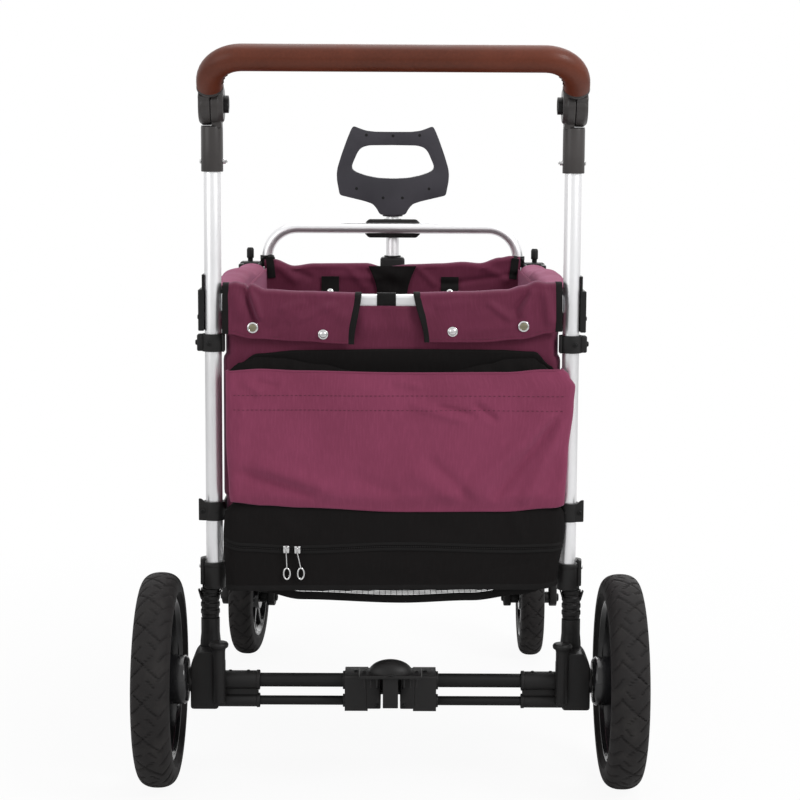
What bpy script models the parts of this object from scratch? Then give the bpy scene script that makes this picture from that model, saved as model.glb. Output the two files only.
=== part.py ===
"""Folding wagon: a fabric tub on a folding steel frame with two rear wheels and two casters.

Metres, +X to the right, +Y towards the pull handle, +Z up. The origin is on the floor under the
middle of the wagon. The rear frame carries the push handle, and the front frame the casters, the
U-bar and the pull handle. Two floor halves and two pairs of side rails join the frames, each with
a knee in the middle, so that the frames come together when the floor is pulled up.
"""

import math

import bmesh
import bpy
from mathutils import Matrix, Vector

# Clearances
FIT = 0.0003
EASE = 0.0005
SHAFT_FIT = 0.0004
KNEE_EASE = 0.0006

# Stance
WHEEL_BASE = 0.734
REAR_Y = -0.3263
POST_X = 0.2335
POST_R = 0.011
POST_WALL = 0.0016

# Rear wheels
REAR_TYRE_R = 0.1424
REAR_TYRE_WIDTH = 0.050
REAR_WHEEL_X = 0.307
REAR_TYRE_SECTION = 0.0309
REAR_HUB_R = 0.0325
REAR_HUB_FACE_X = 0.269
STUB_AXLE_R = 0.006
SPOKES = 6

# Casters
CASTER_R = 0.096
CASTER_WIDTH = 0.038
CASTER_TRAIL = 0.035
CASTER_STEER_LEFT = math.radians(-7.0)
FORK_INNER = 0.032
FORK_ARM = 0.0125
FORK_CROWN_Z = 0.197
FORK_CROWN_DEPTH = 0.0105
FORK_CROWN_BACK = 0.030
FORK_CROWN_FRONT = 0.019
FORK_ARM_INSET = 0.003
FORK_TIP_R = 0.013
FORK_SPACER_R = 0.0095
FORK_OVERLAP = 0.004
CASTER_AXLE_R = 0.006
CASTER_HUB_R = 0.022
CASTER_RIM_R = 0.067
CASTER_DISH = 0.008
CASTER_STEM_R = 0.008
CASTER_STEM_LENGTH = 0.046
CASTER_HOUSING_R = 0.017
CASTER_HOUSING_HEIGHT = 0.052

# Folding linkage
PIVOT_INSET = 0.035
FLOOR_Z = 0.372
RAIL_Z = 0.642
KNEE_OFFSET = 0.012
LINK_PIN_R = 0.004

# Floor halves
ARM_X = 0.187
ARM_WIDTH = 0.016
ARM_HALF_HEIGHT = 0.010
FLOOR_KNEE_R = 0.008
FLOOR_KNEE_PIN_R = 0.003
CROSS_TUBE_R = 0.007
CROSS_TUBE_INSET = 0.060
BOARD_HALF_WIDTH = 0.205
BOARD_THICKNESS = 0.008
BOARD_END_LAP = 0.005

# Side rails
RAIL_WIDTH = 0.016
RAIL_HALF_HEIGHT = 0.0115
RAIL_KNEE_R = 0.006
RAIL_KNEE_PIN_R = 0.002

# Rear frame
POST_TOP = 0.859
POST_FOOT = 0.273
CROSSBAR_Z = 0.635
CROSSBAR_HEIGHT = 0.0235
CROSSBAR_DEPTH = 0.012
CLAMP_R = 0.015
UPPER_CLAMP_Z = 0.583
UPPER_CLAMP_HEIGHT = 0.023
UPPER_EAR_X = 0.2544
LOWER_CLAMP_HEIGHT = 0.0245
LOWER_EAR_X = 0.2531
LOWER_EAR_REACH = 0.022
CHEEK = 0.0045
CHEEK_GAP = 0.0228
CHEEK_REACH = 0.012
BRACKET_WEB = 0.005
BRACKET_BELOW_RAIL = 0.032
BRACKET_HEIGHT = 0.054
OUTER_CHEEK_X = 0.2525
TONGUE_HEIGHT = 0.019

# Push handle
SLEEVE_R = 0.01425
SLEEVE_FOOT_Z = 0.816
SLEEVE_TOP_Z = 0.8739
KNUCKLE_Z = 0.9023
KNUCKLE_R = 0.0265
KNUCKLE_WIDTH = 0.033
KNUCKLE_PIN_R = 0.005
HANDLE_RISE = math.radians(43.5)
HANDLE_LENGTH = 0.0833
HANDLE_HALF_WIDTH = 0.231
HANDLE_R = 0.0172
HANDLE_BEND = 0.043
HANDLE_CORE_R = 0.0117
COLLAR_START = 0.0273
COLLAR_END = 0.0338
HANDLE_LEAD = 0.004
BUTTON_R = 0.01125
BUTTON_LENGTH = 0.010
BUTTON_PROUD = 0.005
BUTTON_TRAVEL = 0.004

# Legs and rear axle
SOCKET_TOP_Z = 0.303
SOCKET_HEIGHT = 0.035
SOCKET_R = 0.014
LEG_X = 0.242
LEG_SETBACK = 0.026
LEG_R = 0.0105
LEG_TOP_Z = 0.300
LEG_SHROUD_R = 0.0125
LEG_SHROUD_ABOVE_AXLE = 0.0791
LATCH_R = 0.0118
LATCH_FIN_R = 0.0128
LATCH_SEAT_GAP = 0.0017
LATCH_ROOM = 0.0065
LATCH_FINS = 4
AXLE_BRACKET_IN_X = 0.2285
AXLE_BRACKET_OUT_X = 0.2655
AXLE_BRACKET_BELOW_AXLE = 0.0354
AXLE_BRACKET_ABOVE_AXLE = 0.0406
STEM_X = 0.2272
STEM_R = 0.0086
STEM_CAP_R = 0.01325
STEM_ABOVE_AXLE = 0.0565
AXLE_TUBE_R = 0.00925
AXLE_TUBE_END_WALL = 0.0155
AXLE_SLEEVE_R = 0.01235
SLEEVE_END_X = 0.174
BRAKE_ROD_R = 0.0062
BRAKE_ROD_BELOW_AXLE = 0.0279
ROD_SLEEVE_R = 0.0088
BRAKE_ROD_END_X = 0.264
BRAKE_ROD_START_X = 0.034

# Brake
HOUSING_OUT_X = 0.0605
HOUSING_IN_X = 0.0128
HOUSING_BELOW_AXLE = 0.0354
HOUSING_ABOVE_AXLE = 0.0131
HOUSING_BACK = 0.030
HOUSING_FRONT = 0.022
HOUSING_WEB_BELOW_AXLE = 0.0139
HOUSING_WEB_ABOVE_AXLE = 0.0113
PEDAL_HALF_WIDTH = 0.041
PEDAL_DOME_HALF_WIDTH = 0.029
PEDAL_BACK = 0.075
PEDAL_ABOVE_AXLE = 0.0211
PEDAL_THICKNESS = 0.0045
PEDAL_TOP_ABOVE_AXLE = 0.0421
PEDAL_PIVOT_BACK = 0.022
PEDAL_PIVOT_BELOW_AXLE = 0.0104
PEDAL_RIB_HALF_WIDTH = 0.010
PEDAL_EYE_R = 0.009
PEDAL_PIN_R = 0.003

# Front frame
BLOCK_IN_X = 0.2147
BLOCK_OUT_X = 0.2522
BLOCK_BELOW_RAIL = 0.016
BLOCK_ABOVE_RAIL = 0.014
BLOCK_CAP = 0.004
BLOCK_FRONT = 0.016
KNOB_X = 0.236
KNOB_R = 0.0059
KNOB_NECK_R = 0.004
KNOB_NECK_HEIGHT = 0.006
KNOB_HEIGHT = 0.017
FRONT_BAR_Z = 0.6235
FRONT_BAR_HEIGHT = 0.023
FRONT_BAR_DEPTH = 0.012
U_BAR_X = 0.208
U_BAR_R = 0.0088
U_BAR_TOP_Z = 0.7118
U_BAR_BEND = 0.050
WING_ABOVE_BLOCK = 0.008
WING_HEIGHT = 0.016
LOWER_BAR_Z = 0.300
LOWER_BAR_HEIGHT = 0.024

# Pull handle
PULL_FORWARD = 0.0221
PULL_OUTER_R = 0.01325
PULL_INNER_R = 0.0105
PULL_INNER_WALL = 0.0015
PULL_FOOT_Z = 0.292
PULL_COLLAR_X = 0.0203
PULL_COLLAR_Y = 0.017
PULL_COLLAR_Z = 0.6077
PULL_COLLAR_TOP_Z = 0.6625
PULL_INNER_FOOT_Z = 0.332
GRIP_NECK_Z = 0.7337
GRIP_THICKNESS = 0.035
GRIP_BEVEL = 0.005
GRIP_SEAT_DEPTH = 0.014
CLIP_HALF_WIDTH = 0.0475
CLIP_FOOT_Z = 0.696
CLIP_TOP_Z = 0.7265
CLIP_WALL = 0.0042
CLEVIS_LUG = 0.004
CLEVIS_PIN_R = 0.003

# Grip outline above the neck: half width and height, from the top middle round to the neck
GRIP_OUTLINE = (
    (0.030, 0.1368), (0.045, 0.1388), (0.056, 0.1428), (0.0655, 0.1463), (0.076, 0.1243),
    (0.085, 0.0993), (0.0915, 0.0783), (0.0928, 0.0683), (0.0925, 0.0563), (0.088, 0.0323),
    (0.067, 0.0273), (0.046, 0.0223), (0.033, 0.0178), (0.0265, 0.0103), (0.021, 0.0),
)
GRIP_OPENING = (
    (0.040, 0.1143), (0.052, 0.1108), (0.0585, 0.1038), (0.0683, 0.0813), (0.0675, 0.0753),
    (0.062, 0.0708), (0.045, 0.0648), (0.025, 0.0608), (0.0, 0.0597),
)

# Fabric
WALL_HALF_WIDTH = 0.2145
REAR_WALL_BACK = 0.0135
REAR_WALL_THICKNESS = 0.007
WALL_TOP_Z = 0.661
NOTCH_HALF_WIDTH = 0.050
NOTCH_Z = 0.632
BAND_HALF_WIDTH = 0.219
BAND_BACK = 0.030
BAND_FOOT_Z = 0.2685
BAND_TOP_Z = 0.3735
POCKET_HALF_WIDTH = 0.217
POCKET_BACK = 0.040
POCKET_FOOT_Z = 0.378
POCKET_TOP_Z = 0.563
POCKET_WALL = 0.003
FRONT_WALL_BACK = 0.0195
SIDE_END_GAP = 0.060
SIDE_PANEL_X = 0.2065
SIDE_PANEL_WALL = 0.011
SIDE_LIP_X = 0.250
SIDE_LIP_WALL = 0.004
SIDE_LIP_Z = 0.620
SIDE_CROWN = 0.004
BAG_HALF_WIDTH = 0.214
BAG_FOOT_Z = 0.2585
BAG_TOP_Z = 0.358
BAG_WALL = 0.0025

# Facets
SIDES = 16
WHEEL_STEPS = 32
SMALL_SIDES = 12

# Worked out from the sizes above
FRONT_Y = REAR_Y + WHEEL_BASE
MID_Y = REAR_Y + WHEEL_BASE / 2
PULL_Y = FRONT_Y + PULL_FORWARD
LEG_Y = REAR_Y + LEG_SETBACK
REAR_RIM_R = REAR_TYRE_R - REAR_TYRE_SECTION
AXLE_BRACKET_FOOT_Z = REAR_TYRE_R - AXLE_BRACKET_BELOW_AXLE
AXLE_BRACKET_TOP_Z = REAR_TYRE_R + AXLE_BRACKET_ABOVE_AXLE
LEG_SHROUD_TOP_Z = REAR_TYRE_R + LEG_SHROUD_ABOVE_AXLE
LATCH_FOOT_Z = LEG_SHROUD_TOP_Z + LATCH_SEAT_GAP
LATCH_HEIGHT = SOCKET_TOP_Z - SOCKET_HEIGHT - LATCH_ROOM - LATCH_FOOT_Z
STEM_TOP_Z = REAR_TYRE_R + STEM_ABOVE_AXLE
AXLE_TUBE_HALF = AXLE_BRACKET_OUT_X - AXLE_TUBE_END_WALL
BRAKE_ROD_Z = REAR_TYRE_R - BRAKE_ROD_BELOW_AXLE
HOUSING_FOOT_Z = REAR_TYRE_R - HOUSING_BELOW_AXLE
HOUSING_TOP_Z = REAR_TYRE_R + HOUSING_ABOVE_AXLE
HOUSING_WEB_Z = REAR_TYRE_R - HOUSING_WEB_BELOW_AXLE
HOUSING_WEB_TOP_Z = REAR_TYRE_R + HOUSING_WEB_ABOVE_AXLE
PEDAL_Z = REAR_TYRE_R + PEDAL_ABOVE_AXLE
PEDAL_TOP_Z = REAR_TYRE_R + PEDAL_TOP_ABOVE_AXLE
PEDAL_PIVOT_Z = REAR_TYRE_R - PEDAL_PIVOT_BELOW_AXLE
BRACKET_FOOT_Z = RAIL_Z - BRACKET_BELOW_RAIL
BLOCK_FOOT_Z = RAIL_Z - BLOCK_BELOW_RAIL
BLOCK_TOP_Z = RAIL_Z + BLOCK_ABOVE_RAIL
FRONT_POST_TOP = BLOCK_TOP_Z - BLOCK_CAP
KNOB_FOOT_Z = BLOCK_TOP_Z + KNOB_NECK_HEIGHT
KNOB_TOP_Z = KNOB_FOOT_Z + KNOB_HEIGHT
WING_TOP_Z = BLOCK_TOP_Z + WING_ABOVE_BLOCK
WING_FOOT_Z = WING_TOP_Z - WING_HEIGHT
CLAMP_BORE_R = POST_R + FIT
LOWER_CLAMP_Z = FLOOR_Z - LOWER_CLAMP_HEIGHT / 2
BOARD_Z = FLOOR_Z + ARM_HALF_HEIGHT + EASE
RAIL_X = POST_X
SIDE_NAMES = {-1: "left", 1: "right"}
ORIGIN = Vector((0.0, 0.0, 0.0))

PAINTS = {
    "silver_tube": ((0.80, 0.80, 0.81), 0.30, 0.9),
    "black_plastic": ((0.018, 0.018, 0.020), 0.45, 0.0),
    "black_steel": ((0.020, 0.020, 0.022), 0.35, 0.5),
    "leather": ((0.130, 0.030, 0.012), 0.38, 0.0),
    "sleeve_plastic": ((0.060, 0.055, 0.052), 0.40, 0.0),
    "tyre_rubber": ((0.028, 0.026, 0.026), 0.80, 0.0),
    "maroon_fabric": ((0.190, 0.045, 0.085), 0.90, 0.0),
    "black_fabric": ((0.014, 0.012, 0.013), 0.92, 0.0),
    "board": ((0.050, 0.045, 0.045), 0.80, 0.0),
}


def clear_scene():
    """Remove what the scene holds, and start two collections."""
    for obj in list(bpy.data.objects):
        bpy.data.objects.remove(obj)
    made = []
    for name in ("folding_wagon", "wagon_cutters"):
        collection = bpy.data.collections.new(name)
        bpy.context.scene.collection.children.link(collection)
        made.append(collection)
    return made


PARTS, CUTTERS = clear_scene()


def material(paint):
    """The material of that name, made at its first use."""
    found = bpy.data.materials.get(paint)
    if found:
        return found
    colour, roughness, metallic = PAINTS[paint]
    made = bpy.data.materials.new(paint)
    made.use_nodes = True
    shader = made.node_tree.nodes["Principled BSDF"]
    shader.inputs["Base Color"].default_value = (*colour, 1.0)
    shader.inputs["Roughness"].default_value = roughness
    shader.inputs["Metallic"].default_value = metallic
    return made


def place_mesh(name, bm, location=ORIGIN):
    """An object at location from a bmesh, with its round faces smooth."""
    mesh = bpy.data.meshes.new(name)
    bm.to_mesh(mesh)
    bm.free()
    mesh.shade_smooth()
    mesh.set_sharp_from_angle(angle=math.radians(35))
    obj = bpy.data.objects.new(name, mesh)
    obj.location = location
    PARTS.objects.link(obj)
    return obj


def block(name, x, y, z, rounding=0.0, across=None):
    """A box between pairs of coordinates. Only edges along the axis across are rounded, or all."""
    low = Vector([min(pair) for pair in (x, y, z)])
    high = Vector([max(pair) for pair in (x, y, z)])
    bm = bmesh.new()
    bmesh.ops.create_cube(bm, size=1.0)
    bmesh.ops.scale(bm, vec=high - low, verts=bm.verts)
    if rounding:
        edges = bm.edges[:]
        if across is not None:
            edges = [e for e in edges
                     if abs((e.verts[0].co - e.verts[1].co).normalized()[across]) > 0.9]
        bmesh.ops.bevel(bm, geom=edges, offset=rounding, segments=1 if across is None else 2,
                        profile=0.5, affect="EDGES")
    return place_mesh(name, bm, (low + high) / 2)


def rod(name, start, end, radius, sides=SIDES):
    """A round bar from start to end."""
    start, end = Vector(start), Vector(end)
    bm = bmesh.new()
    bmesh.ops.create_cone(bm, cap_ends=True, segments=sides, radius1=radius, radius2=radius,
                          depth=(end - start).length)
    turn = (end - start).to_track_quat("Z", "Y").to_matrix().to_4x4()
    bmesh.ops.transform(bm, matrix=turn, verts=bm.verts)
    return place_mesh(name, bm, (start + end) / 2)


def turned(name, base, axis, profile, closed=True, steps=SIDES):
    """A turned piece: a profile of (radius, height) points spun about axis through base."""
    bm = bmesh.new()
    verts = [bm.verts.new((radius, 0.0, height)) for radius, height in profile]
    for first, second in zip(verts, verts[1:]):
        bm.edges.new((first, second))
    if closed:
        bm.edges.new((verts[-1], verts[0]))
    obj = place_mesh(name, bm, base)
    obj.rotation_euler = Vector(axis).to_track_quat("Z", "Y").to_euler()
    screw = obj.modifiers.new("turn", "SCREW")
    screw.steps = screw.render_steps = steps
    screw.use_merge_vertices = True
    screw.merge_threshold = 0.00005
    screw.use_smooth_shade = True
    return obj


def pipe(name, base, axis, length, radius, bore, steps=SIDES):
    """A tube that is open at both ends."""
    profile = ((radius, length), (radius, 0.0), (bore, 0.0), (bore, length))
    return turned(name, base, axis, profile, steps=steps)


def as_mesh(curve_object):
    """The mesh object of a curve object, with its caps welded on."""
    graph = bpy.context.evaluated_depsgraph_get()
    graph.update()
    mesh = bpy.data.meshes.new_from_object(curve_object.evaluated_get(graph))
    bm = bmesh.new()
    bm.from_mesh(mesh)
    bmesh.ops.remove_doubles(bm, verts=bm.verts, dist=0.00002)
    bm.to_mesh(mesh)
    bm.free()
    mesh.shade_smooth()
    mesh.set_sharp_from_angle(angle=math.radians(35))
    name, matrix = curve_object.name, curve_object.matrix_world.copy()
    bpy.data.objects.remove(curve_object)
    obj = bpy.data.objects.new(name, mesh)
    obj.matrix_world = matrix
    PARTS.objects.link(obj)
    return obj


def plate(name, outlines, plane, centre, thickness, bevel=0.0):
    """A flat piece in the plane XZ or YZ from closed outlines, the second one a hole."""
    curve = bpy.data.curves.new(name, "CURVE")
    curve.dimensions = "2D"
    curve.fill_mode = "BOTH"
    curve.extrude = thickness / 2 - bevel
    curve.bevel_depth = bevel
    curve.bevel_resolution = 1
    curve.render_resolution_u = 0
    curve.offset = -bevel
    for outline in outlines:
        spline = curve.splines.new("POLY")
        spline.points.add(len(outline) - 1)
        for point, (across, up) in zip(spline.points, outline):
            point.co = (across, up, 0.0, 1.0)
        spline.use_cyclic_u = True
    obj = bpy.data.objects.new(name, curve)
    turns = {"XZ": (math.pi / 2, 0.0, 0.0), "YZ": (math.pi / 2, 0.0, math.pi / 2)}
    obj.rotation_euler = turns[plane]
    obj.location = centre
    PARTS.objects.link(obj)
    return as_mesh(obj)


def rounded_path(corners, bend, steps=6):
    """The corners' path with each inner corner replaced by an arc of radius bend."""
    corners = [Vector(corner) for corner in corners]
    path = [corners[0]]
    for before, corner, after in zip(corners, corners[1:], corners[2:]):
        back, ahead = (before - corner).normalized(), (after - corner).normalized()
        half = back.angle(ahead) / 2
        setback = bend / math.tan(half)
        middle = corner + (back + ahead).normalized() * (bend / math.sin(half))
        first = (corner + back * setback - middle).normalized()
        last = (corner + ahead * setback - middle).normalized()
        path += [middle + first.slerp(last, step / steps) * bend for step in range(steps + 1)]
    return path + [corners[-1]]


def bent_tube(name, path, radius, resolution=2):
    """A round tube along a path of points."""
    curve = bpy.data.curves.new(name, "CURVE")
    curve.dimensions = "3D"
    curve.bevel_depth = radius
    curve.bevel_resolution = resolution
    curve.render_resolution_u = 0
    curve.use_fill_caps = True
    spline = curve.splines.new("POLY")
    spline.points.add(len(path) - 1)
    for point, place in zip(spline.points, path):
        point.co = (*place, 1.0)
    obj = bpy.data.objects.new(name, curve)
    PARTS.objects.link(obj)
    return as_mesh(obj)


def apply_tool(target, tool, operation):
    """Join or cut target with tool, which moves along with it from then on."""
    PARTS.objects.unlink(tool)
    CUTTERS.objects.link(tool)
    tool.hide_render = True
    tool.display_type = "WIRE"
    tool.parent = target
    tool.matrix_parent_inverse = target.matrix_basis.inverted()
    boolean = target.modifiers.new(tool.name, "BOOLEAN")
    boolean.operation = operation
    boolean.object = tool


def join(target, *tools):
    """Fuse the tools into target."""
    for tool in tools:
        apply_tool(target, tool, "UNION")
    return target


def cut(target, *tools):
    """Cut the tools out of target."""
    for tool in tools:
        apply_tool(target, tool, "DIFFERENCE")
    return target


def solve_as_solids(obj):
    """Solve a piece's Booleans as closed solids, where many faces lie in nearly the same plane."""
    for piece in [obj, *obj.children]:
        for modifier in piece.modifiers:
            if modifier.type == "BOOLEAN":
                modifier.solver = "MANIFOLD"
    return obj


def finish(obj, name, paint, axis=None):
    """Name and paint a finished piece, and hang it on the empty of its joint."""
    obj.name = name
    obj.data.materials.clear()
    obj.data.materials.append(material(paint))
    if axis is not None:
        obj.parent = axis
        obj.matrix_parent_inverse = Matrix.Translation(-axis_place(axis))
    return obj


def axis_place(empty):
    """Where an axis empty stands in the world at rest."""
    return Vector(empty["place"])


def axis_empty(name, place, parent=None):
    """An empty on a joint's axis."""
    empty = bpy.data.objects.new(name, None)
    empty.empty_display_size = 0.03
    empty.location = place
    empty["place"] = tuple(place)
    PARTS.objects.link(empty)
    if parent is not None:
        empty.parent = parent
        empty.matrix_parent_inverse = Matrix.Translation(-axis_place(parent))
    return empty


def rear_uprights():
    """Two tubes from the leg sockets to the handle sleeves."""
    for side, word in SIDE_NAMES.items():
        tube = pipe("tube", (side * POST_X, REAR_Y, POST_FOOT), (0, 0, 1), POST_TOP - POST_FOOT,
                    POST_R, POST_R - POST_WALL)
        finish(tube, f"rear_upright_{word}", "silver_tube")


def rear_crossbar():
    """The flat bar between the uprights that carries the rear wall."""
    half = POST_X - POST_R - FIT
    bar = block("bar", (-half, half), (REAR_Y - CROSSBAR_DEPTH / 2, REAR_Y + CROSSBAR_DEPTH / 2),
                (CROSSBAR_Z, CROSSBAR_Z + CROSSBAR_HEIGHT), 0.004, across=0)
    finish(bar, "rear_crossbar", "silver_tube")


def ring_on(side, post_y, foot, height, bore):
    """A clamp's ring round the upright on that side."""
    return pipe("ring", (side * POST_X, post_y, foot), (0, 0, 1), height, CLAMP_R, bore)


def upper_clamps():
    """Rings with an empty ear for a canopy post."""
    for side, word in SIDE_NAMES.items():
        ring = ring_on(side, REAR_Y, UPPER_CLAMP_Z, UPPER_CLAMP_HEIGHT, CLAMP_BORE_R)
        ear = block("ear", (side * (POST_X + CLAMP_BORE_R + 0.001), side * UPPER_EAR_X),
                    (REAR_Y - 0.007, REAR_Y + 0.007),
                    (UPPER_CLAMP_Z + 0.004, UPPER_CLAMP_Z + UPPER_CLAMP_HEIGHT - 0.004), 0.0015)
        finish(join(ring, ear), f"upper_clamp_{word}", "black_plastic")


def link_seat(side, post_y, way):
    """The flange, pivot pin and ear of a lower clamp. Way is +1 where the pivot lies forward."""
    flange_x = POST_X - CLAMP_BORE_R - 0.0002
    pivot_y = post_y + way * PIVOT_INSET
    low, high = LOWER_CLAMP_Z, LOWER_CLAMP_Z + LOWER_CLAMP_HEIGHT
    flange = block("flange", (side * (flange_x - 0.0035), side * flange_x),
                   (post_y, pivot_y + way * 0.010), (low, high), 0.001)
    pin = rod("pin", (side * ARM_X, pivot_y, FLOOR_Z), (side * (flange_x - 0.001), pivot_y, FLOOR_Z),
              LINK_PIN_R, SMALL_SIDES)
    ear = block("ear", (side * (POST_X + CLAMP_BORE_R + 0.001), side * LOWER_EAR_X),
                (post_y - way * 0.006, post_y + way * LOWER_EAR_REACH), (low + 0.003, high - 0.003),
                0.0015)
    return flange, pin, ear


def lower_clamps():
    """Rings round the rear uprights that carry the floor's pivots."""
    for side, word in SIDE_NAMES.items():
        ring = ring_on(side, REAR_Y, LOWER_CLAMP_Z, LOWER_CLAMP_HEIGHT, CLAMP_BORE_R)
        join(ring, *link_seat(side, REAR_Y, 1))
        finish(ring, f"lower_clamp_{word}", "black_plastic")


def rail_cheeks(side, post_y, way, low, high):
    """The two cheeks and the pivot pin that carry a side rail."""
    reach = post_y + way * (PIVOT_INSET + CHEEK_REACH)
    start = post_y + way * (CROSSBAR_DEPTH / 2 + 0.0008)
    inner_x = POST_X - CLAMP_BORE_R - 0.0002
    outer_x = inner_x + CHEEK_GAP
    inner = block("inner_cheek", (side * (inner_x - CHEEK), side * inner_x), (start, reach),
                  (low, high), 0.001)
    outer = block("outer_cheek", (side * outer_x, side * OUTER_CHEEK_X),
                  (post_y - way * 0.008, reach), (low, high), 0.001)
    pin = rod("pin", (side * (inner_x - 0.001), post_y + way * PIVOT_INSET, RAIL_Z),
              (side * (outer_x + 0.001), post_y + way * PIVOT_INSET, RAIL_Z), LINK_PIN_R,
              SMALL_SIDES)
    return inner, outer, pin


def rail_brackets():
    """Saddles on the front of the rear uprights, with a tongue above the outer cheek."""
    for side, word in SIDE_NAMES.items():
        low, high = BRACKET_FOOT_Z, BRACKET_FOOT_Z + BRACKET_HEIGHT
        web_y = REAR_Y + POST_R + EASE
        inner, outer, pin = rail_cheeks(side, REAR_Y, 1, low, high)
        inner_x = POST_X - CLAMP_BORE_R - 0.0002
        web = block("web", (side * (inner_x - CHEEK + 0.0005), side * (OUTER_CHEEK_X - 0.0005)),
                    (web_y, web_y + BRACKET_WEB), (low + 0.0005, high - 0.0005))
        tongue_x = inner_x + CHEEK_GAP
        tongue = block("tongue", (side * tongue_x, side * (tongue_x + 0.0028)),
                       (REAR_Y - 0.006, REAR_Y + 0.020), (high - 0.003, high + TONGUE_HEIGHT))
        join(web, inner, outer, pin, tongue)
        finish(web, f"rail_bracket_{word}", "black_steel")


def handle_direction(distance, offset=0.0):
    """A point (y, z) at a distance along the push handle's arm, and offset across it."""
    along = Vector((-math.cos(HANDLE_RISE), math.sin(HANDLE_RISE)))
    across = Vector((math.sin(HANDLE_RISE), math.cos(HANDLE_RISE)))
    point = Vector((REAR_Y, KNUCKLE_Z)) + along * distance + across * offset
    return point.x, point.y


def handle_sleeves():
    """Sleeves on the uprights' tops, each with the fixed half of a knuckle and its hinge pin."""
    inner_x = POST_X - KNUCKLE_WIDTH / 2 - 0.0005
    for side, word in SIDE_NAMES.items():
        seam_x = POST_X - FIT / 2
        sleeve = turned(
            "sleeve", (side * POST_X, REAR_Y, 0.0), (0, 0, 1),
            ((0.0, SLEEVE_TOP_Z), (SLEEVE_R - 0.001, SLEEVE_TOP_Z), (SLEEVE_R, SLEEVE_TOP_Z - 0.001),
             (SLEEVE_R, SLEEVE_FOOT_Z), (CLAMP_BORE_R, SLEEVE_FOOT_Z),
             (CLAMP_BORE_R, POST_TOP + FIT), (0.0, POST_TOP + FIT)), closed=False, steps=20)
        disc = rod("disc", (side * inner_x, REAR_Y, KNUCKLE_Z), (side * seam_x, REAR_Y, KNUCKLE_Z),
                   KNUCKLE_R, 24)
        neck = block("neck", (side * (inner_x + 0.003), side * seam_x),
                     (REAR_Y - 0.012, REAR_Y + 0.012), (SLEEVE_TOP_Z - 0.003, KNUCKLE_Z - 0.002))
        pin = rod("pin", (side * (seam_x - 0.002), REAR_Y, KNUCKLE_Z),
                  (side * (POST_X + 0.0115), REAR_Y, KNUCKLE_Z), KNUCKLE_PIN_R, SMALL_SIDES)
        recess_end = inner_x - BUTTON_PROUD + BUTTON_LENGTH + BUTTON_TRAVEL + EASE
        recess = rod("recess", (side * (inner_x - 0.005), REAR_Y, KNUCKLE_Z),
                     (side * recess_end, REAR_Y, KNUCKLE_Z), BUTTON_R + EASE, 20)
        join(sleeve, disc, neck, pin)
        cut(sleeve, recess)
        finish(sleeve, f"handle_sleeve_{word}", "sleeve_plastic")


def knuckles(axis):
    """The halves of the knuckles that turn with the push handle, each with a collar for its end."""
    outer_x = POST_X + KNUCKLE_WIDTH / 2 - 0.0005
    seam_x = POST_X + FIT / 2
    for side, word in SIDE_NAMES.items():
        disc = rod("disc", (side * seam_x, REAR_Y, KNUCKLE_Z), (side * outer_x, REAR_Y, KNUCKLE_Z),
                   KNUCKLE_R, 24)
        corners = [handle_direction(*spot) for spot in
                   ((0.008, -0.0135), (COLLAR_START + 0.004, -0.0135),
                    (COLLAR_START + 0.004, 0.0135), (0.008, 0.0135))]
        neck = plate("neck", [corners], "YZ",
                     (side * (seam_x + outer_x) / 2, 0.0, 0.0), outer_x - seam_x)
        ends = [(side * POST_X, *handle_direction(spot)) for spot in (COLLAR_START, COLLAR_END)]
        collar = rod("collar", *ends, HANDLE_R, 20)
        bore = rod("bore", (side * POST_X, *handle_direction(COLLAR_START + 0.0012)),
                   (side * POST_X, *handle_direction(COLLAR_END + 0.01)), HANDLE_CORE_R + FIT)
        pin_bore = rod("pin_bore", (side * (seam_x - 0.002), REAR_Y, KNUCKLE_Z),
                       (side * (POST_X + 0.012), REAR_Y, KNUCKLE_Z), KNUCKLE_PIN_R + SHAFT_FIT,
                       SMALL_SIDES)
        join(disc, neck, collar)
        cut(disc, bore, pin_bore)
        finish(disc, f"knuckle_{word}", "black_plastic", axis)


def handle_bar(axis):
    """The wrapped push bar with the ends of its core, which sit in the knuckles' collars."""
    start = handle_direction(COLLAR_END + FIT)
    lead = handle_direction(COLLAR_END + HANDLE_LEAD)
    end = handle_direction(HANDLE_LENGTH)
    path = rounded_path([(-POST_X, *start), (-POST_X, *lead), (-HANDLE_HALF_WIDTH, *end),
                         (HANDLE_HALF_WIDTH, *end), (POST_X, *lead), (POST_X, *start)],
                        HANDLE_BEND)
    bar = bent_tube("bar", path, HANDLE_R)
    for side in SIDE_NAMES:
        core = rod("core", (side * POST_X, *handle_direction(COLLAR_START + 0.0015)),
                   (side * POST_X, *handle_direction(COLLAR_END + 0.012)), HANDLE_CORE_R)
        join(bar, core)
    finish(bar, "handle_bar", "leather", axis)


def handle_buttons():
    """Round buttons in the inner faces of the knuckles."""
    face_x = POST_X - KNUCKLE_WIDTH / 2 - 0.0005 - BUTTON_PROUD
    for side, word in SIDE_NAMES.items():
        axis = axis_empty(f"button_axis_{word}", (side * face_x, REAR_Y, KNUCKLE_Z))
        button = turned("button", (side * face_x, REAR_Y, KNUCKLE_Z), (-side, 0, 0),
                        ((0.0, 0.0), (BUTTON_R - 0.0015, 0.0), (BUTTON_R, -0.0015),
                         (BUTTON_R, -BUTTON_LENGTH), (0.0, -BUTTON_LENGTH)), closed=False, steps=20)
        finish(button, f"handle_button_{word}", "black_plastic", axis)


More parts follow.
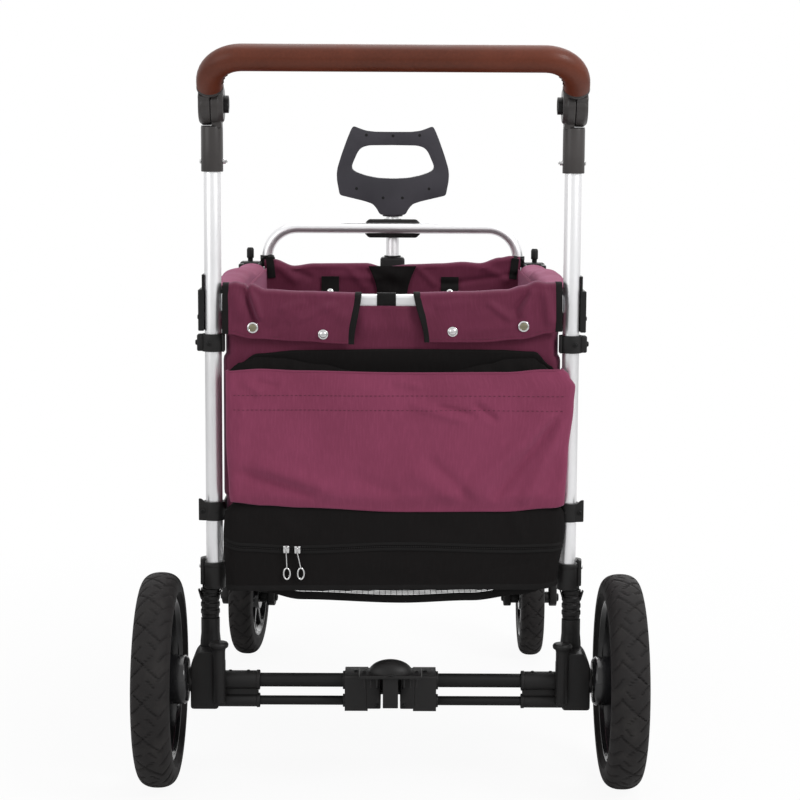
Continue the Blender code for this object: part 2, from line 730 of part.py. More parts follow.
def leg_sockets():
    """The caps on the uprights' lower ends, which hold the tops of the legs beside them."""
    foot = SOCKET_TOP_Z - SOCKET_HEIGHT
    for side, word in SIDE_NAMES.items():
        cap = rod("cap", (side * POST_X, REAR_Y, foot), (side * POST_X, REAR_Y, SOCKET_TOP_Z),
                  SOCKET_R)
        holder = rod("holder", (side * LEG_X, LEG_Y, foot), (side * LEG_X, LEG_Y, SOCKET_TOP_Z),
                     LEG_R + FIT + 0.002)
        bridge = block("bridge", (side * (POST_X - 0.006), side * (POST_X + 0.012)),
                       (REAR_Y + 0.002, LEG_Y - 0.003), (foot + 0.002, SOCKET_TOP_Z - 0.002))
        post_bore = rod("post_bore", (side * POST_X, REAR_Y, POST_FOOT - FIT),
                        (side * POST_X, REAR_Y, SOCKET_TOP_Z + 0.01), CLAMP_BORE_R)
        leg_bore = rod("leg_bore", (side * LEG_X, LEG_Y, foot - 0.01),
                       (side * LEG_X, LEG_Y, LEG_TOP_Z + FIT), LEG_R + FIT)
        join(cap, holder, bridge)
        cut(cap, post_bore, leg_bore)
        finish(cap, f"leg_socket_{word}", "black_plastic")


def axle_brackets():
    """Castings on the legs' feet with the stub axles, the capped stems and the axle's sleeves."""
    for side, word in SIDE_NAMES.items():
        outline = [(side * x, z) for x, z in (
            (AXLE_BRACKET_IN_X, AXLE_BRACKET_FOOT_Z), (AXLE_BRACKET_OUT_X, AXLE_BRACKET_FOOT_Z),
            (AXLE_BRACKET_OUT_X, AXLE_BRACKET_TOP_Z - 0.022),
            (LEG_X + LEG_SHROUD_R, AXLE_BRACKET_TOP_Z), (LEG_X - LEG_SHROUD_R, AXLE_BRACKET_TOP_Z),
            (AXLE_BRACKET_IN_X, AXLE_BRACKET_TOP_Z - 0.014))]
        back, front = REAR_Y - 0.016, LEG_Y + LEG_SHROUD_R
        body = plate("body", [outline], "XZ", (0.0, (back + front) / 2, 0.0), front - back)
        shroud = rod("shroud", (side * LEG_X, LEG_Y, AXLE_BRACKET_TOP_Z - 0.02),
                     (side * LEG_X, LEG_Y, LEG_SHROUD_TOP_Z), LEG_SHROUD_R)
        leg = rod("leg", (side * LEG_X, LEG_Y, LEG_SHROUD_TOP_Z - 0.01),
                  (side * LEG_X, LEG_Y, LEG_TOP_Z), LEG_R)
        stem_y = REAR_Y - 0.021
        stem = turned("stem", (side * STEM_X, stem_y, 0.0), (0, 0, 1),
                      ((0.0, STEM_TOP_Z), (STEM_CAP_R - 0.002, STEM_TOP_Z),
                       (STEM_CAP_R, STEM_TOP_Z - 0.002), (STEM_CAP_R, STEM_TOP_Z - 0.0085),
                       (STEM_R, STEM_TOP_Z - 0.0085), (STEM_R, AXLE_BRACKET_FOOT_Z + 0.012),
                       (0.0, AXLE_BRACKET_FOOT_Z + 0.012)), closed=False)
        sleeve = rod("sleeve", (side * SLEEVE_END_X, REAR_Y, REAR_TYRE_R),
                     (side * (AXLE_BRACKET_IN_X + 0.01), REAR_Y, REAR_TYRE_R), AXLE_SLEEVE_R)
        rod_sleeve = rod("rod_sleeve", (side * SLEEVE_END_X, REAR_Y, BRAKE_ROD_Z),
                         (side * (AXLE_BRACKET_IN_X + 0.01), REAR_Y, BRAKE_ROD_Z), ROD_SLEEVE_R)
        boss = rod("boss", (side * (AXLE_BRACKET_OUT_X - 0.002), REAR_Y, REAR_TYRE_R),
                   (side * (REAR_HUB_FACE_X - SHAFT_FIT), REAR_Y, REAR_TYRE_R), 0.016)
        axle = rod("axle", (side * (AXLE_BRACKET_OUT_X - 0.004), REAR_Y, REAR_TYRE_R),
                   (side * (REAR_WHEEL_X + 0.019), REAR_Y, REAR_TYRE_R), STUB_AXLE_R)
        tube_bore = rod("tube_bore", (side * (SLEEVE_END_X - 0.01), REAR_Y, REAR_TYRE_R),
                        (side * AXLE_TUBE_HALF, REAR_Y, REAR_TYRE_R), AXLE_TUBE_R + FIT)
        rod_bore = rod("rod_bore", (side * (SLEEVE_END_X - 0.01), REAR_Y, BRAKE_ROD_Z),
                       (side * (AXLE_BRACKET_OUT_X + 0.01), REAR_Y, BRAKE_ROD_Z),
                       BRAKE_ROD_R + FIT)
        join(body, shroud, leg, stem, sleeve, rod_sleeve, boss, axle)
        cut(body, tube_bore, rod_bore)
        finish(body, f"axle_bracket_{word}", "black_plastic")


def axle_tube():
    """The tube between the two brackets, through the brake housing."""
    half = AXLE_TUBE_HALF - FIT
    tube = pipe("tube", (-half, REAR_Y, REAR_TYRE_R), (1, 0, 0), 2 * half, AXLE_TUBE_R,
                AXLE_TUBE_R - POST_WALL)
    finish(tube, "axle_tube", "black_steel")


def axle_latches():
    """Finned collars that slide up on the legs, under the sockets."""
    for side, word in SIDE_NAMES.items():
        axis = axis_empty(f"latch_axis_{word}", (side * LEG_X, LEG_Y, LATCH_FOOT_Z))
        pitch = LATCH_HEIGHT / LATCH_FINS
        outer = []
        for fin in range(LATCH_FINS):
            top = LATCH_HEIGHT - fin * pitch
            outer += [(LATCH_FIN_R, top), (LATCH_FIN_R, top - pitch * 0.55),
                      (LATCH_R, top - pitch * 0.62), (LATCH_R, top - pitch * 0.94)]
        outer[-1] = (LATCH_R, 0.0)
        profile = outer + [(LEG_R + SHAFT_FIT, 0.0), (LEG_R + SHAFT_FIT, LATCH_HEIGHT)]
        collar = turned("collar", (side * LEG_X, LEG_Y, LATCH_FOOT_Z), (0, 0, 1), profile,
                        steps=SMALL_SIDES)
        finish(collar, f"axle_latch_{word}", "black_plastic", axis)


def brake_housing():
    """Two blocks on the axle tube with a bridge, and the pedal's slot between them."""
    back, front = REAR_Y - HOUSING_BACK, REAR_Y + HOUSING_FRONT
    slot_y = REAR_Y - PEDAL_PIVOT_BACK + PEDAL_EYE_R + 0.001
    web = block("web", (-HOUSING_IN_X - 0.004, HOUSING_IN_X + 0.004), (slot_y, front),
                (HOUSING_WEB_Z, HOUSING_WEB_TOP_Z))
    step_x = 0.030
    for side in SIDE_NAMES:
        inner = block("inner", (side * HOUSING_IN_X, side * (step_x + 0.002)), (back, front - 0.002),
                      (HOUSING_FOOT_Z + 0.004, HOUSING_TOP_Z - 0.001), 0.002, across=0)
        outer = block("outer", (side * step_x, side * HOUSING_OUT_X), (back + 0.002, front),
                      (HOUSING_FOOT_Z, HOUSING_TOP_Z), 0.004, across=0)
        join(web, inner, outer)
    for side in SIDE_NAMES:
        rod_bore = rod("rod_bore", (side * (BRAKE_ROD_START_X - EASE), REAR_Y, BRAKE_ROD_Z),
                       (side * (HOUSING_OUT_X + 0.01), REAR_Y, BRAKE_ROD_Z), BRAKE_ROD_R + FIT)
        cut(web, rod_bore)
    bore_end = HOUSING_OUT_X + 0.02
    tube_bore = rod("tube_bore", (-bore_end, REAR_Y, REAR_TYRE_R), (bore_end, REAR_Y, REAR_TYRE_R),
                    AXLE_TUBE_R + FIT)
    pivot = (REAR_Y - PEDAL_PIVOT_BACK, PEDAL_PIVOT_Z)
    pin_bore = rod("pin_bore", (-0.0205, *pivot), (0.0205, *pivot), PEDAL_PIN_R + SHAFT_FIT,
                   SMALL_SIDES)
    cut(web, tube_bore, pin_bore)
    finish(web, "brake_housing", "black_plastic")


def brake_pedal():
    """The foot pedal: a dome on a flange with ribs below, on a pin in the housing's slot."""
    pivot = Vector((0.0, REAR_Y - PEDAL_PIVOT_BACK, PEDAL_PIVOT_Z))
    axis = axis_empty("pedal_axis", pivot)
    near, far = REAR_Y - HOUSING_BACK - 0.0015, REAR_Y - PEDAL_BACK
    top = PEDAL_Z + PEDAL_THICKNESS
    flange = block("flange", (-PEDAL_HALF_WIDTH, PEDAL_HALF_WIDTH), (near, far), (PEDAL_Z, top),
                   0.006, across=2)
    bm = bmesh.new()
    bmesh.ops.create_uvsphere(bm, u_segments=16, v_segments=8, radius=1.0)
    bmesh.ops.bisect_plane(bm, geom=bm.verts[:] + bm.edges[:] + bm.faces[:], plane_co=(0, 0, 0),
                           plane_no=(0, 0, -1), clear_outer=True)
    bmesh.ops.holes_fill(bm, edges=bm.edges[:])
    bmesh.ops.scale(bm, verts=bm.verts,
                    vec=(PEDAL_DOME_HALF_WIDTH, (near - far) / 2 - 0.002, PEDAL_TOP_Z - top + 0.001))
    dome = place_mesh("dome", bm, (0.0, (near + far) / 2, top - 0.001))
    rib = block("rib", (-PEDAL_RIB_HALF_WIDTH, PEDAL_RIB_HALF_WIDTH), (pivot.y, far + 0.006),
                (PEDAL_PIVOT_Z - PEDAL_EYE_R, PEDAL_Z + 0.001))
    eye = rod("eye", (-PEDAL_RIB_HALF_WIDTH, pivot.y, pivot.z),
              (PEDAL_RIB_HALF_WIDTH, pivot.y, pivot.z), PEDAL_EYE_R)
    trim = block("trim", (-0.02, 0.02), (pivot.y, near + 0.0008),
                 (PEDAL_PIVOT_Z + PEDAL_EYE_R, PEDAL_Z + 0.02))
    pin = rod("pin", (-0.020, pivot.y, pivot.z), (0.020, pivot.y, pivot.z), PEDAL_PIN_R,
              SMALL_SIDES)
    cut(rib, trim)
    join(flange, dome, rib, eye, pin)
    for side in SIDE_NAMES:
        side_rib = block("side_rib", (side * 0.024, side * 0.028), (near - 0.004, far + 0.006),
                         (PEDAL_Z - 0.014, PEDAL_Z + 0.001))
        join(flange, side_rib)
    finish(flange, "brake_pedal", "black_plastic", axis)


def brake_rods():
    """The lower rods that the pedal drives outward to the hubs."""
    for side, word in SIDE_NAMES.items():
        axis = axis_empty(f"brake_rod_axis_{word}", (side * BRAKE_ROD_END_X, REAR_Y, BRAKE_ROD_Z))
        bar = rod("bar", (side * BRAKE_ROD_START_X, REAR_Y, BRAKE_ROD_Z),
                  (side * BRAKE_ROD_END_X, REAR_Y, BRAKE_ROD_Z), BRAKE_ROD_R)
        finish(bar, f"brake_rod_{word}", "black_steel", axis)


def tyre_profile(radius, width, seat):
    """A tyre's closed section, as (radius, height) points about the wheel's middle."""
    half = width / 2
    side = ((radius, 0.50 * half), (radius - 0.0030, 0.84 * half), (radius - 0.0085, half),
            (seat + 0.010, 0.92 * half), (seat, 0.74 * half))
    upper = list(reversed(side))
    return upper + [(r, -h) for r, h in side]


def rear_wheels():
    """Air tyres on six-spoked rims, each turning on its stub axle."""
    for side, word in SIDE_NAMES.items():
        centre = (side * REAR_WHEEL_X, REAR_Y, REAR_TYRE_R)
        axis = axis_empty(f"rear_wheel_axis_{word}", centre)
        tyre = turned("tyre", centre, (side, 0, 0),
                      tyre_profile(REAR_TYRE_R, REAR_TYRE_WIDTH, REAR_RIM_R + FIT), steps=WHEEL_STEPS)
        finish(tyre, f"rear_tyre_{word}", "tyre_rubber", axis)
        seat_half = 0.37 * REAR_TYRE_WIDTH
        ring = turned("ring", centre, (side, 0, 0),
                      ((REAR_RIM_R, seat_half), (REAR_RIM_R, -seat_half),
                       (REAR_RIM_R - 0.010, -seat_half + 0.003),
                       (REAR_RIM_R - 0.010, seat_half - 0.003)), steps=WHEEL_STEPS)
        reach = REAR_WHEEL_X - REAR_HUB_FACE_X
        hub = rod("hub", (side * REAR_HUB_FACE_X, REAR_Y, REAR_TYRE_R),
                  (side * (REAR_WHEEL_X + 0.023), REAR_Y, REAR_TYRE_R), REAR_HUB_R, 20)
        join(ring, hub)
        for number in range(SPOKES):
            turn = Matrix.Rotation(2 * math.pi * number / SPOKES, 4, "X")
            inner = turn @ Vector((0.0, 0.0, REAR_HUB_R - 0.004))
            outer = turn @ Vector((0.0, 0.0, REAR_RIM_R - 0.007))
            place = Vector(centre)
            spoke = rod("spoke", place + inner, place + outer, 0.0095, 8)
            join(ring, spoke)
        bore = rod("bore", (side * (REAR_WHEEL_X - reach - 0.01), REAR_Y, REAR_TYRE_R),
                   (side * (REAR_WHEEL_X + 0.0195), REAR_Y, REAR_TYRE_R), STUB_AXLE_R + SHAFT_FIT)
        cut(ring, bore)
        finish(ring, f"rear_rim_{word}", "black_plastic", axis)


def knee_lugs(side, inner, width, y, z, radius, pin_r, own_lugs):
    """The lugs and the clearing cuts of one half of a knee, and its pin or the pin's bore."""
    first, second = inner + width / 3, inner + 2 * width / 3
    outer_lugs = [(inner, first - FIT), (second + FIT, inner + width)]
    middle_lug = [(first + FIT, second - FIT)]
    outer_room = [(inner - 0.01, first), (second, inner + width + 0.01)]
    middle_room = [(first, second)]
    own, room = (outer_lugs, middle_room) if own_lugs else (middle_lug, outer_room)
    lugs = [rod("lug", (side * low, y, z), (side * high, y, z), radius) for low, high in own]
    cuts = [rod("clearing", (side * low, y, z), (side * high, y, z), radius + KNEE_EASE)
            for low, high in room]
    if own_lugs:
        pin = rod("knee_pin", (side * (inner + 0.001), y, z), (side * (inner + width - 0.001), y, z),
                  pin_r, SMALL_SIDES)
        return lugs + [pin], cuts
    bore = rod("knee_bore", (side * (inner - 0.01), y, z), (side * (inner + width + 0.01), y, z),
               pin_r + KNEE_EASE, SMALL_SIDES)
    return lugs, cuts + [bore]


def link_bar(side, inner, width, z, half_height, way, knee_z, knee_r, knee_pin_r):
    """One folding bar from its pivot on an upright to the knee in the middle.

    Way is +1 for the rear half, whose knee lies forward of its pivot, and -1 for the front half.
    """
    post_y = REAR_Y if way > 0 else FRONT_Y
    pivot_y = post_y + way * PIVOT_INSET
    knee_end = MID_Y - way * FIT / 2
    bar = block("bar", (side * inner, side * (inner + width)), (pivot_y, knee_end),
                (z - half_height, z + half_height))
    eye = rod("eye", (side * inner, pivot_y, z), (side * (inner + width), pivot_y, z), half_height,
              20)
    pivot_bore = rod("pivot_bore", (side * (inner - 0.01), pivot_y, z),
                     (side * (inner + width + 0.01), pivot_y, z), LINK_PIN_R + SHAFT_FIT,
                     SMALL_SIDES)
    lugs, cuts = knee_lugs(side, inner, width, MID_Y, knee_z, knee_r, knee_pin_r, way > 0)
    join(bar, eye)
    if way > 0:
        cut(bar, *cuts)
        join(bar, *lugs)
    else:
        bore = cuts.pop()
        cut(bar, *cuts)
        join(bar, *lugs)
        cut(bar, bore)
    return cut(bar, pivot_bore)


def floor_half(name, way, axis):
    """A floor frame of two arms and two cross tubes, with its board on top."""
    knee_z = FLOOR_Z - KNEE_OFFSET
    arms = [link_bar(side, ARM_X, ARM_WIDTH, FLOOR_Z, ARM_HALF_HEIGHT, way, knee_z, FLOOR_KNEE_R,
                     FLOOR_KNEE_PIN_R) for side in SIDE_NAMES]
    post_y = REAR_Y if way > 0 else FRONT_Y
    frame = arms[0]
    reach = ARM_X + ARM_WIDTH / 2
    pivot_tube_y = post_y + way * (PIVOT_INSET + CROSS_TUBE_INSET)
    knee_tube_y = MID_Y - way * 0.030
    for tube_y in (pivot_tube_y, knee_tube_y):
        join(frame, rod("cross_tube", (-reach, tube_y, FLOOR_Z), (reach, tube_y, FLOOR_Z),
                        CROSS_TUBE_R))
    solve_as_solids(join(frame, arms[1]))
    finish(frame, f"floor_frame_{name}", "black_steel", axis)
    board = block("board", (-BOARD_HALF_WIDTH, BOARD_HALF_WIDTH),
                  (post_y + way * (PIVOT_INSET - BOARD_END_LAP), MID_Y - way * FIT / 2),
                  (BOARD_Z, BOARD_Z + BOARD_THICKNESS))
    finish(board, f"floor_board_{name}", "board", axis)


def top_rails(axes):
    """The folding side rails, which run in the hems of the side walls."""
    knee_z = RAIL_Z + KNEE_OFFSET
    for way, name in ((1, "rear"), (-1, "front")):
        for side, word in SIDE_NAMES.items():
            rail = link_bar(side, RAIL_X - RAIL_WIDTH / 2, RAIL_WIDTH, RAIL_Z, RAIL_HALF_HEIGHT,
                            way, knee_z, RAIL_KNEE_R, RAIL_KNEE_PIN_R)
            finish(solve_as_solids(rail), f"top_rail_{name}_{word}", "black_steel", axes[name])


def front_uprights(frame_axis):
    """The front posts with the caster housings and the floor's pivots."""
    housing_foot = FORK_CROWN_Z + FORK_CROWN_DEPTH + 0.001
    housing_top = housing_foot + CASTER_HOUSING_HEIGHT
    stem_top = FORK_CROWN_Z + CASTER_STEM_LENGTH + FORK_CROWN_DEPTH
    for side, word in SIDE_NAMES.items():
        centre = (side * POST_X, FRONT_Y, 0.0)
        post = turned("post", centre, (0, 0, 1),
                      ((POST_R, FRONT_POST_TOP), (POST_R, housing_top - 0.001),
                       (CASTER_HOUSING_R - 0.003, housing_top - 0.001),
                       (CASTER_HOUSING_R, housing_top - 0.004), (CASTER_HOUSING_R, housing_foot),
                       (CASTER_STEM_R + SHAFT_FIT, housing_foot),
                       (CASTER_STEM_R + SHAFT_FIT, stem_top + FIT), (0.0, stem_top + FIT),
                       (0.0, stem_top + 0.004), (POST_R - POST_WALL, stem_top + 0.004),
                       (POST_R - POST_WALL, FRONT_POST_TOP)), steps=20)
        ring = ring_on(side, FRONT_Y, LOWER_CLAMP_Z, LOWER_CLAMP_HEIGHT, POST_R - 0.0006)
        join(post, ring, *link_seat(side, FRONT_Y, -1))
        finish(post, f"front_upright_{word}", "silver_tube", frame_axis)


def corner_blocks(frame_axis):
    """Blocks on the front posts' tops: seats of the U-bar, the rails' pivots and a round knob."""
    for side, word in SIDE_NAMES.items():
        web_back = FRONT_Y - POST_R - EASE - BRACKET_WEB
        body = block("body", (side * BLOCK_IN_X, side * BLOCK_OUT_X),
                     (web_back, FRONT_Y + BLOCK_FRONT), (BLOCK_FOOT_Z, BLOCK_TOP_Z), 0.0025)
        wing = block("wing", (side * (U_BAR_X - 0.012), side * (BLOCK_IN_X + 0.003)),
                     (FRONT_Y - 0.011, FRONT_Y + 0.011), (WING_FOOT_Z, WING_TOP_Z), 0.002)
        inner, outer, pin = rail_cheeks(side, FRONT_Y, -1, BLOCK_FOOT_Z + 0.002,
                                        BLOCK_TOP_Z - 0.002)
        knob = turned("knob", (side * KNOB_X, FRONT_Y, 0.0), (0, 0, 1),
                      ((0.0, KNOB_TOP_Z), (KNOB_R - 0.0015, KNOB_TOP_Z),
                       (KNOB_R, KNOB_TOP_Z - 0.0015), (KNOB_R, KNOB_FOOT_Z),
                       (KNOB_NECK_R, KNOB_FOOT_Z), (KNOB_NECK_R, BLOCK_TOP_Z - 0.001),
                       (0.0, BLOCK_TOP_Z - 0.001)), closed=False)
        post_bore = rod("post_bore", (side * POST_X, FRONT_Y, BLOCK_FOOT_Z - 0.01),
                        (side * POST_X, FRONT_Y, FRONT_POST_TOP + FIT), CLAMP_BORE_R, 20)
        bar_bore = rod("bar_bore", (side * U_BAR_X, FRONT_Y, WING_FOOT_Z + 0.0023),
                       (side * U_BAR_X, FRONT_Y, WING_TOP_Z + 0.01), U_BAR_R + FIT)
        join(body, wing, inner, outer, pin, knob)
        cut(body, post_bore, bar_bore)
        finish(body, f"corner_block_{word}", "black_plastic", frame_axis)


def front_bars(frame_axis):
    """The flat top bar, the lower bar with the pull handle's clevis, and the U-bar."""
    half = BLOCK_IN_X - FIT
    bar = block("bar", (-half, half), (FRONT_Y - FRONT_BAR_DEPTH, FRONT_Y),
                (FRONT_BAR_Z, FRONT_BAR_Z + FRONT_BAR_HEIGHT), 0.004, across=0)
    finish(bar, "front_crossbar", "silver_tube", frame_axis)

    half = POST_X - POST_R - FIT
    front = PULL_Y - PULL_OUTER_R - 0.0038
    lower = block("lower", (-half, half), (FRONT_Y - 0.007, front),
                  (LOWER_BAR_Z - LOWER_BAR_HEIGHT / 2, LOWER_BAR_Z + LOWER_BAR_HEIGHT / 2),
                  0.003, across=0)
    lug_x = PULL_OUTER_R + EASE
    for side in SIDE_NAMES:
        lug = block("lug", (side * lug_x, side * (lug_x + CLEVIS_LUG)),
                    (front - 0.004, PULL_Y + 0.008), (LOWER_BAR_Z - 0.008, LOWER_BAR_Z + 0.008))
        join(lower, lug)
    pin = rod("pin", (-lug_x - 0.002, PULL_Y, LOWER_BAR_Z), (lug_x + 0.002, PULL_Y, LOWER_BAR_Z),
              CLEVIS_PIN_R, SMALL_SIDES)
    join(lower, pin)
    finish(lower, "front_lower_bar", "black_steel", frame_axis)

    foot = WING_FOOT_Z + 0.0023 + FIT
    path = rounded_path([(-U_BAR_X, FRONT_Y, foot), (-U_BAR_X, FRONT_Y, U_BAR_TOP_Z),
                         (U_BAR_X, FRONT_Y, U_BAR_TOP_Z), (U_BAR_X, FRONT_Y, foot)], U_BAR_BEND)
    finish(bent_tube("hoop", path, U_BAR_R), "u_bar", "silver_tube", frame_axis)


def pull_clip(frame_axis):
    """The clip on the U-bar whose open jaws hold the pull handle's inner tube."""
    slant = 0.008
    outline = [(-CLIP_HALF_WIDTH, CLIP_FOOT_Z + slant), (-CLIP_HALF_WIDTH + slant, CLIP_FOOT_Z),
               (CLIP_HALF_WIDTH - slant, CLIP_FOOT_Z), (CLIP_HALF_WIDTH, CLIP_FOOT_Z + slant),
               (CLIP_HALF_WIDTH, CLIP_TOP_Z - slant), (CLIP_HALF_WIDTH - slant, CLIP_TOP_Z),
               (-CLIP_HALF_WIDTH + slant, CLIP_TOP_Z), (-CLIP_HALF_WIDTH, CLIP_TOP_Z - slant)]
    back, front = FRONT_Y, PULL_Y - PULL_INNER_R - 0.001
    body = plate("body", [outline], "XZ", (0.0, (back + front) / 2, 0.0), front - back)
    jaw_x = PULL_INNER_R + FIT + CLIP_WALL
    jaws = block("jaws", (-jaw_x, jaw_x), (front - 0.003, PULL_Y + 0.006),
                 (CLIP_FOOT_Z, CLIP_TOP_Z), 0.002, across=2)
    channel = rod("channel", (0.0, PULL_Y, CLIP_FOOT_Z - 0.01), (0.0, PULL_Y, CLIP_TOP_Z + 0.01),
                  PULL_INNER_R + FIT, 20)
    mouth = block("mouth", (-PULL_INNER_R - FIT, PULL_INNER_R + FIT), (PULL_Y, PULL_Y + 0.02),
                  (CLIP_FOOT_Z - 0.01, CLIP_TOP_Z + 0.01))
    bar_bore = rod("bar_bore", (-0.06, FRONT_Y, U_BAR_TOP_Z), (0.06, FRONT_Y, U_BAR_TOP_Z),
                   U_BAR_R + FIT)
    join(body, jaws)
    cut(body, channel, mouth, bar_bore)
    finish(body, "pull_clip", "black_plastic", frame_axis)


def pull_handle(pull_axis, extension_axis):
    """The outer tube on its clevis, and the inner tube with the ring grip that slides in it."""
    bore = PULL_INNER_R + FIT
    outer = pipe("outer", (0.0, PULL_Y, PULL_FOOT_Z), (0, 0, 1), PULL_COLLAR_TOP_Z - PULL_FOOT_Z,
                 PULL_OUTER_R, bore, steps=20)
    collar = block("collar", (-PULL_COLLAR_X, PULL_COLLAR_X),
                   (PULL_Y - PULL_COLLAR_Y, PULL_Y + PULL_COLLAR_Y),
                   (PULL_COLLAR_Z, PULL_COLLAR_TOP_Z - 0.0005), 0.006, across=2)
    collar_bore = rod("collar_bore", (0.0, PULL_Y, PULL_COLLAR_Z - 0.01),
                      (0.0, PULL_Y, PULL_COLLAR_TOP_Z + 0.01), (PULL_OUTER_R + bore) / 2, 20)
    cut(collar, collar_bore)
    pin_bore = rod("pin_bore", (-0.03, PULL_Y, LOWER_BAR_Z), (0.03, PULL_Y, LOWER_BAR_Z),
                   CLEVIS_PIN_R + SHAFT_FIT, SMALL_SIDES)
    join(outer, collar)
    cut(outer, pin_bore)
    finish(outer, "pull_outer_tube", "black_steel", pull_axis)

    tube_top = GRIP_NECK_Z + GRIP_SEAT_DEPTH - FIT
    inner = pipe("inner", (0.0, PULL_Y, PULL_INNER_FOOT_Z), (0, 0, 1),
                 tube_top - PULL_INNER_FOOT_Z, PULL_INNER_R, PULL_INNER_R - PULL_INNER_WALL,
                 steps=20)
    finish(inner, "pull_inner_tube", "silver_tube", extension_axis)

    outlines = []
    for half in (GRIP_OUTLINE, GRIP_OPENING):
        right = [(x, GRIP_NECK_Z + z) for x, z in half]
        left = [(-x, z) for x, z in reversed(right) if x > 0]
        outlines.append(right + left)
    grip = plate("grip", outlines, "XZ", (0.0, PULL_Y, 0.0), GRIP_THICKNESS, GRIP_BEVEL)
    seat = rod("seat", (0.0, PULL_Y, GRIP_NECK_Z - 0.02),
               (0.0, PULL_Y, GRIP_NECK_Z + GRIP_SEAT_DEPTH), PULL_INNER_R + FIT, 20)
    cut(grip, seat)
    finish(grip, "pull_grip", "black_plastic", extension_axis)


def casters(swivels, wheel_axes):
    """Steered forks with their wheels; the left one stands turned a little."""
    for side, word in SIDE_NAMES.items():
        x = side * POST_X
        axle_y = FRONT_Y - CASTER_TRAIL
        crown_top = FORK_CROWN_Z + FORK_CROWN_DEPTH
        reach = FORK_INNER + FORK_ARM
        crown = block("crown", (x - reach, x + reach),
                      (FRONT_Y - FORK_CROWN_BACK, FRONT_Y + FORK_CROWN_FRONT),
                      (FORK_CROWN_Z, crown_top), 0.006, across=2)
        stem = rod("stem", (x, FRONT_Y, crown_top - 0.002),
                   (x, FRONT_Y, crown_top + CASTER_STEM_LENGTH), CASTER_STEM_R, 20)
        join(crown, stem)
        for hand in (-1, 1):
            arm_top = FORK_CROWN_Z + FORK_OVERLAP
            outline = [(FRONT_Y + FORK_CROWN_FRONT - FORK_ARM_INSET, arm_top),
                       (FRONT_Y - FORK_CROWN_BACK + FORK_ARM_INSET, arm_top)]
            outline += [(axle_y + FORK_TIP_R * math.cos(turn), CASTER_R + FORK_TIP_R * math.sin(turn))
                        for turn in (math.pi + math.pi * step / 6 for step in range(7))]
            arm_mid = x + hand * (FORK_INNER + FORK_ARM / 2)
            arm = plate("arm", [outline], "YZ", (arm_mid, 0.0, 0.0), FORK_ARM)
            spacer = rod("spacer", (x + hand * (CASTER_WIDTH / 2 + SHAFT_FIT), axle_y, CASTER_R),
                         (x + hand * (FORK_INNER + 0.002), axle_y, CASTER_R), FORK_SPACER_R)
            join(crown, arm, spacer)
        axle = rod("axle", (x - FORK_INNER - FORK_OVERLAP, axle_y, CASTER_R),
                   (x + FORK_INNER + FORK_OVERLAP, axle_y, CASTER_R), CASTER_AXLE_R)
        join(crown, axle)
        finish(crown, f"caster_fork_{word}", "black_plastic", swivels[word])

        half = CASTER_WIDTH / 2
        bore = CASTER_AXLE_R + SHAFT_FIT
        upper = [(bore, half), (CASTER_HUB_R, half), (CASTER_HUB_R + 0.002, half - CASTER_DISH),
                 (CASTER_RIM_R - 0.005, half - CASTER_DISH), (CASTER_RIM_R, half),
                 (CASTER_R - 0.010, half), (CASTER_R, 0.50 * half)]
        profile = upper + [(radius, -height) for radius, height in reversed(upper)]
        wheel = turned("wheel", (x, axle_y, CASTER_R), (1, 0, 0), profile, steps=WHEEL_STEPS)
        finish(wheel, f"front_wheel_{word}", "tyre_rubber", wheel_axes[word])
    swivels["left"].rotation_euler.z = CASTER_STEER_LEFT


def rear_fabric():
    """The rear wall with the black band below it, and the open pocket behind it."""
    back = REAR_Y - REAR_WALL_BACK
    front = back + REAR_WALL_THICKNESS
    wall = block("wall", (-WALL_HALF_WIDTH, WALL_HALF_WIDTH), (back, front),
                 (BAND_TOP_Z - 0.004, WALL_TOP_Z))
    notch = block("notch", (-NOTCH_HALF_WIDTH, NOTCH_HALF_WIDTH), (back - 0.01, front + 0.01),
                  (NOTCH_Z, WALL_TOP_Z + 0.01))
    band = block("band", (-BAND_HALF_WIDTH, BAND_HALF_WIDTH), (REAR_Y - BAND_BACK, front),
                 (BAND_FOOT_Z, BAND_TOP_Z), 0.005, across=2)
    cut(wall, notch)
    join(wall, band)
    finish(wall, "rear_wall", "maroon_fabric")

    pocket_front = back - EASE
    pocket = block("pocket", (-POCKET_HALF_WIDTH, POCKET_HALF_WIDTH),
                   (REAR_Y - POCKET_BACK, pocket_front), (POCKET_FOOT_Z, POCKET_TOP_Z))
    inside = block("inside", (-POCKET_HALF_WIDTH + POCKET_WALL, POCKET_HALF_WIDTH - POCKET_WALL),
                   (REAR_Y - POCKET_BACK + POCKET_WALL, pocket_front - POCKET_WALL),
                   (POCKET_FOOT_Z + POCKET_WALL, POCKET_TOP_Z + 0.01))
    finish(cut(pocket, inside), "rear_pocket", "maroon_fabric")


def front_wall(frame_axis):
    """The wall inside the front crossbar."""
    half = WALL_HALF_WIDTH - EASE
    wall = block("wall", (-half, half), (FRONT_Y - FRONT_WALL_BACK, FRONT_Y - FRONT_BAR_DEPTH - EASE),
                 (BOARD_Z + BOARD_THICKNESS + 0.0015, WALL_TOP_Z))
    finish(wall, "front_wall", "maroon_fabric", frame_axis)


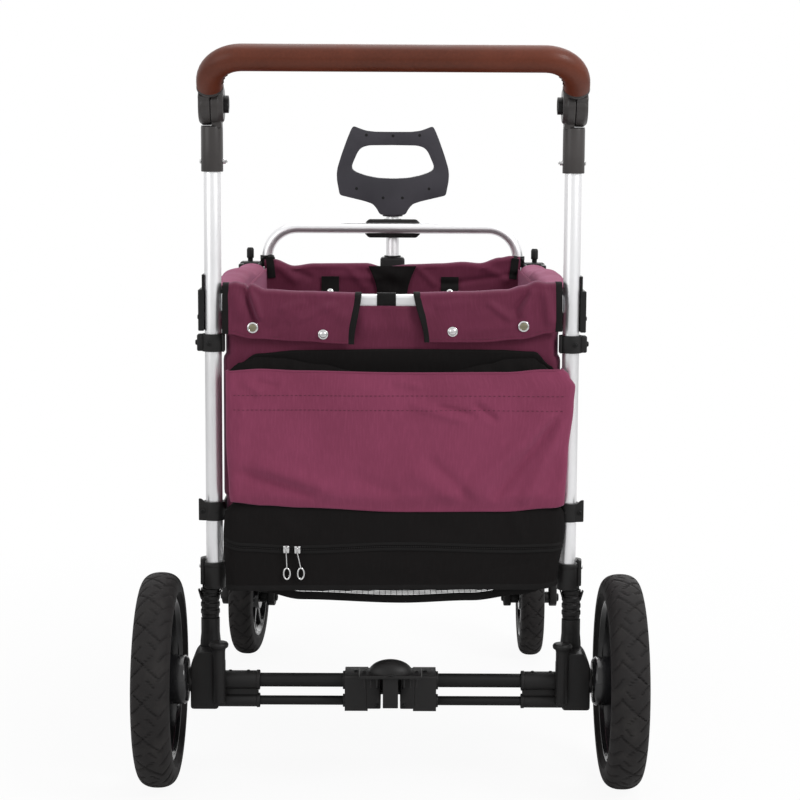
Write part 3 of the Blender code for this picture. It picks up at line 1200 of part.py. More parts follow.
def side_walls():
    """Side walls that run up inside the rails, over them and down as an outer lip."""
    knee_top = RAIL_Z + KNEE_OFFSET + RAIL_KNEE_R + 0.0008
    panel_out = SIDE_PANEL_X + SIDE_PANEL_WALL
    lip_in = SIDE_LIP_X - SIDE_LIP_WALL
    foot = BOARD_Z + BOARD_THICKNESS + 0.002
    top = knee_top + SIDE_CROWN
    for side, word in SIDE_NAMES.items():
        outline = [(SIDE_PANEL_X, foot), (panel_out, foot), (panel_out, knee_top - 0.005),
                   (panel_out + 0.004, knee_top), (lip_in - 0.004, knee_top),
                   (lip_in, knee_top - 0.005), (lip_in, SIDE_LIP_Z), (SIDE_LIP_X, SIDE_LIP_Z),
                   (SIDE_LIP_X, top - 0.008), (SIDE_LIP_X - 0.008, top),
                   (SIDE_PANEL_X + 0.008, top), (SIDE_PANEL_X, top - 0.008)]
        wall = plate("wall", [[(side * x, z) for x, z in outline]], "XZ", (0.0, MID_Y, 0.0),
                     WHEEL_BASE - 2 * SIDE_END_GAP)
        finish(wall, f"side_wall_{word}", "maroon_fabric")


def storage_pouch():
    """The open bag that hangs under the floor."""
    back = REAR_Y - REAR_WALL_BACK + REAR_WALL_THICKNESS + EASE
    front = FRONT_Y - FRONT_BAR_DEPTH
    bag = block("bag", (-BAG_HALF_WIDTH, BAG_HALF_WIDTH), (back, front), (BAG_FOOT_Z, BAG_TOP_Z))
    inside = block("inside", (-BAG_HALF_WIDTH + BAG_WALL, BAG_HALF_WIDTH - BAG_WALL),
                   (back + BAG_WALL, front - BAG_WALL), (BAG_FOOT_Z + BAG_WALL, BAG_TOP_Z + 0.01))
    finish(cut(bag, inside), "storage_pouch", "black_fabric")


def fold_axes():
    """The empties of the folding linkage, from the rear frame to the front frame."""
    knee_z = FLOOR_Z - KNEE_OFFSET
    floor_rear = axis_empty("floor_rear_axis", (0, REAR_Y + PIVOT_INSET, FLOOR_Z))
    floor_front = axis_empty("floor_front_axis", (0, MID_Y, knee_z), floor_rear)
    frame = axis_empty("front_frame_axis", (0, FRONT_Y - PIVOT_INSET, FLOOR_Z), floor_front)
    rails = {"rear": axis_empty("top_rear_axis", (0, REAR_Y + PIVOT_INSET, RAIL_Z)),
             "front": axis_empty("top_front_axis", (0, FRONT_Y - PIVOT_INSET, RAIL_Z), frame)}
    return floor_rear, floor_front, frame, rails


def build():
    """Make every piece of the wagon."""
    floor_rear, floor_front, frame, rails = fold_axes()
    rear_uprights()
    rear_crossbar()
    upper_clamps()
    lower_clamps()
    rail_brackets()
    handle_sleeves()
    leg_sockets()
    axle_brackets()
    axle_tube()
    axle_latches()
    handle_axis = axis_empty("handle_axis", (0, REAR_Y, KNUCKLE_Z))
    knuckles(handle_axis)
    handle_bar(handle_axis)
    handle_buttons()
    brake_housing()
    brake_pedal()
    brake_rods()
    rear_wheels()
    floor_half("rear", 1, floor_rear)
    floor_half("front", -1, floor_front)
    top_rails(rails)
    front_uprights(frame)
    corner_blocks(frame)
    front_bars(frame)
    pull_clip(frame)
    pull_axis = axis_empty("pull_axis", (0, PULL_Y, LOWER_BAR_Z), frame)
    extension_axis = axis_empty("extension_axis", (0, PULL_Y, PULL_INNER_FOOT_Z), pull_axis)
    pull_handle(pull_axis, extension_axis)
    swivels, wheel_axes = {}, {}
    for side, word in SIDE_NAMES.items():
        swivels[word] = axis_empty(f"caster_axis_{word}", (side * POST_X, FRONT_Y, FORK_CROWN_Z),
                                   frame)
        wheel_axes[word] = axis_empty(f"front_wheel_axis_{word}",
                                      (side * POST_X, FRONT_Y - CASTER_TRAIL, CASTER_R),
                                      swivels[word])
    casters(swivels, wheel_axes)
    rear_fabric()
    front_wall(frame)
    side_walls()
    storage_pouch()


build()
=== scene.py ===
"""Looks of a folding wagon: fabric tub, folding frame, two air tyres, two casters.

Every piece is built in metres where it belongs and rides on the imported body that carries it.
+X is to the right seen from the push handle, +Y towards the pull handle, +Z up.
"""

import logging
import math
from collections.abc import Callable, Iterable, Iterator, Sequence
from dataclasses import dataclass
from enum import Enum

import bmesh
import bpy
from mathutils import Matrix, Vector, noise


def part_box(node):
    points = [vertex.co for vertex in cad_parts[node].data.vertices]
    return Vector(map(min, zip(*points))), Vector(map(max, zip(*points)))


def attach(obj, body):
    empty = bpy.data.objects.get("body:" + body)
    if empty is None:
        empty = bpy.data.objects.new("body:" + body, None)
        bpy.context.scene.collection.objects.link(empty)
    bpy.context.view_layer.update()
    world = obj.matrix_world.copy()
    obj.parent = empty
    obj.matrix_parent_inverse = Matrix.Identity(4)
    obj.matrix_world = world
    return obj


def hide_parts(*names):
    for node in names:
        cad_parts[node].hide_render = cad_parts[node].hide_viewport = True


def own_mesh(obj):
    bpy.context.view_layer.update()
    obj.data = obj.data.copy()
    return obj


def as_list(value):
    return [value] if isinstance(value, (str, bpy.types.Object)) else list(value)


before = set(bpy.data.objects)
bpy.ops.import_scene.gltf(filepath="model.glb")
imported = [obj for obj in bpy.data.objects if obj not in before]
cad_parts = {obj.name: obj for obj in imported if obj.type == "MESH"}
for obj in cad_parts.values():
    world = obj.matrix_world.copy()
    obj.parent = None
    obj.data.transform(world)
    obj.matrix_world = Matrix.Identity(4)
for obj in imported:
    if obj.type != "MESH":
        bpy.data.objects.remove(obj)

LOG = logging.getLogger("folding_wagon")
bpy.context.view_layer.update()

Point = Sequence[float]
Outline = list[tuple[float, float]]
SIDES = {-1: "left", 1: "right"}
X_AXIS, Y_AXIS, Z_AXIS = Vector((1, 0, 0)), Vector((0, 1, 0)), Vector((0, 0, 1))


def middle(node: str) -> Vector:
    """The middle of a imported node's box."""
    low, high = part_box(node)
    return (low + high) / 2


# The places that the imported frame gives: the posts, the axle, the hoop and the pull handle.
POST_X, REAR_Y, _ = middle("rear_upright_right")
POST_R = (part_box("rear_upright_right")[1].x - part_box("rear_upright_right")[0].x) / 2
FRONT_Y = middle("u_bar").y
AXLE_Z = middle("rear_tyre_right").z
PULL_Y = middle("pull_inner_tube").y
# The hinge pins: how far from the posts along the wagon, the floor's inner end, the rails' height.
PIN_SETBACK = 0.035
FLOOR_PIN_X = 0.187
RAIL_PIN_Z = 0.642
# The brake's rods run below the axle tube.
ROD_DROP = 0.0279
ROD_SLEEVE_R = 0.0088
ROD_BORE = 0.0063


def srgb(red: int, green: int, blue: int) -> tuple[float, float, float]:
    """A linear colour from the 0 to 255 values that a screen shows."""
    shares = (value / 255 for value in (red, green, blue))
    return tuple(s / 12.92 if s <= 0.04045 else ((s + 0.055) / 1.055) ** 2.4 for s in shares)


def soften(points: Sequence[Point], setback: float, steps: int = 4, closed: bool = True) -> list:
    """Round the corners of a line.

    Args:
        points: corners in two or three dimensions.
        setback: how far from a corner its curve starts.
        steps: segments of each curve.
        closed: whether the last point joins the first.

    Returns:
        The line's points as vectors.
    """
    corners = [Vector(point) for point in points]
    made = []
    for index, corner in enumerate(corners):
        if not closed and index in (0, len(corners) - 1):
            made.append(corner)
            continue
        before, after = corners[index - 1], corners[(index + 1) % len(corners)]
        first = corner + (before - corner).normalized() * min(setback, (before - corner).length * 0.48)
        last = corner + (after - corner).normalized() * min(setback, (after - corner).length * 0.48)
        for step in range(steps + 1):
            share = step / steps
            made.append(
                first * (1 - share) ** 2 + corner * (2 * share * (1 - share)) + last * share ** 2)
    return made


def arced(points: Sequence[Point], bend: float, steps: int = 12) -> list[Vector]:
    """An open line whose inner corners are arcs of radius bend.

    Args:
        points: the corners.
        bend: radius of the arcs.
        steps: segments of each arc.

    Returns:
        The points.
    """
    corners = [Vector(point) for point in points]
    made = [corners[0]]
    for before, corner, after in zip(corners, corners[1:], corners[2:]):
        back, ahead = (before - corner).normalized(), (after - corner).normalized()
        half = back.angle(ahead) / 2
        setback = bend / math.tan(half)
        centre = corner + (back + ahead).normalized() * (bend / math.sin(half))
        first = (corner + back * setback - centre).normalized()
        last = (corner + ahead * setback - centre).normalized()
        made += [centre + first.slerp(last, step / steps) * bend for step in range(steps + 1)]
    return made + [corners[-1]]


def evenly(line: Sequence[Vector], pitch: float = 0.006) -> list[Vector]:
    """The same line with points at an even pitch.

    Args:
        line: the points.
        pitch: distance between the new points.

    Returns:
        The points.
    """
    made, left = [Vector(line[0])], pitch
    for start, end in zip(line, line[1:]):
        run = (end - start).length
        place = left
        while place < run:
            made.append(start.lerp(end, place / run))
            place += pitch
        left = place - run
    if (made[-1] - line[-1]).length > pitch * 0.4:
        made.append(Vector(line[-1]))
    else:
        made[-1] = Vector(line[-1])
    return made


def circle(radius: float, sides: int, flat: float = 1.0) -> Outline:
    """A round outline, or an oval one that is flat times as high as it is wide."""
    turns = (math.tau * step / sides for step in range(sides))
    return [(radius * math.cos(turn), radius * flat * math.sin(turn)) for turn in turns]


def tapered(foot: float, head: float, height: float, setback: float, steps: int) -> Outline:
    """A four-sided section, foot and head wide and height high on each side of its middle."""
    corners = [(-foot, -height), (foot, -height), (head, height), (-head, height)]
    return [tuple(point) for point in soften(corners, setback, steps)]


def ribbon(width: float, thickness: float) -> Outline:
    """The section of a strap, its edges a little rounded."""
    return tapered(width / 2, width / 2, thickness / 2, min(width, thickness) * 0.3, 2)


def smoothly(share: float) -> float:
    """An even start and stop between 0 and 1."""
    share = min(1.0, max(0.0, share))
    return share * share * (3 - 2 * share)


def along(line: Sequence[Point], place: float) -> float:
    """Read a height off a line of (place, height) points, with smooth changes between them.

    Args:
        line: the points, in order.
        place: where to read.

    Returns:
        The height.
    """
    if place <= line[0][0]:
        return line[0][1]
    for (x0, y0), (x1, y1) in zip(line, line[1:]):
        if place <= x1:
            return y0 + (y1 - y0) * smoothly((place - x0) / (x1 - x0))
    return line[-1][1]


def stood(part: bmesh.types.BMesh, base: Point, axis: Point) -> bmesh.types.BMesh:
    """Turn a shape made along +Z to an axis and put its origin at base.

    Args:
        part: the shape.
        base: where its origin goes.
        axis: where its +Z points.

    Returns:
        The same shape.
    """
    turn = Vector(axis).to_track_quat("Z", "Y").to_matrix().to_4x4()
    bmesh.ops.transform(part, matrix=Matrix.Translation(base) @ turn, verts=part.verts)
    return part


def rounded_edges(part: bmesh.types.BMesh, edges: Iterable, offset: float, segments: int) -> None:
    """Round the given edges of a shape.

    Args:
        part: the shape.
        edges: which of its edges.
        offset: the radius.
        segments: of each round.
    """
    bmesh.ops.bevel(
        part, geom=list(edges), offset=offset, segments=segments, profile=0.5, affect="EDGES",
        material=-1, clamp_overlap=True)


def sharp(part: bmesh.types.BMesh, degrees: float = 40.0) -> list:
    """The edges where two faces meet at more than an angle."""
    limit = math.radians(degrees)
    return [edge for edge in part.edges if edge.is_manifold and edge.calc_face_angle() > limit]


def box(
        x: Point, y: Point, z: Point, rounding: float = 0.0, segments: int = 3,
        across: int | None = None) -> bmesh.types.BMesh:
    """A block between pairs of coordinates.

    Args:
        x: the two ends along X, in any order.
        y: the two ends along Y.
        z: the two ends along Z.
        rounding: radius of its edges.
        segments: steps of the rounding.
        across: the axis whose edges alone are rounded.

    Returns:
        The shape.
    """
    low, high = Vector([min(pair) for pair in (x, y, z)]), Vector([max(pair) for pair in (x, y, z)])
    part = bmesh.new()
    bmesh.ops.create_cube(part, size=1.0)
    bmesh.ops.scale(part, vec=high - low, verts=part.verts)
    bmesh.ops.translate(part, vec=(low + high) / 2, verts=part.verts)
    if rounding:
        edges = [
            e for e in part.edges if across is None
            or abs((e.verts[0].co - e.verts[1].co).normalized()[across]) > 0.9]
        rounded_edges(part, edges, rounding, segments)
    return part


def rod(
        start: Point, end: Point, radius: float, end_radius: float | None = None, sides: int = 32,
        rounding: float = 0.0) -> bmesh.types.BMesh:
    """A round bar or cone from start to end, its rims rounded if asked.

    Args:
        start: middle of one end.
        end: middle of the other.
        radius: at the start.
        end_radius: at the end, where it differs.
        sides: faces round it.
        rounding: of its rims.

    Returns:
        The shape.
    """
    start, end = Vector(start), Vector(end)
    part = bmesh.new()
    bmesh.ops.create_cone(
        part, cap_ends=True, segments=sides, radius1=radius,
        radius2=radius if end_radius is None else end_radius, depth=(end - start).length)
    if rounding:
        rounded_edges(part, sharp(part, 60), rounding, 2)
    return stood(part, (start + end) / 2, end - start)


def spun(
        profile: Sequence[Point], base: Point, axis: Point = (0, 0, 1), steps: int = 48,
        closed: bool = True) -> bmesh.types.BMesh:
    """A turned shape from a profile of (radius, height) points.

    Args:
        profile: the section's points.
        base: where the profile's zero height stands.
        axis: the way that its heights run.
        steps: facets round the axis.
        closed: whether the section closes on itself, and doesn't start and end on the axis.

    Returns:
        The shape.
    """
    part = bmesh.new()
    verts = [part.verts.new((radius, 0.0, height)) for radius, height in profile]
    pairs = list(zip(verts, verts[1:])) + ([(verts[-1], verts[0])] if closed else [])
    edges = [part.edges.new(pair) for pair in pairs]
    bmesh.ops.spin(
        part, geom=verts + edges, cent=(0, 0, 0), axis=(0, 0, 1), dvec=(0, 0, 0), angle=math.tau,
        steps=steps, use_merge=True, use_duplicate=False)
    bmesh.ops.remove_doubles(part, verts=part.verts, dist=0.000005)
    return stood(part, base, axis)


def tube(
        base: Point, axis: Point, length: float, radius: float, bore: float, lip: float = 0.0006,
        steps: int = 48) -> bmesh.types.BMesh:
    """A pipe with softened rims."""
    section = soften([(radius, 0.0), (bore, 0.0), (bore, length), (radius, length)], lip, 3)
    return spun(section, base, axis, steps)


def stations(path: Sequence[Point], up: Point, loop: bool) -> Iterator[Matrix]:
    """Frames along a path, each with its own across, up and forward.

    Args:
        path: the points.
        up: the side that stays up.
        loop: whether the path is closed.

    Yields:
        One matrix for each point.
    """
    points = [Vector(point) for point in path]
    normal, last = Vector(up), len(points) - 1
    for index, point in enumerate(points):
        before = points[index - 1] if index or loop else point
        after = points[(index + 1) % len(points)] if index < last or loop else point
        forward = (after - before).normalized()
        normal = (normal - forward * normal.dot(forward)).normalized()
        side = normal.cross(forward)
        turn = Matrix((side, normal, forward)).transposed().to_4x4()
        yield Matrix.Translation(point) @ turn


def swept(
        path: Sequence[Point], section: Outline, up: Point = (0, 0, 1), loop: bool = False,
        scales: Callable[[float], tuple[float, float]] | None = None) -> bmesh.types.BMesh:
    """A section carried along a path.

    Args:
        path: the points that it follows.
        section: its outline, as (across, up) points.
        up: which way the section stands at the start.
        loop: whether the path closes on itself.
        scales: how wide and high the section is, from the share of the path that is done.

    Returns:
        The shape, with its ends closed.
    """
    part = bmesh.new()
    verts = [part.verts.new((across, height, 0.0)) for across, height in section]
    edges = [part.edges.new(pair) for pair in zip(verts, verts[1:] + verts[:1])]
    frames = list(stations(path, up, loop))
    if loop:
        frames.append(frames[0])
    for index in range(len(frames)):
        if scales:
            wide, high = scales(index / (len(frames) - 1))
            frames[index] = frames[index] @ Matrix.Diagonal((wide, high, 1.0, 1.0))
    bmesh.ops.transform(part, matrix=frames[0], verts=verts)
    for before, after in zip(frames, frames[1:]):
        made = bmesh.ops.extrude_edge_only(part, edges=edges)["geom"]
        verts = [item for item in made if isinstance(item, bmesh.types.BMVert)]
        edges = [item for item in made if isinstance(item, bmesh.types.BMEdge) and item.is_boundary]
        bmesh.ops.transform(part, matrix=after @ before.inverted(), verts=verts)
    if loop:
        bmesh.ops.remove_doubles(part, verts=part.verts, dist=0.000002)
    else:
        bmesh.ops.holes_fill(part, edges=[edge for edge in part.edges if edge.is_boundary])
    return part


def slab(
        outlines: Sequence[Sequence[Point]], thickness: float, base: Point = (0, 0, 0),
        axis: Point = (0, 0, 1), rounding: float = 0.0, segments: int = 3) -> bmesh.types.BMesh:
    """A flat piece cut to an outline, with any further outlines as holes.

    Args:
        outlines: points across and up, seen from the end of the axis.
        thickness: its depth, half on each side of base.
        base: the middle plane's origin.
        axis: the way that it faces.
        rounding: radius of its rims.
        segments: steps of the rounding.

    Returns:
        The shape.
    """
    part = bmesh.new()
    edges = []
    for outline in outlines:
        verts = [part.verts.new((point[0], point[1], -thickness / 2)) for point in outline]
        edges += [part.edges.new(pair) for pair in zip(verts, verts[1:] + verts[:1])]
    bmesh.ops.triangle_fill(part, use_beauty=True, use_dissolve=len(outlines) == 1, edges=edges)
    made = bmesh.ops.extrude_face_region(part, geom=part.faces[:])["geom"]
    verts = [item for item in made if isinstance(item, bmesh.types.BMVert)]
    bmesh.ops.translate(part, vec=(0, 0, thickness), verts=verts)
    if rounding:
        rounded_edges(part, sharp(part, 60), rounding, segments)
    return stood(part, base, axis)


def ball(centre: Point, size: Point, rings: int = 12) -> bmesh.types.BMesh:
    """A round knob or dome with a radius along each axis.

    Args:
        centre: its middle.
        size: the three radii.
        rings: rows of faces.

    Returns:
        The shape.
    """
    part = bmesh.new()
    bmesh.ops.create_uvsphere(part, u_segments=2 * rings, v_segments=rings, radius=1.0)
    bmesh.ops.scale(part, vec=size, verts=part.verts)
    bmesh.ops.translate(part, vec=centre, verts=part.verts)
    return part


def hex_bolt(head: Point, axis: Point, radius: float, height: float) -> list[bmesh.types.BMesh]:
    """A domed bolt head with a hexagon socket ring, on a washer.

    Args:
        head: middle of the face that it sits on.
        axis: where it points.
        radius: of the head.
        height: of the head.

    Returns:
        The shapes.
    """
    head, way = Vector(head), Vector(axis).normalized()
    washer = spun(soften([
        (radius * 0.5, 0.0), (radius * 1.3, 0.0), (radius * 1.3, height * 0.25),
        (radius * 0.5, height * 0.25)], 0.0003, 2), head, axis, 32)
    dome = spun([
        (0.0, height * 0.45), (radius * 0.42, height * 0.45), (radius * 0.5, height),
        (radius * 0.8, height * 0.92), (radius, height * 0.6), (radius, height * 0.1),
        (0.0, height * 0.1)], head + way * height * 0.2, axis, 24, closed=False)
    return [washer, dome]


def stitches(
        line: Sequence[Point], pitch: float, length: float, radius: float,
        lift: Point = (0, 0, 0)) -> list[bmesh.types.BMesh]:
    """Short threads along a line, one each pitch.

    Args:
        line: the points of the seam.
        pitch: of the stitches.
        length: of a stitch.
        radius: of the thread.
        lift: how far they stand off the line.

    Returns:
        The shapes.
    """
    points = [Vector(point) + Vector(lift) for point in line]
    made, wait = [], 0.0
    for start, end in zip(points, points[1:]):
        run = (end - start).length
        way = (end - start).normalized()
        place = wait
        while place + length < run:
            made.append(rod(start + way * place, start + way * (place + length), radius, sides=6))
            place += pitch
        wait = max(0.0, place - run)
    return made


@dataclass(frozen=True)
class Fold:
    """A fold of cloth: a soft ridge, or a groove if its height is negative."""

    start: tuple[float, float]
    end: tuple[float, float]
    width: float
    height: float

    def lift(self, x: float, z: float) -> float:
        """How far the cloth stands out at a point of the panel.

        Args:
            x: place across the wagon.
            z: height in metres.

        Returns:
            The height, positive outwards.
        """
        place, start = Vector((x, z)), Vector(self.start)
        run = Vector(self.end) - start
        share = (place - start).dot(run) / run.length_squared
        held = min(1.0, max(0.0, share))
        gap = (place - start - run * held).length
        fade = smoothly((1.35 - share) / 0.5) * smoothly((share + 0.35) / 0.5)
        return self.height * math.exp(-(gap / self.width) ** 2) * fade


def creases(*rows: tuple[float, float, float, float, float, float]) -> tuple[Fold, ...]:
    """Folds from rows in millimetres: start x and z, end x and z, width, height."""
    metres = (tuple(value / 1000 for value in row) for row in rows)
    return tuple(Fold(row[0:2], row[2:4], row[4], row[5]) for row in metres)


def lifted(folds: Iterable[Fold], x: float, z: float) -> float:
    """The sum of the folds at a point."""
    return sum(fold.lift(x, z) for fold in folds)


def sampled(place: Callable[[float], Point], first: int, last: int, steps: int = 160) -> list[Vector]:
    """The points of a line at steps first to last of all the steps from 0 to 1."""
    return [Vector(place(step / steps)) for step in range(first, last + 1)]


def stud(face: Point, radius: float, crown: float) -> bmesh.types.BMesh:
    """The domed cap of a press stud that faces the rear.

    Args:
        face: where it sits.
        radius: its radius.
        crown: its height.

    Returns:
        The shape.
    """
    cap = [
        (radius * math.sin(turn), crown * math.cos(turn))
        for turn in (math.pi / 2 * step / 8 for step in range(9))]
    return spun([*cap, (0.0, 0.0)], face, (0, -1, 0), 32, closed=False)


def slackness(x: float, z: float, scale: float, height: float, seed: float) -> float:
    """A gentle unevenness of stretched cloth, the same in each run."""
    return noise.noise(Vector((x * scale, z * scale, seed))) * height


def cloth(
        width: float, height: float, columns: int, rows: int,
        place: Callable[[float, float], Point]) -> bmesh.types.BMesh:
    """A sheet of cloth.

    Args:
        width: its flat width, for the weave.
        height: its flat height, for the weave.
        columns: squares across.
        rows: squares up.
        place: says where the point at shares (u, v) of the sheet hangs.

    Returns:
        The open surface, with its cloth coordinates in metres as UV.
    """
    part = bmesh.new()
    layer = part.loops.layers.uv.new("UVMap")
    bmesh.ops.create_grid(part, x_segments=columns, y_segments=rows, size=0.5)
    spots = {vert: (vert.co.x + 0.5, vert.co.y + 0.5) for vert in part.verts}
    for face in part.faces:
        for loop in face.loops:
            u, v = spots[loop.vert]
            loop[layer].uv = (u * width, v * height)
    for vert, (u, v) in spots.items():
        vert.co = place(u, v)
    return part


class Grain(Enum):
    """The kinds of surface that the finishes have."""

    MOULDED = "moulded"
    BRUSHED = "brushed"
    WOVEN = "woven"
    HIDE = "hide"
    RUBBER = "rubber"
    COATED = "coated"


class NodeDesk:
    """Wires up one material's nodes."""

    def __init__(self, name: str) -> None:
        """Start a material of that name with its plain shader.

        Args:
            name: of the material.
        """
        self.material = bpy.data.materials.new(name)
        self.material.use_nodes = True
        self.tree = self.material.node_tree
        self.shader = self.tree.nodes["Principled BSDF"]

    def node(self, kind: str, **values: object) -> bpy.types.Node:
        """A new node, its inputs set or linked by name, with _ for spaces.

        Args:
            kind: the node's type without its prefix.
            values: its inputs, and i0, i1 and so on for inputs by number.

        Returns:
            The node.
        """
        made = self.tree.nodes.new("ShaderNode" + kind)
        for key, value in values.items():
            if hasattr(made, key):
                setattr(made, key, value)
                continue
            slot = int(key[1:]) if key[1:].isdigit() else key.replace("_", " ")
            socket = made.inputs[slot]
            self.feed(socket, value)
        return made

    def feed(self, socket: bpy.types.NodeSocket, value: object) -> None:
        """Set a socket, or link it where the value is another node's output.

        Args:
            socket: an input.
            value: a number, a colour or a socket.
        """
        if isinstance(value, bpy.types.NodeSocket):
            self.tree.links.new(value, socket)
        else:
            socket.default_value = value

    def where(self, output: str, stretch: Point = (1, 1, 1)) -> bpy.types.NodeSocket:
        """Object or UV coordinates, stretched along the axes."""
        source = self.node("TexCoord").outputs[output]
        return self.node("Mapping", Vector=source, Scale=stretch).outputs["Vector"]

    def cloud(
            self, place: bpy.types.NodeSocket, scale: float,
            detail: float = 3.0) -> bpy.types.NodeSocket:
        """Noise of that many cells to the metre."""
        return self.node("TexNoise", Vector=place, Scale=scale, Detail=detail).outputs["Fac"]

    def ramp(
            self, value: bpy.types.NodeSocket, low: float, high: float, out_low: float,
            out_high: float) -> bpy.types.NodeSocket:
        """Map a range of values to another range.

        Args:
            value: the input.
            low: start of its range.
            high: end of its range.
            out_low: what the start becomes.
            out_high: what the end becomes.

        Returns:
            The result's socket.
        """
        return self.node(
            "MapRange", Value=value, From_Min=low, From_Max=high, To_Min=out_low,
            To_Max=out_high).outputs["Result"]

    def blend(self, share: object, first: Point, second: object) -> bpy.types.NodeSocket:
        """A mix of two colours.

        Args:
            share: of the second.
            first: a colour.
            second: a colour or a socket.

        Returns:
            The result's socket.
        """
        made = self.tree.nodes.new("ShaderNodeMix")
        made.data_type = "RGBA"
        self.feed(made.inputs[0], share)
        for socket, colour in ((made.inputs[6], first), (made.inputs[7], second)):
            self.feed(socket, colour if isinstance(colour, bpy.types.NodeSocket) else (*colour, 1.0))
        return made.outputs[2]

    def sum_of(self, first: object, second: object, operation: str = "ADD") -> bpy.types.NodeSocket:
        """Two values added, or put together by another operation.

        Args:
            first: a value or a socket.
            second: a value or a socket.
            operation: what is done with them.

        Returns:
            The result's socket.
        """
        made = self.tree.nodes.new("ShaderNodeMath")
        made.operation = operation
        self.feed(made.inputs[0], first)
        self.feed(made.inputs[1], second)
        return made.outputs[0]

    def relief(self, height: bpy.types.NodeSocket, strength: float, depth: float) -> None:
        """Give the shader a bump of that depth in metres."""
        bump = self.node("Bump", Height=height, Strength=strength, Distance=depth)
        self.tree.links.new(bump.outputs["Normal"], self.shader.inputs["Normal"])


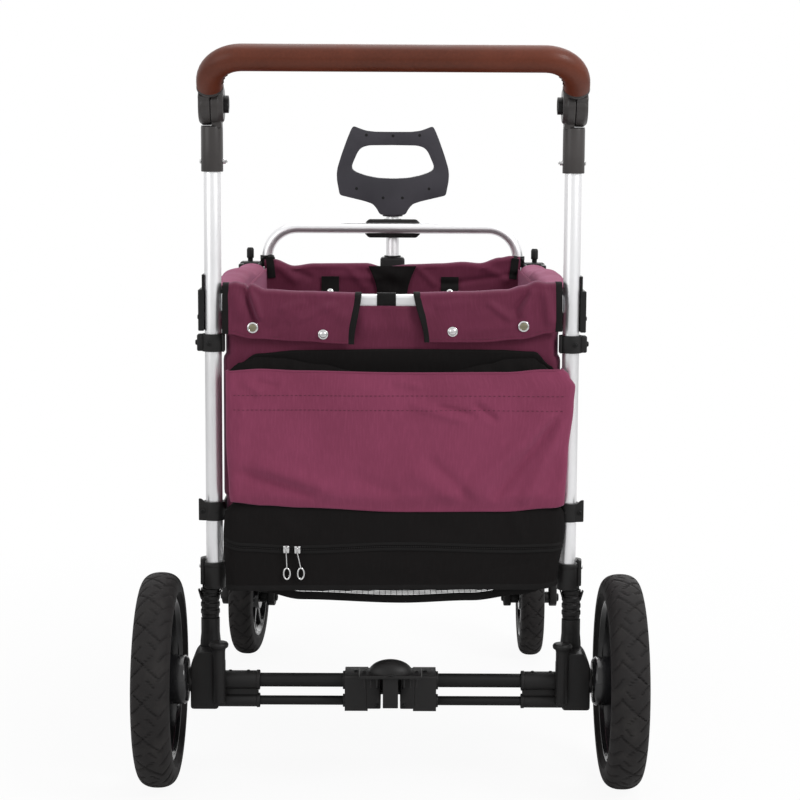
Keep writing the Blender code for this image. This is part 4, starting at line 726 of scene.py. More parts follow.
@dataclass(frozen=True)
class Finish:
    """A surface finish, with the record's slot that it stands for."""

    slot: str
    colour: tuple[float, float, float]
    roughness: float
    grain: Grain
    metallic: float = 0.0
    worn: tuple[float, float, float] | None = None
    scale: float = 900.0
    strength: float = 0.25
    depth: float = 0.0003
    coat: float = 0.0
    sheen: float = 0.0
    sheen_tint: tuple[float, float, float] = (1.0, 1.0, 1.0)
    mapping: str = "UV"
    specular: float = 0.35

    def material(self, name: str) -> bpy.types.Material:
        """Make the finish's material.

        Args:
            name: of the material.

        Returns:
            The material.
        """
        desk = NodeDesk(name)
        shader = desk.shader
        shader.inputs["Metallic"].default_value = self.metallic
        shader.inputs["Specular IOR Level"].default_value = self.specular
        shader.inputs["Coat Weight"].default_value = self.coat
        shader.inputs["Coat Roughness"].default_value = 0.12
        shader.inputs["Sheen Weight"].default_value = self.sheen
        shader.inputs["Sheen Roughness"].default_value = 0.45
        shader.inputs["Sheen Tint"].default_value = (*self.sheen_tint, 1.0)
        paint = {
            Grain.MOULDED: self._moulded,
            Grain.COATED: self._moulded,
            Grain.BRUSHED: self._brushed,
            Grain.WOVEN: self._woven,
            Grain.HIDE: self._hide,
            Grain.RUBBER: self._rubber}[self.grain]
        paint(desk)
        return desk.material

    def _second(self) -> tuple[float, float, float]:
        """The lighter colour of the finish's variation."""
        return self.worn or tuple(min(1.0, part * 1.35) for part in self.colour)

    def _moulded(self, desk: NodeDesk) -> None:
        """Fine grain with faint clouds of sheen and lighter rubbed edges.

        Args:
            desk: the material's nodes.
        """
        place = desk.where("Object")
        clouds = desk.cloud(place, 14.0)
        edge = desk.node("NewGeometry").outputs["Pointiness"]
        rubbed = desk.ramp(edge, 0.52, 0.62, 0.0, 0.7)
        share = desk.sum_of(desk.ramp(clouds, 0.35, 0.75, 0.0, 0.45), rubbed)
        desk.feed(desk.shader.inputs["Base Color"], desk.blend(share, self.colour, self._second()))
        rough = desk.ramp(clouds, 0.3, 0.7, self.roughness - 0.06, self.roughness + 0.08)
        desk.feed(desk.shader.inputs["Roughness"], rough)
        desk.relief(desk.cloud(place, self.scale, 2.0), self.strength, self.depth)

    def _brushed(self, desk: NodeDesk) -> None:
        """Drawn and anodised metal: fine lines along its height.

        Args:
            desk: the material's nodes.
        """
        lines = desk.cloud(desk.where("Object", (1.0, 1.0, 0.02)), self.scale, 4.0)
        clouds = desk.cloud(desk.where("Object"), 22.0)
        desk.feed(desk.shader.inputs["Base Color"], desk.blend(clouds, self.colour, self._second()))
        rough = desk.sum_of(
            desk.ramp(lines, 0.3, 0.7, self.roughness - 0.05, self.roughness + 0.05),
            desk.ramp(clouds, 0.3, 0.8, 0.0, 0.06))
        desk.feed(desk.shader.inputs["Roughness"], rough)
        desk.relief(lines, self.strength, self.depth)

    def _woven(self, desk: NodeDesk) -> None:
        """Plain weave in the cloth's own coordinates, with slubs and uneven dye.

        Args:
            desk: the material's nodes.
        """
        place = desk.where(self.mapping)
        yarns = []
        for way in ("X", "Y"):
            wave = desk.node(
                "TexWave", Vector=place, Scale=self.scale, Distortion=0.6, Detail=2.0,
                bands_direction=way)
            wave.inputs["Detail Scale"].default_value = 0.3
            yarns.append(wave.outputs["Fac"])
        weave = desk.sum_of(*yarns, "MULTIPLY")
        slubs = desk.cloud(desk.where(self.mapping, (1.0, 0.12, 1.0)), 420.0, 2.0)
        dye = desk.cloud(place, 9.0, 4.0)
        dark = tuple(part * 0.72 for part in self.colour)
        thread = desk.blend(desk.ramp(weave, 0.0, 0.7, 0.0, 1.0), dark, self.colour)
        share = desk.sum_of(
            desk.ramp(slubs, 0.45, 0.75, 0.0, 0.22), desk.ramp(dye, 0.3, 0.75, 0.0, 0.38))
        desk.feed(desk.shader.inputs["Base Color"], desk.blend(share, thread, self._second()))
        desk.feed(
            desk.shader.inputs["Roughness"],
            desk.ramp(dye, 0.3, 0.7, self.roughness - 0.05, self.roughness + 0.05))
        desk.relief(desk.sum_of(weave, desk.ramp(slubs, 0.3, 0.8, 0.0, 0.5)), self.strength, self.depth)

    def _hide(self, desk: NodeDesk) -> None:
        """Leather: pebbled grain, pores and warm, rubbed patches.

        Args:
            desk: the material's nodes.
        """
        place = desk.where("Object")
        cells = desk.node("TexVoronoi", Vector=place, Scale=self.scale, feature="SMOOTH_F1")
        pebbles = cells.outputs["Distance"]
        clouds = desk.cloud(place, 16.0, 5.0)
        fine = desk.cloud(place, 260.0, 4.0)
        share = desk.sum_of(desk.ramp(clouds, 0.35, 0.7, 0.0, 0.7), desk.ramp(fine, 0.4, 0.8, 0.0, 0.4))
        desk.feed(desk.shader.inputs["Base Color"], desk.blend(share, self.colour, self._second()))
        desk.feed(
            desk.shader.inputs["Roughness"],
            desk.ramp(clouds, 0.3, 0.7, self.roughness - 0.06, self.roughness + 0.10))
        desk.relief(desk.sum_of(pebbles, fine), self.strength, self.depth)

    def _rubber(self, desk: NodeDesk) -> None:
        """Matt rubber with a bloom of dust.

        Args:
            desk: the material's nodes.
        """
        place = desk.where("Object")
        dust = desk.cloud(place, 38.0, 6.0)
        share = desk.ramp(dust, 0.5, 0.8, 0.0, 0.8)
        desk.feed(desk.shader.inputs["Base Color"], desk.blend(share, self.colour, self._second()))
        desk.feed(
            desk.shader.inputs["Roughness"],
            desk.ramp(dust, 0.3, 0.7, self.roughness - 0.08, self.roughness + 0.05))
        desk.relief(desk.cloud(place, self.scale, 3.0), self.strength, self.depth)


FINISHES = {
    "anodised_tube": Finish(
        "silver_tube", (0.80, 0.80, 0.81), 0.32, Grain.BRUSHED, metallic=0.80, worn=(0.87, 0.87, 0.88),
        scale=1800.0, strength=0.06, depth=0.0001),
    "clamp_plastic": Finish(
        "black_plastic", srgb(19, 18, 18), 0.46, Grain.MOULDED, specular=0.26, worn=srgb(34, 33, 33),
        scale=2400.0, strength=0.12, depth=0.0002),
    "grip_moulding": Finish(
        "grip_plastic", srgb(56, 55, 61), 0.44, Grain.MOULDED, worn=srgb(78, 76, 83), scale=2600.0,
        strength=0.15, depth=0.0002),
    "powder_coat": Finish(
        "black_steel", srgb(16, 16, 16), 0.44, Grain.COATED, specular=0.20, worn=srgb(28, 28, 28),
        scale=1700.0, strength=0.16, depth=0.0002),
    "sleeve_satin": Finish(
        "sleeve_plastic", srgb(54, 51, 50), 0.38, Grain.MOULDED, worn=srgb(78, 74, 73), scale=1800.0,
        strength=0.08, depth=0.0002, coat=0.10),
    "brown_hide": Finish(
        "leather", srgb(84, 36, 18), 0.42, Grain.HIDE, worn=srgb(104, 48, 29), scale=900.0,
        strength=0.16, depth=0.0003, coat=0.06, specular=0.28),
    "tyre": Finish(
        "tyre_rubber", srgb(33, 31, 31), 0.74, Grain.RUBBER, worn=srgb(52, 50, 49), scale=1500.0,
        strength=0.25, depth=0.0003, specular=0.22),
    "gloss_rim": Finish(
        "rim_plastic", srgb(20, 20, 21), 0.16, Grain.MOULDED, worn=srgb(34, 34, 36), scale=500.0,
        strength=0.03, depth=0.0001, coat=0.5),
    "maroon_cloth": Finish(
        "maroon_fabric", srgb(138, 62, 90), 0.80, Grain.WOVEN, worn=srgb(155, 75, 106), scale=260.0,
        strength=0.30, depth=0.0003, sheen=0.28, sheen_tint=(1.0, 0.55, 0.80), specular=0.15),
    "black_cloth": Finish(
        "black_fabric", srgb(24, 22, 22), 0.88, Grain.WOVEN, worn=srgb(33, 31, 31), scale=260.0,
        strength=0.30, depth=0.0003, specular=0.10),
    "black_webbing": Finish(
        "black_fabric", srgb(21, 20, 20), 0.82, Grain.RUBBER, worn=srgb(36, 34, 34), scale=1100.0,
        strength=0.5, depth=0.0005, specular=0.15),
    "binding_thread": Finish("maroon_fabric", srgb(92, 40, 60), 0.8, Grain.RUBBER, scale=900.0),
    "hide_thread": Finish("leather", srgb(70, 34, 22), 0.7, Grain.RUBBER, scale=900.0),
    "floor_cover": Finish(
        "board", srgb(52, 50, 52), 0.85, Grain.WOVEN, worn=srgb(70, 68, 70), scale=180.0, strength=0.4,
        depth=0.0004, mapping="Object"),
    # The maroon fabric again, its colour darkened: painted shade for the rear wall, its flaps and the
    # front wall.
    "shaded_maroon_cloth": Finish(
        "maroon_fabric", srgb(104, 41, 64), 0.76, Grain.WOVEN, worn=srgb(122, 54, 82), scale=260.0,
        strength=0.30, depth=0.0003, sheen=0.24, sheen_tint=(1.0, 0.55, 0.80), specular=0.18),
    "net_cord": Finish(
        "black_fabric", srgb(30, 29, 29), 0.75, Grain.RUBBER, worn=srgb(44, 42, 42), scale=1200.0,
        strength=0.2, depth=0.0002),
    "chrome": Finish(
        "silver_tube", (0.55, 0.55, 0.55), 0.12, Grain.BRUSHED, metallic=1.0, worn=(0.66, 0.66, 0.66),
        scale=600.0, strength=0.03, depth=0.0001),
    "snap_cap": Finish(
        "silver_tube", srgb(120, 116, 96), 0.34, Grain.BRUSHED, metallic=0.7, worn=srgb(138, 134, 112),
        scale=700.0, strength=0.05, depth=0.0001)}


class Workshop:
    """Makes the pieces, gives them their finish and hangs them on their bodies."""

    def __init__(self) -> None:
        """Open the collection that the pieces go in, and make the finishes' materials."""
        self.collection = bpy.data.collections.new("wagon_looks")
        bpy.context.scene.collection.children.link(self.collection)
        self.materials = {name: finish.material(name) for name, finish in FINISHES.items()}

    def mesh_object(
            self, name: str, shapes: Iterable[bmesh.types.BMesh], turn_out: bool,
            angle: float) -> bpy.types.Object:
        """Join shapes into one mesh object with smooth round faces.

        Args:
            name: of the object.
            shapes: what it is made of.
            turn_out: whether the faces are turned outwards.
            angle: the least angle at which an edge stays crisp.

        Returns:
            The object.
        """
        whole = bmesh.new()
        whole.loops.layers.uv.new("UVMap")
        for shape in shapes:
            mesh = bpy.data.meshes.new("shape")
            if turn_out:
                bmesh.ops.recalc_face_normals(shape, faces=shape.faces)
            shape.to_mesh(mesh)
            shape.free()
            whole.from_mesh(mesh)
            bpy.data.meshes.remove(mesh)
        mesh = bpy.data.meshes.new(name)
        whole.to_mesh(mesh)
        whole.free()
        mesh.shade_smooth()
        mesh.set_sharp_from_angle(angle=math.radians(angle))
        obj = bpy.data.objects.new(name, mesh)
        self.collection.objects.link(obj)
        return obj

    def piece(
            self, name: str, finish: str, body: str, *shapes: bmesh.types.BMesh,
            replaces: Sequence[str] = (), angle: float = 38.0) -> bpy.types.Object:
        """A hard piece.

        Args:
            name: its name.
            finish: which of the finishes it has.
            body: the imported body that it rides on.
            shapes: the closed shapes that it is made of.
            replaces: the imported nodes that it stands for.
            angle: the least angle at which an edge stays crisp.

        Returns:
            The object.
        """
        obj = self.mesh_object(name, shapes, True, angle)
        return self.hang(obj, finish, body, replaces)

    def sheet(
            self, name: str, finish: str, body: str, part: bmesh.types.BMesh, flat: Point,
            thickness: float, held: str, rests_on: Sequence[str], replaces: Sequence[str] = (),
            offset: float = -1.0, trims: Sequence = ()) -> bpy.types.Object:
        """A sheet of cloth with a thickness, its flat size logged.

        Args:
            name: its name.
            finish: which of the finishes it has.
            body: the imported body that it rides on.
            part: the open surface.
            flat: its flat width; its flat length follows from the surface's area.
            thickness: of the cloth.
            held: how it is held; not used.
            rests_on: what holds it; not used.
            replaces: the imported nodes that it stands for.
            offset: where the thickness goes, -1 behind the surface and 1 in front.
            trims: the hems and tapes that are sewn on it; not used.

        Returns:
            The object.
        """
        area = sum(face.calc_area() for face in part.faces)
        obj = self.mesh_object(name, [part], False, 60.0)
        solid = obj.modifiers.new("thickness", "SOLIDIFY")
        solid.thickness = thickness
        solid.offset = offset
        solid.use_even_offset = False
        self.hang(obj, finish, body, replaces)
        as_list(rests_on)
        LOG.info("sheet %s, cut %.3f by %.3f m", name, flat, area / flat)
        return obj

    def hang(
            self, obj: bpy.types.Object, finish: str, body: str,
            replaces: Sequence[str]) -> bpy.types.Object:
        """Give an object its finish, its body and the nodes that it stands for.

        Args:
            obj: the object.
            finish: which of the finishes.
            body: the body that it rides on.
            replaces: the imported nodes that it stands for.

        Returns:
            The same object.
        """
        obj.data.materials.clear()
        obj.data.materials.append(self.materials[finish])
        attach(obj, body)
        if replaces:
            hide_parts(*replaces)
        return obj

    @staticmethod
    def squash_with_fold(keep: float, *pieces: bpy.types.Object, anchor_y: float | None = None) -> None:
        """Give each piece its own copy of its mesh.

        Args:
            keep: the share of their depth that is left; not used.
            pieces: the pieces.
            anchor_y: the y that stays, if not the rear frame's; not used.
        """
        for piece in pieces:
            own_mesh(piece)

    def repaint(self, finish: str, *nodes: str) -> None:
        """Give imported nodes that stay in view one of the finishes.

        Args:
            finish: which of the finishes.
            nodes: their names.
        """
        for name in nodes:
            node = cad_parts[name]
            node.data.materials.clear()
            node.data.materials.append(self.materials[finish])


@dataclass
class Assembly:
    """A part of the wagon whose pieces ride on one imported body, unless they say otherwise."""

    shop: Workshop
    body: str = "rear_frame"

    def fit(
            self, name: str, finish: str, *shapes: bmesh.types.BMesh, replaces: Sequence[str] = (),
            angle: float = 38.0) -> bpy.types.Object:
        """Make a hard piece on this part's own body; see Workshop.piece."""
        return self.shop.piece(name, finish, self.body, *shapes, replaces=replaces, angle=angle)


@dataclass
class RearFrame(Assembly):
    """Two uprights with their clamps, the crossbar, the leg sockets and the leg castings."""

    post_wall: float = 0.0016
    clamp_r: float = 0.0150
    clamp_wall: float = 0.0037
    tab_depth: float = 0.0042
    horn: float = 0.0052
    screw_r: float = 0.0024
    socket_r: float = 0.0140
    leg_x: float = 0.2420
    leg_setback: float = 0.026
    leg_r: float = 0.0105
    shroud_r: float = 0.0125
    latch_r: float = 0.0118
    fin_r: float = 0.0128
    fins: int = 4
    casting_x: tuple[float, float] = (0.2285, 0.2655)
    stem_x: float = 0.2272
    stem_r: float = 0.0086
    stem_cap_r: float = 0.01325
    axle_sleeve_r: float = 0.01235
    sleeve_end_x: float = 0.174
    casting_rise: tuple[float, float] = (0.0406, 0.0791)
    screws_x: tuple[float, float] = (0.1895, 0.2135)
    stub_r: float = 0.006
    boss_r: float = 0.016

    def build(self) -> None:
        """Make both sides and what joins them."""
        self.shop.repaint("anodised_tube", "rear_crossbar")
        self.shop.repaint("powder_coat", "rail_bracket_left", "rail_bracket_right")
        for side, word in SIDES.items():
            self.upright(side, word)
            self.upper_clamp(side, word)
            self.lower_clamp(side, word)
            self.bracket_bolts(side, word)
            self.leg_socket(side, word)
            self.leg(side, word)
            self.leg_casting(side, word)
            self.latch(side, word)
        low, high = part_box("axle_tube")
        radius = (high.z - low.z) / 2
        axle = tube((low.x, REAR_Y, AXLE_Z), X_AXIS, high.x - low.x, radius, radius - 0.0016)
        self.fit("rear_axle_tube", "powder_coat", axle, replaces=["axle_tube"])

    def upright(self, side: int, word: str) -> None:
        """The bright tube from the leg socket to the handle sleeve.

        Args:
            side: -1 for the left side, 1 for the right.
            word: the side in words, for the names.
        """
        low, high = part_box(f"rear_upright_{word}")
        shape = tube(
            (side * POST_X, REAR_Y, low.z), Z_AXIS, high.z - low.z, POST_R, POST_R - self.post_wall,
            steps=64)
        self.fit(f"rear_post_{word}", "anodised_tube", shape, replaces=[f"rear_upright_{word}"])

    def collar(self, side: int, low: float, high: float) -> bmesh.types.BMesh:
        """A clamp's ring round the upright.

        Args:
            side: -1 for the left side, 1 for the right.
            low: its lower face.
            high: its upper face.

        Returns:
            The shape.
        """
        return tube(
            (side * POST_X, REAR_Y, low), Z_AXIS, high - low, self.clamp_r,
            self.clamp_r - self.clamp_wall, 0.0009, 64)

    def upper_clamp(self, side: int, word: str) -> None:
        """A ring with a flat cheek on its inner side and a bolted ear on its outer side.

        Args:
            side: -1 for the left side, 1 for the right.
            word: the side in words, for the names.
        """
        low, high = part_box(f"upper_clamp_{word}")
        post, back, z = side * POST_X, REAR_Y - self.clamp_r, (low.z + high.z) / 2
        ear_out = max(abs(low.x), abs(high.x))
        ear = box(
            (post + side * 0.0118, side * ear_out), (REAR_Y - 0.0075, REAR_Y + 0.0075),
            (low.z + 0.0005, high.z - 0.0005), 0.0022, 4)
        cheek = box(
            (post - side * 0.0152, post - side * 0.0117), (REAR_Y - 0.0110, REAR_Y + 0.0060),
            (low.z, high.z), 0.0010)
        seat = rod(
            (post + side * 0.0045, back + 0.0035, z), (post + side * 0.0045, back - 0.0006, z), 0.0042,
            sides=32, rounding=0.0004)
        self.fit(
            f"canopy_clamp_{word}", "clamp_plastic", self.collar(side, low.z, high.z), ear, cheek, seat,
            replaces=[f"upper_clamp_{word}"])
        screws = hex_bolt((post + side * 0.0045, back - 0.0006, z), (0, -1, 0), self.screw_r, 0.0012)
        screws += hex_bolt((side * ear_out, REAR_Y, z), (side, 0, 0), 0.0034, 0.0022)
        self.fit(f"canopy_clamp_screws_{word}", "powder_coat", *screws)

    def lower_clamp(self, side: int, word: str) -> None:
        """A ring with a horned tab behind and the seat of the floor's pivot in front.

        Args:
            side: -1 for the left side, 1 for the right.
            word: the side in words, for the names.
        """
        low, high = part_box(f"lower_clamp_{word}")
        post, z = side * POST_X, (low.z + high.z) / 2
        outer = max(abs(low.x), abs(high.x))
        tab = [
            (side * 0.2365, low.z), (side * outer, low.z + 0.0006), (side * outer, high.z + self.horn),
            (side * (outer - 0.0040), high.z + self.horn - 0.0008), (side * (outer - 0.0086), high.z),
            (side * 0.2365, high.z)]
        tab_y = REAR_Y - self.clamp_r + self.tab_depth / 2 + 0.0028
        plate = slab([soften(tab, 0.0014, 3)], self.tab_depth, (0, tab_y, 0), (0, -1, 0), 0.0007)
        ear = box(
            (post + side * 0.0118, side * outer), (REAR_Y - 0.006, REAR_Y + 0.022),
            (low.z + 0.003, high.z - 0.003), 0.0018)
        flange_x = POST_X - POST_R - 0.0005
        flange = box(
            (side * (flange_x - 0.0035), side * flange_x), (REAR_Y, high.y), (low.z, high.z), 0.0012)
        pin_y = REAR_Y + PIN_SETBACK
        pin = rod((side * FLOOR_PIN_X, pin_y, z), (side * (flange_x - 0.001), pin_y, z), 0.004)
        self.fit(
            f"floor_clamp_{word}", "clamp_plastic", self.collar(side, low.z, high.z), plate, ear,
            flange, pin, replaces=[f"lower_clamp_{word}"])
        screws = hex_bolt(
            (side * (outer - 0.0052), tab_y - self.tab_depth / 2, z + 0.001), (0, -1, 0), 0.0030,
            0.0018)
        screws += hex_bolt(
            (post - side * 0.0050, REAR_Y - self.clamp_r + 0.0008, z), (0, -1, 0), 0.0015, 0.0008)
        self.fit(f"floor_clamp_screws_{word}", "powder_coat", *screws)

    def bracket_bolts(self, side: int, word: str) -> None:
        """The bolt heads on the outer cheek of a rail's bracket.

        Args:
            side: -1 for the left side, 1 for the right.
            word: the side in words, for the names.
        """
        low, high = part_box(f"rail_bracket_{word}")
        outer = side * max(abs(low.x), abs(high.x))
        rail = middle(f"top_rail_rear_{word}").z
        bolts = hex_bolt((outer, REAR_Y + PIN_SETBACK, RAIL_PIN_Z), (side, 0, 0), 0.0046, 0.0030)
        bolts += hex_bolt((outer, REAR_Y + 0.006, rail - 0.018), (side, 0, 0), 0.0030, 0.0018)
        self.fit(f"rail_bracket_bolts_{word}", "powder_coat", *bolts)

    def leg_socket(self, side: int, word: str) -> None:
        """The cap on the upright's foot and the holder of the leg beside it.

        Args:
            side: -1 for the left side, 1 for the right.
            word: the side in words, for the names.
        """
        low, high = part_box(f"leg_socket_{word}")
        post, leg_y = side * POST_X, REAR_Y + self.leg_setback
        cap = spun(soften([
            (0.0112, low.z + 0.006), (0.0, low.z + 0.006), (0.0, low.z), (self.socket_r, low.z),
            (self.socket_r, high.z), (0.0112, high.z)], 0.0011, 3, closed=False), (post, REAR_Y, 0),
            closed=True)
        rim = tube(
            (post, REAR_Y, high.z - 0.0062), Z_AXIS, 0.0050, self.socket_r + 0.0006, 0.0125, 0.0006)
        holder = tube(
            (side * self.leg_x, leg_y, low.z), Z_AXIS, high.z - low.z, self.leg_r + 0.0023,
            self.leg_r + 0.0002, 0.0007)
        lid = rod(
            (side * self.leg_x, leg_y, high.z - 0.0028), (side * self.leg_x, leg_y, high.z + 0.0002),
            self.leg_r + 0.0012, sides=40, rounding=0.0009)
        bridge = box(
            (post - side * 0.006, post + side * 0.012), (REAR_Y + 0.002, leg_y - 0.003),
            (low.z + 0.002, high.z - 0.002), 0.001)
        hook = box(
            (post + side * 0.0135, post + side * 0.0188), (REAR_Y - 0.004, REAR_Y + 0.008),
            (low.z + 0.004, high.z + 0.004), 0.0016)
        self.fit(
            f"leg_cap_{word}", "clamp_plastic", cap, rim, holder, lid, bridge, hook,
            replaces=[f"leg_socket_{word}"])
        pin = hex_bolt(
            (post + side * 0.0188, REAR_Y + 0.002, high.z - 0.006), (side, 0, 0), 0.0028, 0.0016)
        self.fit(f"leg_cap_pin_{word}", "chrome", *pin)

    def leg(self, side: int, word: str) -> None:
        """The tube that the latch slides on.

        Args:
            side: -1 for the left side, 1 for the right.
            word: the side in words, for the names.
        """
        leg_y = REAR_Y + self.leg_setback
        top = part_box(f"axle_bracket_{word}")[1].z
        shape = tube(
            (side * self.leg_x, leg_y, AXLE_Z + 0.03), Z_AXIS, top - AXLE_Z - 0.03, self.leg_r,
            self.leg_r - 0.0018, steps=48)
        self.fit(f"leg_tube_{word}", "powder_coat", shape)

    def leg_casting(self, side: int, word: str) -> None:
        """The casting on the leg's foot: stub axle, capped stem and the sleeves of the axle.

        Args:
            side: -1 for the left side, 1 for the right.
            word: the side in words, for the names.
        """
        low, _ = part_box(f"axle_bracket_{word}")
        axle, rod_z = AXLE_Z, AXLE_Z - ROD_DROP
        top, shroud_top = (axle + rise for rise in self.casting_rise)
        inner, outer = self.casting_x
        leg_y = REAR_Y + self.leg_setback
        back, front = REAR_Y - 0.016, leg_y + self.shroud_r
        outline = [
            (side * x, z) for x, z in (
                (inner, low.z), (outer, low.z), (outer, top - 0.020), (outer - 0.0035, top - 0.008),
                (self.leg_x + self.shroud_r + 0.001, top), (self.leg_x - self.shroud_r, top),
                (inner, top - 0.014))]
        shapes = [slab(
            [soften(outline, 0.0045, 4)], front - back, (0, (back + front) / 2, 0), (0, -1, 0), 0.0022)]
        shapes.append(spun(soften([
            (self.leg_r - 0.0006, top - 0.018), (self.shroud_r + 0.0016, top - 0.018),
            (self.shroud_r + 0.0012, top + 0.006), (self.shroud_r, top + 0.018),
            (self.shroud_r, shroud_top), (self.leg_r - 0.0006, shroud_top)], 0.0014, 3),
            (side * self.leg_x, leg_y, 0)))
        stem_y, stem_top = REAR_Y - 0.021, axle + 0.0565
        cap = soften([
            (0.0, stem_top + 0.0004), (self.stem_cap_r - 0.002, stem_top - 0.0002),
            (self.stem_cap_r, stem_top - 0.003), (self.stem_cap_r - 0.0008, stem_top - 0.0068),
            (self.stem_r + 0.0008, stem_top - 0.0085), (self.stem_r, stem_top - 0.012),
            (self.stem_r, low.z + 0.012), (0.0, low.z + 0.012)], 0.0012, 3, closed=False)
        shapes.append(spun(cap, (side * self.stem_x, stem_y, 0), closed=False))
        shapes.append(box(
            (side * (self.stem_x - 0.0075), side * (self.stem_x + 0.0075)), (stem_y, REAR_Y),
            (low.z + 0.006, top - 0.012), 0.002))
        reach = inner + 0.010 - self.sleeve_end_x
        for z, radius, bore in ((axle, self.axle_sleeve_r, 0.0093), (rod_z, ROD_SLEEVE_R, ROD_BORE)):
            shapes.append(tube(
                (side * self.sleeve_end_x, REAR_Y, z), (side, 0, 0), reach, radius, bore, 0.0008))
            shapes.append(tube(
                (side * self.sleeve_end_x, REAR_Y, z), (side, 0, 0), 0.0045, radius + 0.0009, bore,
                0.0007))
        shapes.append(box(
            (side * (self.sleeve_end_x + 0.002), side * inner), (REAR_Y - 0.0030, REAR_Y + 0.0030),
            (rod_z, axle), 0.0008))
        shapes.append(rod(
            (side * (outer - 0.002), REAR_Y, axle), (side * 0.2686, REAR_Y, axle), self.boss_r,
            rounding=0.0008))
        shapes.append(rod((side * 0.2615, REAR_Y, axle), (side * 0.326, REAR_Y, axle), self.stub_r))
        self.fit(f"leg_casting_{word}", "clamp_plastic", *shapes, replaces=[f"axle_bracket_{word}"])
        screws = [
            spot for x in self.screws_x
            for spot in hex_bolt(
                (side * x, REAR_Y, axle + self.axle_sleeve_r - 0.0002), (0, 0, 1), 0.0022, 0.0010)]
        self.fit(f"leg_casting_screws_{word}", "powder_coat", *screws)

    def latch(self, side: int, word: str) -> None:
        """The finned collar that frees the leg, with the two thumb hooks on its rim.

        Args:
            side: -1 for the left side, 1 for the right.
            word: the side in words, for the names.
        """
        low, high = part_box(f"axle_latch_{word}")
        height = high.z - low.z
        pitch = height / self.fins
        outer = []
        for fin in range(self.fins):
            top = height - fin * pitch
            outer += [
                (self.fin_r, top - 0.0004), (self.fin_r, top - pitch * 0.55),
                (self.latch_r, top - pitch * 0.66), (self.latch_r, top - pitch * 0.94)]
        profile = outer[:-1] + [
            (self.latch_r, 0.0), (self.leg_r + 0.0004, 0.0), (self.leg_r + 0.0004, height)]
        leg_y = REAR_Y + self.leg_setback
        shapes = [spun(soften(profile, 0.0005, 2), (side * self.leg_x, leg_y, low.z))]
        for hand in (-1, 1):
            foot = (side * self.leg_x + hand * 0.0112, leg_y - 0.003, high.z - 0.013)
            tip = (side * self.leg_x + hand * 0.0150, leg_y - 0.004, high.z - 0.001)
            shapes.append(swept(
                [foot, tip], ribbon(0.0090, 0.0026), (hand, 0, 0),
                scales=lambda share: (1.0 - 0.35 * share, 1.0 - 0.2 * share)))
        self.shop.piece(
            f"leg_latch_{word}", "clamp_plastic", f"axle_latch_{word}", *shapes,
            replaces=[f"axle_latch_{word}"])


